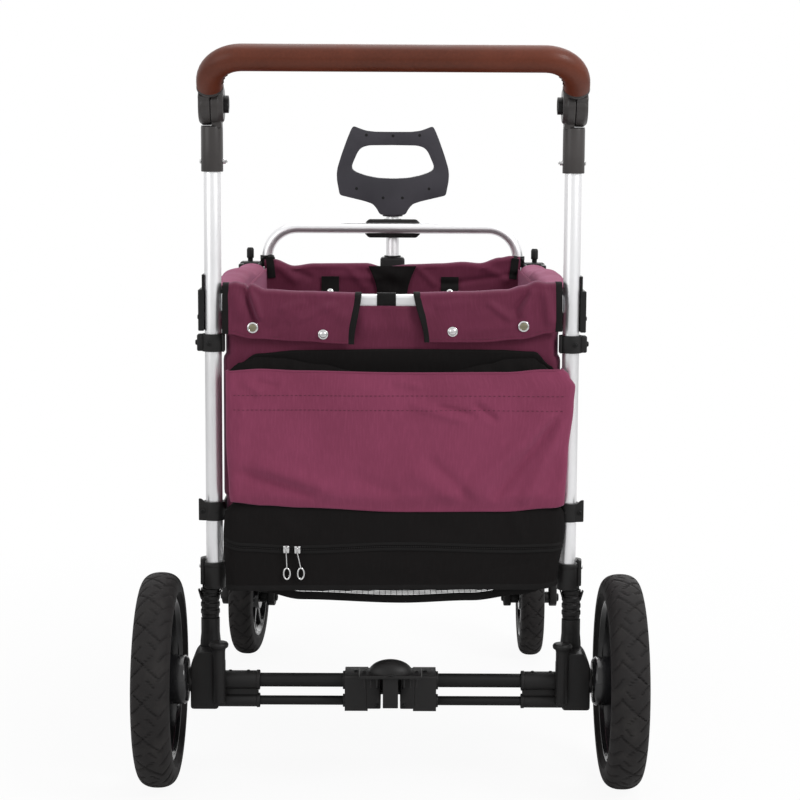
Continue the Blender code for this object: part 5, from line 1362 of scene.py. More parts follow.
@dataclass
class PushHandle(Assembly):
    """The wrapped bar on two knuckles that tilt once their buttons are pressed."""

    body: str = "handle"
    knuckle_z: float = middle("handle_button_right").z
    knuckle_r: float = 0.0268
    knuckle_width: float = 0.032
    sleeve_r: float = 0.01425
    sleeve_top: float = 0.8739
    post_top: float = 0.8590
    rise: float = math.radians(43.5)
    length: float = 0.0833
    half_width: float = 0.231
    bar_r: float = 0.0172
    bend: float = 0.043
    collar: tuple[float, float] = (0.0273, 0.0338)
    lead: float = 0.004
    button_r: float = 0.01125

    def build(self) -> None:
        """Make the bar and both knuckles."""
        self.bar()
        for side, word in SIDES.items():
            self.sleeve(side, word)
            self.knuckle(side, word)
            self.button(side, word)

    def arm_point(self, distance: float, offset: float = 0.0) -> tuple[float, float]:
        """The (y, z) of a point along the tilted arm, and offset across it.

        Args:
            distance: from the knuckle's axis.
            offset: across the arm.

        Returns:
            The y and z.
        """
        along_y, along_z = -math.cos(self.rise), math.sin(self.rise)
        return (
            REAR_Y + along_y * distance + along_z * offset,
            self.knuckle_z + along_z * distance - along_y * offset)

    def sleeve(self, side: int, word: str) -> None:
        """The sleeve on the upright, with the fixed half of the knuckle above it.

        Args:
            side: -1 for the left side, 1 for the right.
            word: the side in words, for the names.
        """
        low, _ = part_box(f"handle_sleeve_{word}")
        post, top = side * POST_X, self.sleeve_top
        wall = soften([
            (0.0, top), (self.sleeve_r, top), (self.sleeve_r, low.z), (0.0114, low.z),
            (0.0114, self.post_top + 0.0003), (0.0, self.post_top + 0.0003)], 0.0012, 3, closed=False)
        shapes = [spun(wall, (post, REAR_Y, 0), closed=False, steps=64)]
        inner_x = POST_X - self.knuckle_width / 2
        disc = soften([
            (self.button_r + 0.0005, 0.0), (self.knuckle_r - 0.0055, 0.0), (self.knuckle_r, 0.0062),
            (self.knuckle_r, POST_X - 0.0004 - inner_x), (0.0, POST_X - 0.0004 - inner_x), (0.0, 0.010),
            (self.button_r + 0.0005, 0.010)], 0.0014, 4, closed=False)
        shapes.append(spun(disc, (side * inner_x, REAR_Y, self.knuckle_z), (side, 0, 0)))
        shapes.append(box(
            (side * (inner_x + 0.0028), side * (POST_X - 0.0004)), (REAR_Y - 0.0125, REAR_Y + 0.0125),
            (top - 0.002, self.knuckle_z - 0.012), 0.0016))
        self.shop.piece(
            f"handle_sleeve_shell_{word}", "sleeve_satin", "rear_frame", *shapes,
            replaces=[f"handle_sleeve_{word}"])
        line = tube((post, REAR_Y, top - 0.0006), Z_AXIS, 0.0018, self.sleeve_r - 0.0004, 0.010, 0.0002)
        self.shop.piece(f"handle_sleeve_gap_{word}", "clamp_plastic", "rear_frame", line)
        nut_x = post - side * self.sleeve_r
        bolt_z = low.z + 0.0137
        nut = [
            rod(
                (nut_x + side * 0.002, REAR_Y, bolt_z), (nut_x - side * 0.0034, REAR_Y, bolt_z), 0.0036,
                sides=6, rounding=0.0005),
            rod(
                (nut_x - side * 0.003, REAR_Y, bolt_z), (nut_x - side * 0.0056, REAR_Y, bolt_z), 0.0019,
                sides=20, rounding=0.0005)]
        nut += hex_bolt(
            (post + side * (self.sleeve_r - 0.0004), REAR_Y, bolt_z), (side, 0, 0), 0.0034, 0.0018)
        self.shop.piece(f"handle_sleeve_nut_{word}", "chrome", "rear_frame", *nut)

    def knuckle(self, side: int, word: str) -> None:
        """The half of the knuckle that turns with the bar, and the collar for the bar's end.

        Args:
            side: -1 for the left side, 1 for the right.
            word: the side in words, for the names.
        """
        outer_x = POST_X + self.knuckle_width / 2
        width = outer_x - POST_X - 0.0004
        disc = soften([
            (0.0, 0.0), (self.knuckle_r - 0.004, 0.0), (self.knuckle_r, 0.0042),
            (self.knuckle_r, width), (0.0, width)], 0.0016, 4, closed=False)
        shapes = [spun(disc, (side * outer_x, REAR_Y, self.knuckle_z), (-side, 0, 0), closed=False)]
        start, end = self.collar
        neck = [
            self.arm_point(*spot) for spot in (
                (0.004, -0.0180), (start + 0.001, -0.0150), (start + 0.001, 0.0150), (0.004, 0.0180))]
        neck_x = (POST_X + outer_x) / 2
        shapes.append(slab([neck], width - 0.0006, (side * neck_x, 0, 0), (1, 0, 0), 0.0018))
        foot, tip = ((side * POST_X, *self.arm_point(spot)) for spot in (start, end))
        way = Vector(tip) - Vector(foot)
        wall = soften([
            (0.0124, 0.0), (self.bar_r - 0.0020, 0.0), (self.bar_r - 0.0003, 0.0020),
            (self.bar_r - 0.0003, way.length), (0.0124, way.length)], 0.0012, 3)
        shapes.append(spun(wall, foot, way, 64))
        shapes.append(tube(
            Vector(foot) + way * 0.45, way, 0.0022, self.bar_r + 0.0003, 0.013, 0.0004, 64))
        self.fit(f"knuckle_half_{word}", "sleeve_satin", *shapes, replaces=[f"knuckle_{word}"])
        screw = hex_bolt(
            (side * (outer_x - 0.0003), REAR_Y, self.knuckle_z), (side, 0, 0), 0.0050, 0.0012)
        self.fit(f"knuckle_screw_{word}", "powder_coat", *screw)

    def button(self, side: int, word: str) -> None:
        """The ribbed round button in the knuckle's inner face.

        Args:
            side: -1 for the left side, 1 for the right.
            word: the side in words, for the names.
        """
        low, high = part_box(f"handle_button_{word}")
        face = low.x if side > 0 else high.x
        depth = high.x - low.x
        profile = soften([
            (0.0, 0.0008), (self.button_r - 0.0040, 0.0008), (self.button_r - 0.0032, 0.0),
            (self.button_r, 0.0), (self.button_r, depth), (0.0, depth)], 0.0008, 3, closed=False)
        self.shop.piece(
            f"knuckle_button_{word}", "clamp_plastic", f"button_{word}",
            spun(profile, (face, REAR_Y, self.knuckle_z), (side, 0, 0), closed=False),
            replaces=[f"handle_button_{word}"])

    def line(self) -> list[Vector]:
        """The middle line of the bar, round its two bends.

        Returns:
            The points.
        """
        start, lead, end = (
            self.arm_point(spot)
            for spot in (self.collar[1] + 0.0003, self.collar[1] + self.lead, self.length))
        corners = [
            (-POST_X, *start), (-POST_X, *lead), (-self.half_width, *end), (self.half_width, *end),
            (POST_X, *lead), (POST_X, *start)]
        return arced(corners, self.bend, 18)

    def bar(self) -> None:
        """The bar with its hide wrap, the seam on its hidden side and the lacing of its ends."""
        line = evenly(self.line())
        self.fit(
            "wrapped_bar", "brown_hide", swept(line, circle(self.bar_r, 48), (0, 1, 0)),
            replaces=["handle_bar"], angle=60)
        frames = list(stations(line, (0, 1, 0), False))
        seam = [
            self.facing(place, Vector((0, 0.8, -0.6)), self.bar_r + 0.0001) for place in frames[4:-4]]
        self.fit("bar_seam", "hide_thread", *stitches(seam, 0.0062, 0.0034, 0.0005))
        for side, word in SIDES.items():
            ends = [place for place in frames if place.translation.x * side > 0.2]
            ends.sort(key=lambda place: place.translation.y, reverse=True)
            laces = []
            for place in ends[2:8:2]:
                spot = self.facing(place, Vector((-side, 0, -0.35)), self.bar_r)
                inward = (spot - place.translation).normalized()
                across = inward.cross(place.to_3x3().col[2]) * 0.0042
                lace = [
                    spot - across - inward * 0.0006, spot + inward * 0.0009,
                    spot + across - inward * 0.0006]
                laces.append(swept(lace, circle(0.0008, 8), place.to_3x3().col[2]))
            self.fit(f"bar_lacing_{word}", "hide_thread", *laces)

    @staticmethod
    def facing(place: Matrix, way: Vector, reach: float) -> Vector:
        """The point of the bar's skin that faces a way."""
        forward = place.to_3x3().col[2]
        return place.translation + (way - forward * way.dot(forward)).normalized() * reach


@dataclass
class Brake(Assembly):
    """The housing on the axle tube, the foot pedal in it and the two rods that it drives."""

    out_x: float = 0.0605
    in_x: float = 0.0128
    step_x: float = 0.030
    back: float = 0.030
    front: float = 0.022
    pedal_half: float = 0.041
    dome_half: float = 0.029
    pedal_back: float = 0.075
    pedal_rise: tuple[float, float, float] = (0.0211, 0.0256, 0.0421)
    pivot_back: float = 0.022
    pivot_drop: float = 0.0104
    ribs: tuple = (-0.5, -0.2, 0.1, 0.4)
    webs_x: tuple = (0.0180, 0.0260, 0.0340)

    def build(self) -> None:
        """Make the three pieces."""
        self.housing()
        self.pedal()
        for side, word in SIDES.items():
            low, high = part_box(f"brake_rod_{word}")
            z, radius = (low.z + high.z) / 2, (high.z - low.z) / 2
            shape = rod((low.x, REAR_Y, z), (high.x, REAR_Y, z), radius, rounding=0.0006)
            self.shop.piece(
                f"brake_bar_{word}", "powder_coat", f"brake_rod_{word}", shape,
                replaces=[f"brake_rod_{word}"])

    def housing(self) -> None:
        """Two stepped blocks with a bridge between them and screws behind."""
        low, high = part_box("brake_housing")
        back, front, axle = REAR_Y - self.back, REAR_Y + self.front, AXLE_Z
        shapes = [box(
            (-self.in_x - 0.004, self.in_x + 0.004), (REAR_Y - 0.012, front),
            (axle - 0.0139, axle + 0.0113), 0.0008)]
        screws = []
        for side in SIDES:
            shapes.append(box(
                (side * self.in_x, side * (self.step_x + 0.002)), (back, front - 0.002),
                (low.z + 0.004, high.z - 0.001), 0.0016))
            shapes.append(box(
                (side * self.step_x, side * self.out_x), (back + 0.002, front), (low.z, high.z), 0.0034,
                4, across=0))
            for z, radius, bore in ((axle, 0.0122, 0.0094), (axle - ROD_DROP, ROD_SLEEVE_R, ROD_BORE)):
                shapes.append(tube(
                    (side * (self.out_x - 0.002), REAR_Y, z), (side, 0, 0), 0.0050, radius, bore,
                    0.0008))
            for x, z, radius in ((0.0178, low.z + 0.0085, 0.0026), (0.0178, axle - 0.0020, 0.0020)):
                screws += hex_bolt((side * x, back, z), (0, -1, 0), radius, 0.0012)
            screws += hex_bolt(
                (side * 0.046, REAR_Y - 0.004, high.z - 0.0004), (0, 0, 1), 0.0030, 0.0016)
        self.fit("brake_block", "clamp_plastic", *shapes, replaces=["brake_housing"])
        self.fit("brake_block_screws", "powder_coat", *screws)

    def pedal(self) -> None:
        """A ribbed dome on a flange, with webs below and its eye on the pivot pin."""
        axle = AXLE_Z
        near, far = REAR_Y - self.back - 0.0015, REAR_Y - self.pedal_back
        foot, top, crown = (axle + rise for rise in self.pedal_rise)
        pivot = (REAR_Y - self.pivot_back, axle - self.pivot_drop)
        shapes = [box((-self.pedal_half, self.pedal_half), (near, far), (foot, top), 0.0016, 3)]
        dome = ball(
            (0, (near + far) / 2, top - 0.0012),
            (self.dome_half, (near - far) / 2 - 0.002, crown - top + 0.0012), 24)
        bmesh.ops.bisect_plane(
            dome, geom=dome.verts[:] + dome.edges[:] + dome.faces[:], plane_co=(0, 0, top - 0.0012),
            plane_no=(0, 0, -1), clear_outer=True)
        bmesh.ops.holes_fill(dome, edges=[edge for edge in dome.edges if edge.is_boundary])
        shapes.append(dome)
        for share in self.ribs:
            y = (near + far) / 2 + share * (near - far)
            reach = math.sqrt(max(0.02, 1 - (share * 2.05) ** 2)) * self.dome_half * 0.93
            arc = [
                (
                    reach * math.sin(turn), y,
                    top - 0.001 + (crown - top) * math.cos(turn) * reach / self.dome_half)
                for turn in (math.radians(-74 + 148 * step / 18) for step in range(19))]
            shapes.append(swept(arc, circle(0.0011, 8), (0, 1, 0)))
        shapes.append(box(
            (-0.0100, 0.0100), (pivot[0], far + 0.006), (pivot[1] - 0.009, foot + 0.001), 0.0010))
        shapes.append(rod((-0.0100, *pivot), (0.0100, *pivot), 0.009, rounding=0.0006))
        shapes.append(rod((-0.0200, *pivot), (0.0200, *pivot), 0.003))
        for side in SIDES:
            for x in self.webs_x:
                shapes.append(box(
                    (side * (x - 0.0011), side * (x + 0.0011)), (near - 0.004, far + 0.005),
                    (foot - 0.0125, foot + 0.001), 0.0004))
        self.shop.piece("foot_pedal", "clamp_plastic", "brake_pedal", *shapes, replaces=["brake_pedal"])
        screws = []
        for side in SIDES:
            screws += hex_bolt(
                (side * 0.0345, (near + far) / 2, top - 0.0002), (0, 0, 1), 0.0024, 0.0012)
        self.shop.piece("foot_pedal_screws", "powder_coat", "brake_pedal", *screws)


@dataclass(frozen=True)
class Tyre:
    """An air tyre with thin slanting grooves across its tread."""

    radius: float
    width: float
    seat: float
    repeats: int
    bead: float = 0.70
    groove_half: float = 0.00115
    groove_depth: float = 0.0022
    rows: int = 15
    grooves: tuple = (
        ((-0.95, 0.02), (-0.48, -0.30)), ((-0.95, 0.52), (-0.48, 0.20)), ((-0.12, 0.36), (0.92, -0.24)),
        ((0.72, 0.32), (-0.52, -0.26)), ((0.42, 0.62), (0.95, 0.30)), ((-0.30, 0.52), (0.10, 0.74)))

    def section(self) -> Outline:
        """The tyre's closed section: rounded crown, bulging sides and beads.

        Returns:
            The outline.
        """
        half, widest = self.width / 2, self.radius - self.width * 0.46
        crown = []
        for step in range(-self.rows, self.rows + 1):
            turn = math.pi / 2 * step / self.rows
            reach = math.copysign(abs(math.sin(turn)) ** 0.85, turn)
            crown.append((widest + (self.radius - widest) * abs(math.cos(turn)) ** 0.72, half * reach))
        bead = [
            (self.seat + (widest - self.seat) * 0.55, half * 0.975),
            (self.seat + 0.0035, half * (self.bead + 0.16)),
            (self.seat + 0.0008, half * (self.bead + 0.08)), (self.seat, half * self.bead)]
        return [(radius, -height) for radius, height in reversed(bead)] + crown + bead

    def cut(self, turn: float, across: float) -> float:
        """How deep a groove is at a point of the tread.

        Args:
            turn: the angle round the tyre.
            across: -1 to 1 across the tread.

        Returns:
            The depth.
        """
        half, pitch = self.width / 2, math.tau * self.radius / self.repeats
        spot = Vector((across, turn * self.radius % pitch))
        nearest = 1.0
        for (s0, t0), (s1, t1) in self.grooves:
            for shift in (-1, 0, 1):
                start = Vector((s0 * half, (t0 + shift) * pitch))
                run = Vector((s1 * half, (t1 + shift) * pitch)) - start
                share = min(1.0, max(0.0, (spot - start).dot(run) / run.length_squared))
                nearest = min(nearest, (spot - start - run * share).length)
        return self.groove_depth * smoothly((self.groove_half - nearest) / self.groove_half * 2.4)

    def blank(self) -> bmesh.types.BMesh:
        """The whole tyre about the Z axis.

        Returns:
            The shape.
        """
        part = spun(self.section(), (0, 0, 0), (0, 0, 1), self.repeats * 40)
        tread = self.radius - self.width * 0.30
        pattern = {}
        for vert in part.verts:
            radius = math.hypot(vert.co.x, vert.co.y)
            if radius < tread:
                continue
            turn = math.atan2(vert.co.y, vert.co.x) % (math.tau / self.repeats)
            key = (round(turn, 5), round(vert.co.z, 6))
            if key not in pattern:
                pattern[key] = self.cut(turn, vert.co.z)
            if pattern[key]:
                share = 1 - pattern[key] / radius
                vert.co.x, vert.co.y = vert.co.x * share, vert.co.y * share
        return part


@dataclass
class RearWheels(Assembly):
    """Two air tyres on glossy six-spoked rims."""

    radius: float = 0.1424
    width: float = 0.050
    rim_r: float = 0.1115
    hub_r: float = 0.0325
    hub_face: float = 0.038
    spokes: int = 6

    def build(self) -> None:
        """Make both wheels."""
        tyre = Tyre(self.radius, self.width, self.rim_r + 0.0003, repeats=18).blank()
        for side, word in SIDES.items():
            centre = middle(f"rear_tyre_{word}")
            tread = stood(tyre.copy(), centre, (side, 0, 0))
            self.shop.piece(
                f"rear_tread_{word}", "tyre", f"rear_wheel_{word}", tread,
                replaces=[f"rear_tyre_{word}"], angle=50)
            self.shop.piece(
                f"rear_wheel_rim_{word}", "gloss_rim", f"rear_wheel_{word}", *self.rim(centre, side),
                replaces=[f"rear_rim_{word}"])
            cap = spun(soften(
                [(0.0, 0.0060), (0.0145, 0.0052), (0.0185, 0.0), (0.0, 0.0)], 0.0016, 4, closed=False),
                centre + X_AXIS * side * 0.0228, (side, 0, 0), closed=False)
            self.shop.piece(f"rear_hub_cap_{word}", "clamp_plastic", f"rear_wheel_{word}", cap)

    def rim(self, centre: Vector, side: int) -> list[bmesh.types.BMesh]:
        """Barrel, hub and spokes.

        Args:
            centre: its middle.
            side: -1 for the left side, 1 for the right.

        Returns:
            The shapes.
        """
        half, well = 0.37 * self.width, self.rim_r - 0.0085
        barrel = soften([
            (self.rim_r, -half), (self.rim_r + 0.0002, -half + 0.0035),
            (self.rim_r - 0.003, -half + 0.006), (self.rim_r - 0.003, half - 0.006),
            (self.rim_r + 0.0002, half - 0.0035), (self.rim_r, half),
            (self.rim_r - 0.0055, half + 0.0004), (well, half - 0.0055), (well - 0.0012, 0.0),
            (well, -half + 0.0055), (self.rim_r - 0.0055, -half - 0.0004)], 0.0012, 3)
        shapes = [spun(barrel, centre, (side, 0, 0), 128)]
        hub = soften([
            (0.0064, -self.hub_face), (self.hub_r - 0.004, -self.hub_face),
            (self.hub_r, -self.hub_face + 0.004), (self.hub_r, -0.006), (self.hub_r - 0.003, 0.004),
            (self.hub_r - 0.008, 0.018), (0.019, 0.023), (0.0064, 0.023)], 0.0016, 3)
        shapes.append(spun(hub, centre, (side, 0, 0), 64))
        section = tapered(0.0105, 0.0085, 0.007, 0.004, 3)
        for number in range(self.spokes):
            turn = Matrix.Rotation(math.tau * number / self.spokes, 3, "X")
            line = [
                centre + turn @ Vector((side * dish, 0, reach))
                for dish, reach in (
                    (0.002, self.hub_r - 0.005), (0.003, 0.052), (0.003, 0.078),
                    (0.001, self.rim_r - 0.006))]
            shapes.append(swept(
                soften(line, 0.010, 3, closed=False), section, turn @ Vector((side, 0, 0)),
                scales=lambda share: (1.15 - 0.50 * share, 1.1 - 0.25 * share)))
        return shapes


@dataclass
class Casters(Assembly):
    """Two steered forks, each with a tyre on a ribbed rim."""

    radius: float = 0.096
    width: float = 0.038
    rim_r: float = 0.0655
    ribs: int = 6
    tip_r: float = 0.0145
    trail: float = 0.035
    inner: float = 0.032
    arm: float = 0.0125
    crown: tuple[float, float] = (0.197, 0.2075)
    reach: tuple[float, float] = (0.030, 0.019)
    steer: float = math.radians(-7.0)

    def build(self) -> None:
        """Make both casters; the left one stands turned a little."""
        tyre = Tyre(self.radius, self.width, self.rim_r, repeats=14, bead=0.86, rows=12).blank()
        tyre = stood(tyre, (0, -self.trail, self.radius), (1, 0, 0))
        for side, word in SIDES.items():
            pivot = Vector((side * POST_X, FRONT_Y, 0))
            steer = self.steer if side < 0 else 0.0
            turn = Matrix.Translation(pivot) @ Matrix.Rotation(steer, 4, "Z")
            fork, bolts, wheel, rim = self.fork(), self.bolts(), [tyre.copy()], self.rim()
            for part in (*fork, *bolts, *wheel, *rim):
                bmesh.ops.transform(part, matrix=turn, verts=part.verts)
            self.shop.piece(
                f"caster_yoke_{word}", "clamp_plastic", f"caster_{word}", *fork,
                replaces=[f"caster_fork_{word}"])
            self.shop.piece(f"caster_bolts_{word}", "powder_coat", f"caster_{word}", *bolts)
            self.shop.piece(
                f"caster_tread_{word}", "tyre", f"front_wheel_{word}", *wheel,
                replaces=[f"front_wheel_{word}"], angle=50)
            self.shop.piece(f"caster_rim_{word}", "gloss_rim", f"front_wheel_{word}", *rim)

    def fork(self) -> list[bmesh.types.BMesh]:
        """Crown, stem and two tapered arms about the swivel axis.

        Returns:
            The shapes.
        """
        low, top = self.crown
        back, front = self.reach
        wide = self.inner + self.arm
        shapes = [
            box((-wide, wide), (-back, front), (low, top), 0.0035, 4),
            rod((0, 0, top - 0.002), (0, 0, top + 0.046), 0.008),
            spun(soften(
                [(0.0, top + 0.0012), (0.015, top + 0.0010), (0.020, top - 0.003), (0.0, top - 0.003)],
                0.0006, 2, closed=False), (0, 0, 0), closed=False)]
        tip = [
            (-self.trail + self.tip_r * math.cos(turn), self.radius + self.tip_r * math.sin(turn))
            for turn in (math.pi + math.pi * step / 14 for step in range(15))]
        outline = [
            (front - 0.002, top - 0.0045), (-back + 0.002, top - 0.0045),
            (-back - 0.004, low - 0.020)] + tip
        for hand in (-1, 1):
            middle_x = hand * (self.inner + self.arm / 2)
            shapes.append(slab(
                [soften(outline, 0.0045, 3)], self.arm, (middle_x, 0, 0), (1, 0, 0), 0.0026))
            shapes.append(rod(
                (hand * (self.width / 2 + 0.0004), -self.trail, self.radius),
                (hand * (self.inner + 0.002), -self.trail, self.radius), 0.0095, rounding=0.0006))
        shapes.append(rod(
            (-self.inner - 0.004, -self.trail, self.radius),
            (self.inner + 0.004, -self.trail, self.radius), 0.006))
        return shapes

    def bolts(self) -> list[bmesh.types.BMesh]:
        """The heads of the axle bolt.

        Returns:
            The shapes.
        """
        made = []
        for hand in (-1, 1):
            made += hex_bolt(
                (hand * (self.inner + self.arm - 0.0002), -self.trail, self.radius), (hand, 0, 0),
                0.0066, 0.0034)
        return made

    def rim(self) -> list[bmesh.types.BMesh]:
        """A dished disc with a hub, a bright lip and six ribs on each face.

        Returns:
            The shapes.
        """
        half, base = self.width / 2, Vector((0, -self.trail, self.radius))
        upper = [
            (0.0064, half), (0.0200, half), (0.0230, half - 0.009), (0.058, half - 0.0100),
            (0.0615, half - 0.001), (self.rim_r, half - 0.001), (0.0658, half - 0.004)]
        profile = upper + [(radius, -height) for radius, height in reversed(upper)]
        shapes = [spun(soften(profile, 0.0012, 3), base, (1, 0, 0), 96)]
        section = tapered(0.0055, 0.0045, 0.0045, 0.002, 2)
        for hand in (-1, 1):
            for number in range(self.ribs):
                turn = Matrix.Rotation(math.tau * (number + 0.5) / self.ribs, 3, "X")
                line = [
                    base + turn @ Vector((hand * (half - 0.0092), 0, reach))
                    for reach in (0.018, 0.040, 0.061)]
                shapes.append(swept(
                    line, section, (hand, 0, 0), scales=lambda share: (1.3 - 0.6 * share, 1.0)))
        return shapes


@dataclass
class FrontFrame(Assembly):
    """Front posts with the caster housings, the corner blocks, the bars and the hoop with its clip."""

    body: str = "front_frame"
    hoop_x: float = 0.208
    hoop_r: float = 0.0088
    hoop_top: float = 0.7118
    hoop_bend: float = 0.050
    block_x: tuple[float, float] = (0.2147, 0.2522)
    block_z: tuple[float, float] = (0.626, 0.656)
    knob_x: float = 0.236
    knob_r: float = 0.0059
    clip_half: float = 0.0475
    clip_z: tuple[float, float] = (0.696, 0.7265)
    clamp_z: tuple[float, float] = (0.35975, 0.38425)
    clamp_out: float = 0.2531
    housing_z: tuple[float, float] = (0.2085, 0.2600)

    def build(self) -> None:
        """Make both sides and what joins them."""
        self.shop.repaint("anodised_tube", "front_crossbar")
        self.shop.repaint("powder_coat", "front_lower_bar")
        for side, word in SIDES.items():
            self.post(side, word)
            self.corner_block(side, word)
        self.hoop()
        self.clip()

    def post(self, side: int, word: str) -> None:
        """The bright tube, the black caster housing on its foot and the floor's clamp.

        Args:
            side: -1 for the left side, 1 for the right.
            word: the side in words, for the names.
        """
        base = (side * POST_X, FRONT_Y, 0)
        foot, shoulder = self.housing_z
        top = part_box(f"front_upright_{word}")[1].z
        shape = tube(
            (*base[:2], shoulder - 0.004), Z_AXIS, top - shoulder + 0.004, POST_R, POST_R - 0.0016,
            steps=64)
        self.fit(f"front_post_{word}", "anodised_tube", shape, replaces=[f"front_upright_{word}"])
        housing = soften([
            (0.0084, foot), (0.0170, foot), (0.0170, foot + 0.004), (0.0162, foot + 0.006),
            (0.0166, shoulder - 0.008), (0.0140, shoulder), (0.0112, shoulder),
            (0.0112, shoulder - 0.006), (0.0084, shoulder - 0.010)], 0.0012, 3)
        low, high = self.clamp_z
        pin_z = (low + high) / 2
        ring = tube((*base[:2], low), Z_AXIS, high - low, 0.0150, 0.0112, 0.0009, 64)
        outer = self.clamp_out
        ear = box(
            (side * (POST_X + 0.0118), side * outer), (FRONT_Y - 0.022, FRONT_Y + 0.006),
            (low + 0.001, high - 0.001), 0.0020, 4)
        flange_x = POST_X - POST_R - 0.0005
        flange = box(
            (side * (flange_x - 0.0035), side * flange_x), (FRONT_Y, FRONT_Y - 0.045), (low, high),
            0.0012)
        pin = rod(
            (side * FLOOR_PIN_X, FRONT_Y - PIN_SETBACK, pin_z),
            (side * (flange_x - 0.001), FRONT_Y - PIN_SETBACK, pin_z), 0.004)
        bolt = hex_bolt((side * (outer - 0.0003), FRONT_Y - 0.010, pin_z), (side, 0, 0), 0.0040, 0.0024)
        self.fit(
            f"caster_housing_{word}", "clamp_plastic", spun(housing, base, steps=64), ring, ear, flange,
            pin)
        self.fit(f"front_clamp_bolt_{word}", "powder_coat", *bolt)

    def corner_block(self, side: int, word: str) -> None:
        """A block on the post's top with the hoop's socket, the rail's cheeks and a round knob.

        Args:
            side: -1 for the left side, 1 for the right.
            word: the side in words, for the names.
        """
        low, high = self.block_z
        inner, outer = self.block_x
        shapes = [box(
            (side * inner, side * outer), (FRONT_Y - 0.0165, FRONT_Y + 0.016), (low, high), 0.0032, 4)]
        shapes.append(box(
            (side * (self.hoop_x - 0.0125), side * (inner + 0.004)), (FRONT_Y - 0.011, FRONT_Y + 0.011),
            (high - 0.008, high + 0.008), 0.0026, 4))
        shapes.append(tube(
            (side * self.hoop_x, FRONT_Y, high + 0.004), Z_AXIS, 0.0065, 0.0115, 0.0090, 0.0008))
        cheek_in = POST_X - POST_R - 0.0005
        for start, end in ((cheek_in - 0.0045, cheek_in), (cheek_in + 0.0228, outer)):
            shapes.append(box(
                (side * start, side * end), (FRONT_Y - 0.047, FRONT_Y - 0.0128),
                (low + 0.002, high - 0.002), 0.0012))
        shapes.append(rod(
            (side * (cheek_in - 0.001), FRONT_Y - PIN_SETBACK, RAIL_PIN_Z),
            (side * (cheek_in + 0.0238), FRONT_Y - PIN_SETBACK, RAIL_PIN_Z), 0.004))
        knob = soften([
            (0.0, high + 0.0232), (self.knob_r - 0.0016, high + 0.0230), (self.knob_r, high + 0.0200),
            (self.knob_r, high + 0.0062), (0.0042, high + 0.0050), (0.0042, high - 0.001),
            (0.0, high - 0.001)], 0.0010, 3, closed=False)
        shapes.append(spun(knob, (side * self.knob_x, FRONT_Y, 0), closed=False))
        self.fit(f"corner_fitting_{word}", "clamp_plastic", *shapes, replaces=[f"corner_block_{word}"])
        bolts = hex_bolt(
            (side * (outer - 0.0003), FRONT_Y - PIN_SETBACK, RAIL_PIN_Z), (side, 0, 0), 0.0042, 0.0026)
        bolts += hex_bolt(
            (side * (self.hoop_x + 0.002), FRONT_Y - 0.0108, high), (0, -1, 0), 0.0030, 0.0016)
        self.fit(f"corner_bolts_{word}", "powder_coat", *bolts)

    def hoop(self) -> None:
        """The bright hoop that stands on the corner blocks."""
        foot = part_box("u_bar")[0].z
        corners = [
            (-self.hoop_x, FRONT_Y, foot), (-self.hoop_x, FRONT_Y, self.hoop_top),
            (self.hoop_x, FRONT_Y, self.hoop_top), (self.hoop_x, FRONT_Y, foot)]
        line = evenly(arced(corners, self.hoop_bend, 18))
        self.fit(
            "front_hoop", "anodised_tube", swept(line, circle(self.hoop_r, 40), (0, 1, 0)),
            replaces=["u_bar"], angle=60)

    def clip(self) -> None:
        """The clip on the hoop whose jaws hold the pull handle's tube."""
        low, high = self.clip_z
        half, slant = self.clip_half, 0.008
        outline = [
            (-half, low + slant), (-half + slant, low), (half - slant, low), (half, low + slant),
            (half, high - slant), (half - slant, high), (-half + slant, high), (-half, high - slant)]
        back, front = FRONT_Y, PULL_Y - 0.0115
        shapes = [slab(
            [soften(outline, 0.0030, 4)], front - back, (0, (back + front) / 2, 0), (0, -1, 0), 0.0026)]
        for side in SIDES:
            shapes.append(box(
                (side * 0.0109, side * 0.0143), (front - 0.002, PULL_Y + 0.0058), (low, high), 0.0012))
        self.fit("handle_clip", "clamp_plastic", *shapes, replaces=["pull_clip"])
        screws = []
        for side in SIDES:
            screws += hex_bolt((side * 0.0305, front, (low + high) / 2), (0, 1, 0), 0.0032, 0.0012)
        self.fit("handle_clip_screws", "powder_coat", *screws)


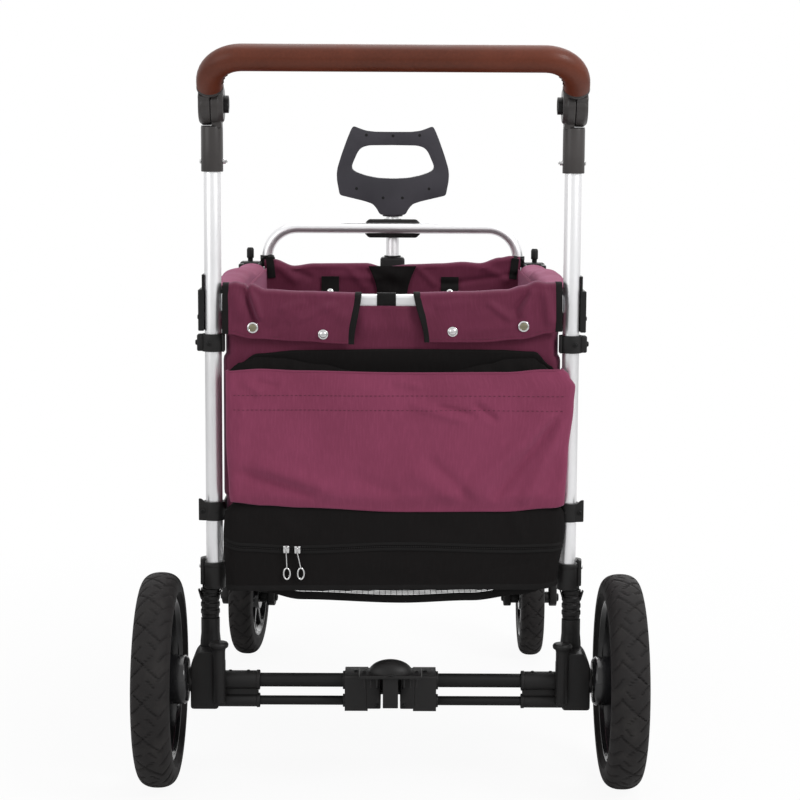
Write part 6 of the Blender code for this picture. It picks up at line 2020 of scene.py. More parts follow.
@dataclass
class PullHandle(Assembly):
    """The outer tube on its clevis and the inner tube with the ring grip."""

    outer_r: float = 0.01325
    inner_r: float = 0.0105
    collar_x: float = 0.0203
    collar_y: float = 0.017
    collar_z: tuple[float, float] = (0.6077, 0.6625)
    neck_z: float = 0.7337
    thickness: float = 0.035
    outline: tuple = (
        (0.0, 0.1366), (0.030, 0.1368), (0.045, 0.1386), (0.056, 0.1424), (0.0655, 0.1463),
        (0.0695, 0.1400), (0.076, 0.1243), (0.085, 0.0993), (0.0915, 0.0783), (0.0930, 0.0683),
        (0.0925, 0.0563), (0.0880, 0.0323), (0.067, 0.0273), (0.046, 0.0223), (0.033, 0.0178),
        (0.0265, 0.0103), (0.021, 0.0))
    opening: tuple = (
        (0.0, 0.1148), (0.040, 0.1143), (0.052, 0.1108), (0.0585, 0.1038), (0.0683, 0.0813),
        (0.0675, 0.0753), (0.062, 0.0708), (0.045, 0.0648), (0.025, 0.0608), (0.0, 0.0597))
    dots: tuple = (
        (0.0, 0.1300), (-0.0440, 0.1310), (0.0440, 0.1310), (-0.0600, 0.0432), (0.0600, 0.0432),
        (-0.0160, 0.0280), (0.0160, 0.0280))

    def build(self) -> None:
        """Make the tubes and the grip."""
        low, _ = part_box("pull_outer_tube")
        top = self.collar_z[1]
        base = (0, PULL_Y, low.z)
        shapes = [tube(base, Z_AXIS, top - low.z, self.outer_r, self.inner_r + 0.0003, 0.0008, 64)]
        self.shop.piece(
            "pull_tube_outer", "powder_coat", "pull_handle", *shapes, replaces=["pull_outer_tube"])
        collar = box(
            (-self.collar_x, self.collar_x), (PULL_Y - self.collar_y, PULL_Y + self.collar_y),
            (self.collar_z[0], top + 0.0004), 0.0050, 5)
        lip = tube((0, PULL_Y, top - 0.001), Z_AXIS, 0.0042, 0.0140, 0.0106, 0.0010, 64)
        self.shop.piece("pull_collar", "clamp_plastic", "pull_handle", collar, lip)
        low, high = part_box("pull_inner_tube")
        shape = tube(
            (0, PULL_Y, low.z), Z_AXIS, high.z - low.z, self.inner_r, self.inner_r - 0.0015, steps=64)
        self.shop.piece(
            "pull_tube_inner", "anodised_tube", "pull_extension", shape, replaces=["pull_inner_tube"])
        self.grip()

    def whole(self, half: Sequence[Point], curve: float) -> list:
        """Both halves of a symmetric outline, its corners rounded.

        Args:
            half: the right half, from the bottom or top.
            curve: how far the corners are rounded.

        Returns:
            The whole outline.
        """
        right = [(x, self.neck_z + z) for x, z in half]
        left = [(-x, z) for x, z in reversed(right) if x > 0]
        return soften(right + left, curve, 5)

    def grip(self) -> None:
        """The ring grip, with a soft rim, a neck ferrule and its screws."""
        outlines = [self.whole(self.outline, 0.0045), self.whole(self.opening, 0.0060)]
        shapes = [slab(outlines, self.thickness, (0, PULL_Y, 0), (0, -1, 0), 0.0068, 5)]
        shapes.append(spun(soften([
            (0.0106, self.neck_z - 0.003), (0.0165, self.neck_z - 0.003), (0.0175, self.neck_z + 0.005),
            (0.0106, self.neck_z + 0.005)], 0.0012, 3), (0, PULL_Y, 0)))
        self.shop.piece(
            "ring_grip", "grip_moulding", "pull_extension", *shapes, replaces=["pull_grip"], angle=50)
        wells = []
        for x, z in self.dots:
            spot = Vector((x, PULL_Y - self.thickness / 2, self.neck_z + z))
            wells.append(tube(spot + Y_AXIS * 0.0010, (0, -1, 0), 0.0012, 0.0025, 0.0013, 0.0004, 24))
            wells.append(rod(spot + Y_AXIS * 0.0010, spot - Y_AXIS * 0.0001, 0.0014, sides=16))
        self.shop.piece("ring_grip_screws", "powder_coat", "pull_extension", *wells)


@dataclass
class RearPanel(Assembly):
    """The tub's rear wall, with the two flaps that hang over the crossbar and its webbing loop."""

    wall_y: float = -0.3365
    wall_z: tuple[float, float] = (0.3735, 0.6440)
    wall_half: float = 0.2206
    clamp_z: float = 0.5945
    flap_y: float = -0.3398
    flap_inner: tuple[float, float] = (-0.3172, 0.636)
    turn_drop: float = 0.0052
    binding: float = 0.0086
    fold_share: float = 1.25
    bar_y: float = -0.3285
    bar_reach: float = 0.0113
    tops: tuple = (
        ((-0.2140, 0.6718), (-0.2040, 0.6738), (-0.1915, 0.6712), (-0.1885, 0.6655), (-0.1835, 0.6712),
         (-0.1640, 0.6640), (-0.1200, 0.6618), (-0.0400, 0.6600)),
        ((0.0200, 0.6605), (0.1000, 0.6625), (0.1480, 0.6650), (0.1700, 0.6705), (0.1880, 0.6765),
         (0.2010, 0.6745), (0.2140, 0.6748)))
    bottoms: tuple = (
        ((-0.2140, 0.6074), (-0.1807, 0.6012), (-0.1198, 0.5980), (-0.0500, 0.5945)),
        ((0.0380, 0.5975), (0.1136, 0.5978), (0.1655, 0.6022), (0.2068, 0.6105), (0.2140, 0.6122)))
    ends: tuple = ((-0.2162, (-0.0415, -0.0510)), (0.2162, (0.0290, 0.0435)))
    folds: tuple = creases(
        (-192.5, 669, -177.5, 626, 4.8, -5), (-185, 669, -171.5, 629, 4.2, 5.2),
        (-206, 664, -196, 630, 9, 3.2), (-142.1, 638, -116.3, 650.6, 6, 2.8),
        (-130.5, 622.6, -74.9, 646.7, 5.5, 3), (-158.9, 612.5, -126.6, 627.6, 6, -2.4),
        (-95, 650, -64, 629, 8, 2), (175.5, 662, 158.9, 639, 5, -4.2), (182, 666, 168, 635, 5, 4.8),
        (126.3, 648, 153.7, 628.3, 5, 3), (198, 664, 204, 625, 6, 3.4), (60, 644, 100, 652, 7, 2.2),
        (90, 612, 150, 620, 8, 1.8))
    snaps: tuple = (
        (-0.1807, 0.6156, 0.0072, "snap_cap"), (0.1703, 0.6192, 0.0072, "snap_cap"),
        (-0.0894, 0.6074, 0.0066, "chrome"), (0.0784, 0.6117, 0.0066, "chrome"))

    def build(self) -> None:
        """Make the wall, the flaps, their tapes and snaps, and the loop."""
        self.wall()
        for index, word in enumerate(SIDES.values()):
            self.flap(index, word)
        self.loop()
        for number, (x, z, radius, finish) in enumerate(self.snaps):
            self.snap(number, x, z, radius, finish)

    def wall(self) -> None:
        """The stretched wall, pulled up tight under the crossbar."""
        foot, top = self.wall_z
        def place(u: float, v: float) -> Point:
            """The wall's point at shares of its cloth.

            Args:
                u: share across it.
                v: share along it.

            Returns:
                The point.
            """
            z = foot + (top - foot) * v
            half = self.half_width(z)
            x = half * (2 * u - 1)
            turned = smoothly((abs(2 * u - 1) - 0.955) / 0.045)
            drawn = 0.0035 * math.exp(-((z - 0.618) / 0.014) ** 2) * smoothly((0.06 - abs(x)) / 0.03)
            lift = slackness(x, z, 16.0, 0.0016, 3.0) + drawn
            lift += 0.0012 * math.sin(x * 120 + z * 60) * smoothly((z - 0.59) / 0.04)
            return (x, self.wall_y - lift * (1 - turned) + 0.0150 * turned, z)
        part = cloth(0.427, top - foot, 120, 64, place)
        # Darkened maroon fabric: painted shade on the rear wall.
        self.shop.sheet(
            "tub_rear_wall", "shaded_maroon_cloth", self.body, part, 0.427, 0.0014, "stretched",
            ["rear_crossbar", "lower_clamp_left", "lower_clamp_right"], ["rear_wall"])

    def half_width(self, z: float) -> float:
        """How far the wall reaches towards the posts, pinched where their clamps are."""
        pinch = smoothly((0.020 - abs(z - self.clamp_z)) / 0.006) + smoothly((0.396 - z) / 0.006)
        return self.wall_half - 0.0034 * min(1.0, pinch) - 0.0016 * smoothly((z - 0.612) / 0.01)

    def top(self, index: int, x: float) -> float:
        """The height of a flap's upper edge."""
        return along(self.tops[index], x)

    def skin(self, index: int, x: float, z: float) -> float:
        """The y of a flap's outer face below its upper edge.

        Args:
            index: 0 for the left flap, 1 for the right.
            x: place across the wagon.
            z: height in metres.

        Returns:
            The y.
        """
        top, foot = self.top(index, x), along(self.bottoms[index], x)
        share = min(1.0, max(0.0, (top - z) / (top - foot)))
        base = self.flap_y - 0.0062 * smoothly(share * 1.8) + 0.0008 * smoothly((share - 0.7) / 0.3)
        lift = self.fold_share * lifted(self.folds, x, z) + slackness(x, z, 26.0, 0.0032, 7.0)
        return base - lift * smoothly(share * 3.5)

    def spot(self, index: int, u: float, v: float) -> Point:
        """A point of a flap: from its inner edge inside the tub, over the bar and down.

        Args:
            index: 0 for the left flap, 1 for the right.
            u: share across it.
            v: share along it.

        Returns:
            The point.
        """
        outer, (inner_top, inner_foot) = self.ends[index]
        inner = inner_top + (inner_foot - inner_top) * smoothly((v - 0.35) / 0.65)
        x = outer + (inner - outer) * u
        top, foot = self.top(index, x), along(self.bottoms[index], x)
        if v < 0.25:
            y, start = self.flap_inner
            return (x, y, start + (top - self.turn_drop - start) * v / 0.25)
        if v < 0.45:
            turn = math.pi * (v - 0.25) / 0.20
            return (
                x, self.bar_y + self.bar_reach * math.cos(turn),
                top - self.turn_drop + self.turn_drop * math.sin(turn))
        z = top - self.turn_drop + (foot - top + self.turn_drop) * (v - 0.45) / 0.55
        return (x, self.skin(index, x, z), z)

    def flap(self, index: int, word: str) -> None:
        """A flap with the black tapes on its two upright edges and the hem at its foot.

        Args:
            index: 0 for the left flap, 1 for the right.
            word: the side in words, for the names.
        """
        trims = []
        for edge, share in (("outer", 0.0), ("inner", 0.985)):
            line = [Vector(self.spot(index, share, 0.02 + 0.98 * step / 44)) for step in range(45)]
            tape = swept(line, ribbon(self.binding, 0.0030), (0, 1, 0))
            trims.append(self.fit(f"flap_tape_{edge}_{word}", "black_webbing", tape))
        hem = [Vector(self.spot(index, 0.03 + 0.94 * step / 60, 0.962)) for step in range(61)]
        seam = stitches(hem, 0.0040, 0.0026, 0.00040, (0, -0.0009, 0))
        trims.append(self.fit(f"flap_hem_stitches_{word}", "binding_thread", *seam))
        part = cloth(0.172, 0.115, 110, 80, lambda u, v: self.spot(index, u, v))
        # Darkened maroon fabric: painted shade on the flap.
        self.shop.sheet(
            f"tub_flap_{word}", "shaded_maroon_cloth", self.body, part, 0.172, 0.0016, "hung", ["rear_crossbar"],
            offset=0.0, trims=trims)

    def loop(self) -> None:
        """The webbing that ties the wall to the crossbar."""
        low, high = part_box("rear_crossbar")
        gap, x = 0.0012, -0.0076
        corners = [
            (x, low.y - gap, (low.z + high.z) / 2), (x, low.y - gap, high.z + gap),
            (x, high.y + gap, high.z + gap), (x, high.y + gap, low.z - gap),
            (x, low.y - gap, low.z - gap)]
        ring = swept(soften(corners, 0.0022, 4), ribbon(0.0248, 0.0016), (0, -1, 0), loop=True)
        self.fit("crossbar_loop", "black_webbing", ring)

    def snap(self, number: int, x: float, z: float, radius: float, finish: str) -> None:
        """A press stud: a ring with a domed cap, on a flap.

        Args:
            number: for its name.
            x: place across the wagon.
            z: height in metres.
            radius: of the ring.
            finish: which of the finishes.
        """
        index = 0 if x < 0 else 1
        face = (x, self.skin(index, x, z) - 0.0008, z)
        rim = soften(
            [(radius * 0.70, 0.0), (radius, 0.0), (radius, 0.0011), (radius * 0.70, 0.0017)], 0.0004, 3)
        self.fit(f"snap_ring_{number}", "chrome", spun(rim, face, (0, -1, 0), 40))
        crown = 0.0030 if finish == "chrome" else 0.0018
        self.fit(f"snap_cap_{number}", finish, stud(face, radius * 0.80, crown))


@dataclass
class RearPocket(Assembly):
    """The wide pocket on the rear wall: outer cloth, black lining and its slack gussets."""

    front_y: float = -0.3663
    wall_y: float = -0.3385
    lining_y: float = -0.3400
    gusset_y: float = -0.3468
    fold_share: float = 2.1
    seams: tuple[float, float] = (0.530, 0.511)
    top_line: tuple = (
        (-0.2141, 0.5601), (-0.170, 0.5630), (-0.119, 0.5612), (0.010, 0.5592), (0.139, 0.5602),
        (0.191, 0.5640), (0.2165, 0.5640), (0.2372, 0.5670))
    foot_line: tuple = (
        (-0.2141, 0.3895), (-0.170, 0.3850), (-0.118, 0.3822), (0.012, 0.3765), (0.142, 0.3775),
        (0.2000, 0.3830), (0.2260, 0.3885))
    left_reach: tuple = ((0.378, 0.2085), (0.400, 0.2105), (0.470, 0.2141), (0.5600, 0.2141))
    right_reach: tuple = (
        (0.378, 0.2210), (0.3893, 0.2254), (0.450, 0.2285), (0.520, 0.2352), (0.5427, 0.2368),
        (0.556, 0.2290), (0.568, 0.2175))
    folds: tuple = creases(
        (-190, 550, -170, 535, 8, 2.2), (-178, 548, -150, 542, 6, -1.6), (5, 552, 35, 545, 7, 1.8),
        (62, 515, 107, 504, 5.5, -2), (110, 517, 134, 500, 5.5, -2.2), (30, 518, 90, 500, 7, 1.6),
        (202, 502, 105, 408, 10, 2.6), (211, 496, 135, 398, 7.5, -2.6), (222, 490, 172, 393, 8.5, 2.4),
        (30, 430, 80, 400, 14, 2.2), (50, 445, 100, 395, 9, -1.8), (-170, 438, -80, 408, 11, 2.4),
        (-196, 428, -105, 399, 8.5, -2.6), (-45, 422, 5, 400, 12, -1.8),
        (-195, 530, -200, 420, 11, 1.4))

    def build(self) -> None:
        """Make the pocket, its hem and stitches, the lining and the gussets."""
        hem = swept(sampled(lambda share: self.spot(share, 1.0), 4, 156), circle(0.0015, 12), (0, 0, 1))
        trims = [self.fit("pocket_hem", "maroon_cloth", hem)]
        for number, height in enumerate(self.seams):
            line = sampled(lambda share, z=height: self.at_height(share, z), 8, 152)
            thread = stitches(line, 0.0042, 0.0028, 0.00045, (0, -0.0009, 0))
            trims.append(self.fit(f"pocket_stitches_{number}", "binding_thread", *thread))
        part = cloth(0.50, 0.182, 200, 84, self.spot)
        self.shop.sheet(
            "pocket_cloth", "maroon_cloth", self.body, part, 0.50, 0.0016, "stretched",
            ["tub_rear_wall"], ["rear_pocket"], offset=0.0, trims=trims)
        self.lining()
        self.gusset(
            "left",
            (
                (-0.2100, 0.5610), (-0.2045, 0.5660), (-0.1990, 0.5700), (-0.1738, 0.5778),
                (-0.1480, 0.5764), (-0.0917, 0.5685), (-0.0540, 0.5610)))
        self.gusset(
            "right",
            (
                (0.0800, 0.5610), (0.1253, 0.5700), (0.1500, 0.5768), (0.1830, 0.5778),
                (0.1960, 0.5700), (0.2035, 0.5640), (0.2110, 0.5610)))

    def plan(self, u: float) -> tuple[float, float]:
        """The pocket's outline from above: -1 to 1 across, and 0 at the wall to 1 at its front.

        Args:
            u: share across it.

        Returns:
            The share across, and the share of the depth.
        """
        side = -1 if u < 0.5 else 1
        run = 1 - abs(u - 0.5) * 2
        if run < 0.05:
            return side * 1.0, run / 0.05 * 0.72
        turn = min(1.0, (run - 0.05) / 0.05)
        inset = 0.045 * (1 - math.cos(turn * math.pi / 2))
        reach = 1.0 - inset - 0.955 * max(0.0, (run - 0.10) / 0.90)
        return side * reach, 0.72 + 0.28 * math.sin(turn * math.pi / 2)

    def at_height(self, u: float, z: float) -> Point:
        """The point of the pocket's skin at a height.

        Args:
            u: share across it.
            z: height in metres.

        Returns:
            The point.
        """
        across, out = self.plan(u)
        reach = along(self.left_reach if across < 0 else self.right_reach, z)
        x = across * reach
        out -= 0.30 * smoothly((0.402 - z) / 0.026) * smoothly(out)
        y = self.wall_y + (self.front_y - self.wall_y) * out
        lift = self.fold_share * lifted(self.folds, x, z) + slackness(x, z, 11.0, 0.0050, 11.0)
        held = smoothly((0.5655 - z) / 0.03) * smoothly((z - 0.376) / 0.03) * smoothly(
            (1 - abs(across)) / 0.10)
        hollow = 0.0022 * math.exp(-((z - 0.470) / 0.05) ** 2) * smoothly((1 - abs(across)) / 0.5)
        return (x, y - (lift - hollow) * held, z)

    def spot(self, u: float, v: float) -> Point:
        """A point of the pocket at shares of its cloth.

        Args:
            u: share across it.
            v: share along it.

        Returns:
            The point.
        """
        across, _ = self.plan(u)
        x = across * 0.214
        foot, top = along(self.foot_line, x), along(self.top_line, x)
        return self.at_height(u, foot + (top - foot) * v)

    def lining(self) -> None:
        """The black cloth on the wall behind the pocket's mouth."""
        tops = (
            (-0.2085, 0.5590), (-0.2045, 0.5650), (-0.1746, 0.5815), (-0.1200, 0.5862),
            (0.0100, 0.5882), (0.1400, 0.5878), (0.1857, 0.5858), (0.2060, 0.5680), (0.2135, 0.5600))
        def place(u: float, v: float) -> Point:
            """The lining's point at shares of its cloth.

            Args:
                u: share across it.
                v: share along it.

            Returns:
                The point.
            """
            x = -0.2085 + 0.4215 * u
            z = 0.430 + (along(tops, x) - 0.430) * v
            return (
                x, self.lining_y - 0.0006 * math.sin(x * 90) - slackness(x, z, 20.0, 0.0016, 5.0), z)
        part = cloth(0.42, 0.155, 90, 40, place)
        self.shop.sheet(
            "pocket_lining", "black_cloth", self.body, part, 0.42, 0.0012, "stretched",
            ["tub_rear_wall"])

    def gusset(self, word: str, line: Sequence[Point]) -> None:
        """The slack black side of the pocket, folded down along a crease.

        Args:
            word: the side in words, for the names.
            line: the cloth's edge, as places across and heights.
        """
        first, last = line[0][0], line[-1][0]
        def place(u: float, v: float) -> Point:
            """The gusset's point at shares of its cloth.

            Args:
                u: share across it.
                v: share along it.

            Returns:
                The point.
            """
            x = first + (last - first) * u
            top = along(line, x)
            z = 0.545 + (top - 0.545) * v
            lean = 0.0085 * (1 - v) + 0.0020 * math.sin(v * math.pi)
            wave = 0.0012 * math.sin(x * 210 + v * 3.0) + slackness(x, z, 40.0, 0.0014, 9.0)
            return (x, self.gusset_y - lean - wave * (1 - abs(2 * v - 1)), z)
        part = cloth(last - first, 0.035, 60, 16, place)
        self.shop.sheet(
            f"pocket_gusset_{word}", "black_cloth", self.body, part, last - first, 0.0010, "folded",
            ["pocket_lining"])


@dataclass
class ZipBand(Assembly):
    """The black band below the pocket, with a zip across it and two chrome pulls."""

    top_line: tuple = (
        (-0.2150, 0.3900), (-0.205, 0.3890), (-0.118, 0.3870), (0.012, 0.3830), (0.143, 0.3840),
        (0.190, 0.3870), (0.216, 0.3895))
    foot_line: tuple = (
        (-0.217, 0.2724), (-0.118, 0.2734), (0.013, 0.2747), (0.171, 0.2763), (0.218, 0.2808))
    zip_line: tuple = (
        (-0.2200, 0.3351), (-0.180, 0.3285), (-0.118, 0.3255), (0.013, 0.3308), (0.144, 0.3281),
        (0.190, 0.3295), (0.2250, 0.3320))
    left_reach: tuple = ((0.272, 0.2165), (0.339, 0.2202), (0.370, 0.2185), (0.389, 0.2050))
    right_reach: tuple = (
        (0.272, 0.2165), (0.281, 0.2180), (0.3543, 0.2282), (0.372, 0.2265), (0.389, 0.2150))
    folds: tuple = creases(
        (-150, 365, -120, 345, 10, 2), (40, 360, 90, 350, 12, -1.6), (160, 378, 170, 345, 8, 2),
        (-60, 308, 30, 303, 12, 1.6), (130, 300, 180, 312, 10, -1.6))
    pulls: tuple = ((-0.1371, -0.1363), (-0.1225, -0.1180))
    wall_y: float = -0.3385
    link_foot: float = 0.3006
    ring_z: float = 0.2938

    def build(self) -> None:
        """Make the band, the zip and the pulls."""
        trims = []
        for number, offset in enumerate((-0.0036, 0.0036)):
            line = sampled(lambda share, up=offset: self.on_zip(share, up), 2, 158)
            tape = swept(line, ribbon(0.0042, 0.0014), (0, -1, 0))
            trims.append(self.fit(f"zip_tape_{number}", "black_webbing", tape))
        line = evenly(sampled(lambda share: self.on_zip(share, 0.0), 2, 158), 0.003)
        coil = stitches(line, 0.0022, 0.0013, 0.0010)
        trims.append(self.fit("zip_coil", "clamp_plastic", *coil))
        edge = sampled(lambda share: self.spot(share, 0.006), 0, 160)
        trims.append(self.fit(
            "band_binding", "black_webbing", swept(edge, ribbon(0.0075, 0.0026), (0, -1, 0))))
        part = cloth(0.50, 0.108, 180, 50, self.spot)
        self.shop.sheet(
            "zip_band_cloth", "black_cloth", self.body, part, 0.50, 0.0016, "stretched",
            ["tub_rear_wall", "net_bag"], offset=0.0, trims=trims)
        for number, (x, tail) in enumerate(self.pulls):
            self.pull(number, x, tail)

    def skin(self, u: float, z: float) -> Point:
        """The point of the band at a height.

        Args:
            u: share across it.
            z: height in metres.

        Returns:
            The point.
        """
        side = -1 if u < 0.5 else 1
        run = 1 - abs(u - 0.5) * 2
        turn = min(1.0, run / 0.13)
        across = side * (
            1.0 - 0.075 * (1 - math.cos(turn * math.pi / 2)) - 0.925 * max(0.0, (run - 0.13) / 0.87))
        x = across * along(self.left_reach if side < 0 else self.right_reach, z)
        out = 0.0165 * math.sin(turn * math.pi / 2)
        bulge = 0.0020 * math.cos(min(1.0, abs(z - 0.333) / 0.055) * math.pi / 2)
        lift = (
            lifted(self.folds, x, z) + slackness(x, z, 14.0, 0.0022, 17.0)
            + bulge) * smoothly(run / 0.2)
        return (x, self.wall_y - out - lift, z)

    def spot(self, u: float, v: float) -> Point:
        """A point of the band at shares of its cloth.

        Args:
            u: share across it.
            v: share along it.

        Returns:
            The point.
        """
        x = (u - 0.5) * 0.43
        foot, top = along(self.foot_line, x), along(self.top_line, x)
        return self.skin(u, foot + (top - foot) * v)

    def on_zip(self, u: float, offset: float) -> Point:
        """A point of the zip, offset above or below its middle, just proud of the band.

        Args:
            u: share across it.
            offset: above its middle.

        Returns:
            The point.
        """
        x = (u - 0.5) * 0.44
        spot = self.skin(u, along(self.zip_line, x) + offset)
        return (spot[0], spot[1] - 0.0010, spot[2])

    def pull(self, number: int, x: float, tail: float) -> None:
        """A slider with a link and a ring that hang from it.

        Args:
            number: for its name.
            x: place across the wagon.
            tail: the height of the ring's foot.
        """
        z = along(self.zip_line, x)
        y = self.skin(0.5 + x / 0.44, z)[1]
        slider = box(
            (x - 0.0042, x + 0.0042), (y - 0.0046, y - 0.0008), (z - 0.0052, z + 0.0052), 0.0014, 3)
        bridge = swept(soften([
            (x, y - 0.0040, z + 0.0040), (x, y - 0.0072, z + 0.0030), (x, y - 0.0072, z - 0.0030),
            (x, y - 0.0040, z - 0.0042)], 0.0018, 4, closed=False), circle(0.0009, 10), (1, 0, 0))
        top, low = z - 0.0035, self.link_foot
        link = swept([
            (x, y - 0.0066, top), ((x + tail) / 2, y - 0.0040, (top + low) / 2),
            (tail, y - 0.0034, low)], circle(0.0009, 10), (1, 0, 0))
        oval = [
            (tail + 0.0042 * math.cos(turn), y - 0.0034, self.ring_z + 0.0074 * math.sin(turn))
            for turn in (math.tau * step / 40 for step in range(40))]
        ring = swept(oval, circle(0.0012, 10), (0, -1, 0), loop=True)
        self.fit(f"zip_pull_{number}", "chrome", slider, bridge, link, ring)


@dataclass
class NetBag(Assembly):
    """The bag of netting that hangs under the floor, with bound edges."""

    keep: float = 0.423
    back_y: float = -0.3320
    front_y: float = 0.3960
    half: float = 0.2120
    top: float = 0.3550
    cord: float = 0.0010
    foot_line: tuple = (
        (-0.212, 0.2765), (-0.170, 0.2690), (-0.119, 0.2590), (0.0136, 0.2548), (0.1065, 0.2585),
        (0.173, 0.2670), (0.212, 0.2780))

    def build(self) -> None:
        """Make the bag's net, its binding and its rim."""
        edge = [
            Vector((x, self.back_y - 0.0010, self.foot(x, 0.0)))
            for x in (-self.half + 2 * self.half * step / 80 for step in range(81))]
        binding = self.fit(
            "net_bag_binding", "black_webbing", swept(edge, ribbon(0.0105, 0.0030), (0, -1, 0)))
        sides = [
            Vector((side * (self.half + 0.0012), y, self.top)) for side in SIDES
            for y in (self.back_y, self.front_y)]
        rims = [
            swept(sides[:2], ribbon(0.014, 0.0024), (-1, 0, 0)),
            swept(sides[2:], ribbon(0.014, 0.0024), (1, 0, 0)),
            swept(
                [(-self.half, self.front_y, self.top), (self.half, self.front_y, self.top)],
                ribbon(0.014, 0.0024), (0, 1, 0))]
        rim = self.fit("net_bag_rim", "black_webbing", *rims)
        width, depth = 0.62, self.front_y - self.back_y
        part = cloth(width, depth, 82, 96, self.spot)
        bag = self.shop.mesh_object("net_bag", [part], False, 60.0)
        wire = bag.modifiers.new("net", "WIREFRAME")
        wire.thickness = self.cord
        wire.use_boundary = True
        wire.use_even_offset = False
        self.shop.hang(bag, "net_cord", self.body, ["storage_pouch"])
        self.shop.squash_with_fold(self.keep, bag, binding, rim)

    def foot(self, x: float, along_share: float) -> float:
        """How low the bag's net hangs."""
        sag = 0.0045 * math.sin(math.pi * along_share)
        return along(self.foot_line, x) - sag + 0.006 * smoothly((along_share - 0.9) / 0.1)

    def spot(self, u: float, v: float) -> Point:
        """A point of the net: down one side, across the bottom and up the other side.

        Args:
            u: share across it.
            v: share along it.

        Returns:
            The point.
        """
        y = self.back_y + (self.front_y - self.back_y) * v
        rise = 0.16
        if u < rise or u > 1 - rise:
            side = -1 if u < 0.5 else 1
            share = (u if u < 0.5 else 1 - u) / rise
            foot = self.foot(self.half, v)
            belly = 0.0030 * math.sin(math.pi * share)
            return (side * (self.half - 0.001 + belly), y, self.top + (foot - self.top) * share)
        x = -self.half + 2 * self.half * (u - rise) / (1 - 2 * rise)
        return (x, y, self.foot(x, v))


@dataclass
class SideWalls(Assembly):
    """The side walls: inside the rails, over them and down as an outer lip."""

    keep: float = 0.4177
    crown_keep: float = 0.355
    peaks: tuple = (
        (-0.2762, 0.6640), (-0.0500, 0.6652), (0.0800, 0.6652), (0.1600, 0.6580), (0.3500, 0.6552))
    foot: float = 0.3925
    inner_x: float = 0.2084
    outer_x: float = 0.2500
    lip: float = 0.6205
    panel_top: float = 0.6500
    roll_foot: float = 0.6200
    roll_r: float = 0.0110
    back_y: float = -0.3330
    crown_start: float = -0.2762
    crown_end: float = 0.3500
    front_y: float = 0.3845

    def build(self) -> None:
        """Make both sides."""
        for side, word in SIDES.items():
            self.inner_wall(side, word)
            self.crown(side, word)

    def inner_wall(self, side: int, word: str) -> None:
        """The panel inside the tub, from its rear wall to its front wall.

        Args:
            side: -1 for the left side, 1 for the right.
            word: the side in words, for the names.
        """
        length = self.front_y - self.back_y
        def place(u: float, v: float) -> Point:
            """The panel's point at shares of its cloth.

            Args:
                u: share across it.
                v: share along it.

            Returns:
                The point.
            """
            y = self.back_y + length * u
            top = self.panel_top - 0.0040 * u
            z = self.foot + (top - self.foot) * v
            slack = slackness(y, z, 9.0, 0.0022, 21.0 + side) + 0.0004
            return (side * (self.inner_x - slack * math.sin(math.pi * min(1.0, max(0.0, v)))), y, z)
        part = cloth(length, 0.26, 150, 50, place)
        panel = self.shop.sheet(
            f"tub_side_{word}", "maroon_cloth", self.body, part, length, 0.0014, "stretched",
            [f"top_rail_rear_{word}", f"top_rail_front_{word}"], offset=0.0)
        self.shop.squash_with_fold(self.keep, panel)

    def crown(self, side: int, word: str) -> None:
        """The soft roll over the rails, which ends in a loose lip outside them.

        Args:
            side: -1 for the left side, 1 for the right.
            word: the side in words, for the names.
        """
        length = self.crown_end - self.crown_start
        width = self.outer_x - self.inner_x
        def place(u: float, v: float) -> Point:
            """The roll's point: up its inner face, over the rails and down its lip.

            Args:
                u: share across it.
                v: share along it.

            Returns:
                The point.
            """
            y = self.crown_start + length * u
            peak = along(self.peaks, y) + slackness(y, 0.0, 14.0, 0.0022, 31.0 + side)
            puff = 1.0 + 0.12 * slackness(y, 1.0, 22.0, 1.0, 37.0)
            if v < 0.25:
                x = self.inner_x + 0.0014
                z = self.roll_foot + (peak - self.roll_r - self.roll_foot) * v / 0.25
            elif v < 0.70:
                turn = math.pi * (v - 0.25) / 0.45
                x = self.inner_x + 0.0014 + (width - 0.0014) / 2 * (1 - math.cos(turn))
                z = peak - self.roll_r + self.roll_r * puff * math.sin(turn)
            else:
                share = (v - 0.70) / 0.30
                x = self.outer_x + 0.0012 * math.sin(share * math.pi) + slackness(
                    y, share, 18.0, 0.0020, 41.0)
                z = peak - self.roll_r + (self.lip - peak + self.roll_r) * share
            return (side * x, y, z)
        part = cloth(length, 0.135, 160, 48, place)
        roll = self.shop.sheet(
            f"tub_crown_{word}", "maroon_cloth", self.body, part, length, 0.0014, "draped",
            [f"top_rail_rear_{word}", f"top_rail_front_{word}"], [f"side_wall_{word}"], offset=0.0)
        self.shop.squash_with_fold(self.crown_keep, roll, anchor_y=self.crown_start - 0.0018)


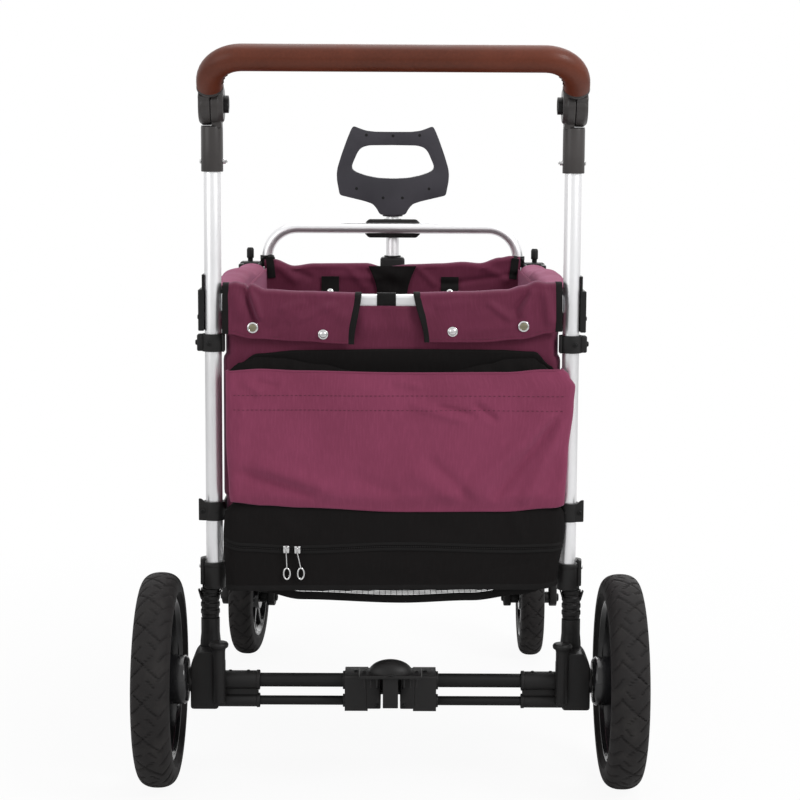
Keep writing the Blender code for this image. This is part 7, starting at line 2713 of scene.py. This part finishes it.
@dataclass
class FrontWall(Assembly):
    """The front wall, drawn over the front crossbar in a wavy edge, with its tabs and snaps."""

    body: str = "front_frame"
    left: float = -0.2115
    width: float = 0.4230
    foot: float = 0.3935
    inner_y: float = 0.3884
    bar_y: float = 0.3998
    bar_reach: float = 0.0114
    lip_y: float = 0.4112
    turn_drop: float = 0.0060
    tabs_x: tuple[float, float] = (-0.1026, 0.0950)
    tab_top: float = 0.6330
    snap_z: float = 0.6070
    strap_x: float = 0.1990
    top_line: tuple = (
        (-0.2150, 0.6600), (-0.1960, 0.6597), (-0.1630, 0.6490), (-0.1300, 0.6530), (-0.0880, 0.6534),
        (-0.0430, 0.6539), (-0.0156, 0.6480), (0.0340, 0.6524), (0.0800, 0.6540), (0.1170, 0.6567),
        (0.1450, 0.6547), (0.1780, 0.6640), (0.1960, 0.6668), (0.2150, 0.6657))
    folds: tuple = creases(
        (-190, 650, -160, 625, 7, 3.6), (-165, 645, -135, 630, 5, -3), (-70, 645, -45, 615, 6, 3),
        (45, 645, 70, 620, 5, 2.8), (94.3, 621.7, 201, 637.1, 4, -3.2), (150, 650, 190, 628, 6, 3.4),
        (-100, 635, -20, 630, 6, 2.2))

    def build(self) -> None:
        """Make the wall with its hem and everything sewn on it."""
        self.wall()
        for number, x in enumerate(self.tabs_x):
            self.tab(number, x)
        self.notch()
        for side, word in SIDES.items():
            self.corner_strap(side, word)

    def skin(self, x: float, z: float) -> float:
        """The y of the wall's inner face."""
        lift = lifted(self.folds, x, z) + slackness(x, z, 18.0, 0.0030, 51.0)
        return self.inner_y - lift * smoothly((0.662 - z) / 0.012)

    def wall(self) -> None:
        """The inner face, the roll over the crossbar and the outer lip."""
        def place(u: float, v: float) -> Point:
            """The wall's point: up its inner face, over the crossbar and down its lip.

            Args:
                u: share across it.
                v: share along it.

            Returns:
                The point.
            """
            x = self.left + self.width * u
            top = along(self.top_line, x)
            if v < 0.74:
                z = self.foot + (top - self.turn_drop - self.foot) * v / 0.74
                return (x, self.skin(x, z), z)
            if v < 0.84:
                turn = math.pi * (v - 0.74) / 0.10
                y = self.bar_y - self.bar_reach * math.cos(turn)
                return (x, y, top - self.turn_drop + self.turn_drop * math.sin(turn))
            share = (v - 0.84) / 0.16
            y = self.lip_y + slackness(x, share, 20.0, 0.0014, 57.0)
            return (x, y, top - self.turn_drop - share * 0.0450)
        part = cloth(self.width, 0.345, 130, 110, place)
        # Darkened maroon fabric: painted shade on the front wall.
        self.shop.sheet(
            "tub_front_wall", "shaded_maroon_cloth", self.body, part, self.width, 0.0014, "stretched",
            ["front_crossbar"], ["front_wall"], offset=0.0)

    def tab(self, number: int, x: float) -> None:
        """A webbing tab that ends in a press stud.

        Args:
            number: for its name.
            x: place across the wagon.
        """
        line = [
            Vector((x, self.skin(x, z) - 0.0034, z))
            for z in (self.tab_top - 0.0300 * step / 12 for step in range(13))]
        self.fit(
            f"front_tab_{number}", "black_webbing", swept(line, ribbon(0.0290, 0.0016), (0, -1, 0)))
        face = (x, self.skin(x, self.snap_z) - 0.0042, self.snap_z)
        self.fit(f"front_snap_{number}", "chrome", stud(face, 0.0062, 0.0026))

    def notch(self) -> None:
        """The black patch where the wall gives way to the pull handle's collar."""
        def place(u: float, v: float) -> Point:
            """The patch's point at shares of its cloth.

            Args:
                u: share across it.
                v: share along it.

            Returns:
                The point.
            """
            z = 0.6040 + 0.0465 * v
            half = 0.0246 + 0.0150 * v ** 1.6
            x = half * (2 * u - 1)
            crease = 0.0022 * math.sin(9 * v + 3 * u) + 0.0014 * math.sin(14 * u - 5 * v)
            return (x, self.skin(x, z) - 0.0045 - crease * (1 - abs(2 * u - 1)), z)
        part = cloth(0.065, 0.0465, 36, 26, place)
        self.shop.sheet(
            "front_patch", "black_cloth", self.body, part, 0.065, 0.0014, "folded", ["tub_front_wall"],
            offset=0.0)

    def corner_strap(self, side: int, word: str) -> None:
        """The strap that holds the wall's corner to its block.

        Args:
            side: -1 for the left side, 1 for the right.
            word: the side in words, for the names.
        """
        x = side * self.strap_x
        line = [
            Vector((x + side * 0.004 * (1 - step / 14), self.skin(x, z) - 0.0022, z))
            for step, z in ((step, 0.6640 - 0.0340 * step / 14) for step in range(15))]
        strap = swept(line, ribbon(0.0125, 0.0022), (0, -1, 0))
        link = swept(soften([
            (x, 0.3870, 0.6620), (x + side * 0.004, 0.3960, 0.6668), (side * 0.2120, 0.3990, 0.6640),
            (side * 0.2180, 0.4000, 0.6560)], 0.004, 4, closed=False), ribbon(0.0110, 0.0020),
            (0, 0, 1))
        self.fit(f"front_corner_strap_{word}", "black_webbing", strap, link)


@dataclass
class FloorAndRails(Assembly):
    """The folding floor and the folding rails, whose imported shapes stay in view."""

    def build(self) -> None:
        """Paint the frames and cover the boards."""
        self.shop.repaint("powder_coat", "floor_frame_rear", "floor_frame_front")
        for way in ("rear", "front"):
            self.shop.repaint("powder_coat", f"top_rail_{way}_left", f"top_rail_{way}_right")
            low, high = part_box(f"floor_board_{way}")
            board = box((low.x, high.x), (low.y, high.y), (low.z, high.z), 0.0024, 3)
            self.shop.piece(
                f"covered_board_{way}", "floor_cover", f"floor_{way}", board,
                replaces=[f"floor_board_{way}"])


@dataclass
class Studio:
    """The pale floor, the white surroundings, the lights and the camera."""

    lens: float = 91.18
    camera_place: Point = (0.0, REAR_Y - 2.6355, 0.8607)
    pan: float = math.radians(-0.234)
    pitch: float = math.radians(90.0 - 7.3748)
    roll: float = math.radians(0.30)
    soft_light: float = 0.38
    floor_half: float = 14.0
    lamps: tuple = (
        ("key_light", (2.3, -2.0, 2.5), (0, 0, 0.5), 1.2, 58),
        ("fill_light", (-2.2, -2.0, 1.6), (0, 0, 0.5), 1.8, 15),
        ("top_light", (0.2, 0.5, 3.0), (0, 0, 0.4), 2.4, 30),
        ("back_light", (0.6, 2.8, 2.0), (0, 0, 0.5), 1.8, 20))

    def build(self) -> None:
        """Set up the whole studio."""
        scene = bpy.context.scene
        scene.view_settings.view_transform = "Standard"
        self.camera(scene)
        self.floor()
        self.world(scene)
        for lamp in self.lamps:
            self.lamp(*lamp)

    def camera(self, scene: bpy.types.Scene) -> None:
        """The camera of the photograph.

        Args:
            scene: the scene.
        """
        data = bpy.data.cameras.new("photo_camera")
        data.lens, data.sensor_width, data.sensor_fit = self.lens, 36.0, "HORIZONTAL"
        data.clip_end = 60.0
        camera = bpy.data.objects.new("photo_camera", data)
        scene.collection.objects.link(camera)
        camera.matrix_world = (
            Matrix.Translation(self.camera_place) @ Matrix.Rotation(self.pan, 4, "Z")
            @ Matrix.Rotation(self.pitch, 4, "X") @ Matrix.Rotation(self.roll, 4, "Z"))
        scene.camera = camera

    def floor(self) -> None:
        """A wide pale floor that the camera sees as nearly white, with the wagon's shadow on it."""
        part = bmesh.new()
        bmesh.ops.create_grid(part, x_segments=4, y_segments=4, size=self.floor_half)
        mesh = bpy.data.meshes.new("studio_floor")
        part.to_mesh(mesh)
        part.free()
        desk = NodeDesk("studio_floor")
        desk.shader.inputs["Roughness"].default_value = 0.9
        desk.feed(
            desk.shader.inputs["Base Color"],
            desk.blend(desk.cloud(desk.where("Object"), 1.5), (0.86, 0.86, 0.86), (0.90, 0.90, 0.90)))
        glow = desk.node("Emission")
        glow.inputs["Strength"].default_value = 1.0
        rays = desk.node("LightPath")
        far = desk.node("VectorMath", operation="LENGTH", c0=desk.where("Object")).outputs["Value"]
        seen = desk.sum_of(
            rays.outputs["Is Camera Ray"], desk.ramp(far, 0.5, 1.4, 0.93, 1.0), "MULTIPLY")
        mix = desk.node("MixShader")
        desk.feed(mix.inputs[0], seen)
        desk.tree.links.new(desk.shader.outputs[0], mix.inputs[1])
        desk.tree.links.new(glow.outputs[0], mix.inputs[2])
        desk.tree.links.new(mix.outputs[0], desk.tree.nodes["Material Output"].inputs["Surface"])
        mesh.materials.append(desk.material)
        floor = bpy.data.objects.new("studio_floor", mesh)
        bpy.context.scene.collection.objects.link(floor)

    def world(self, scene: bpy.types.Scene) -> None:
        """White to the camera, to gloss and to glass; a softer light on everything else.

        Args:
            scene: the scene.
        """
        world = bpy.data.worlds.new("white_studio")
        world.use_nodes = True
        tree = world.node_tree
        back = tree.nodes["Background"]
        rays = tree.nodes.new("ShaderNodeLightPath")
        total = rays.outputs["Is Camera Ray"]
        for name in ("Is Glossy Ray", "Is Transmission Ray"):
            add = tree.nodes.new("ShaderNodeMath")
            add.operation, add.use_clamp = "ADD", True
            tree.links.new(total, add.inputs[0])
            tree.links.new(rays.outputs[name], add.inputs[1])
            total = add.outputs[0]
        level = tree.nodes.new("ShaderNodeMapRange")
        level.inputs["To Min"].default_value = self.soft_light
        level.inputs["To Max"].default_value = 1.0
        tree.links.new(total, level.inputs["Value"])
        tree.links.new(level.outputs["Result"], back.inputs["Strength"])
        back.inputs["Color"].default_value = (1.0, 1.0, 1.0, 1.0)
        scene.world = world

    def lamp(self, name: str, place: Point, target: Point, size: float, power: float) -> None:
        """A square area light that faces a target.

        Args:
            name: of the lamp.
            place: where it stands.
            target: what it faces.
            size: its edge.
            power: in watts.
        """
        data = bpy.data.lights.new(name, "AREA")
        data.shape, data.size, data.energy = "SQUARE", size, power
        lamp = bpy.data.objects.new(name, data)
        bpy.context.scene.collection.objects.link(lamp)
        way = Vector(target) - Vector(place)
        lamp.matrix_world = Matrix.Translation(place) @ way.to_track_quat(
            "-Z", "Y").to_matrix().to_4x4()


def main() -> None:
    """Build the wagon's looks and the studio."""
    logging.basicConfig(level=logging.INFO, format="%(message)s")
    shop = Workshop()
    Studio().build()
    for assembly in (
            RearFrame(shop), PushHandle(shop), Brake(shop), RearWheels(shop), Casters(shop),
            FrontFrame(shop), PullHandle(shop), FloorAndRails(shop), RearPanel(shop), RearPocket(shop),
            ZipBand(shop), NetBag(shop), SideWalls(shop), FrontWall(shop)):
        assembly.build()
        LOG.info("built %s", type(assembly).__name__)


if __name__ == "__main__":
    main()
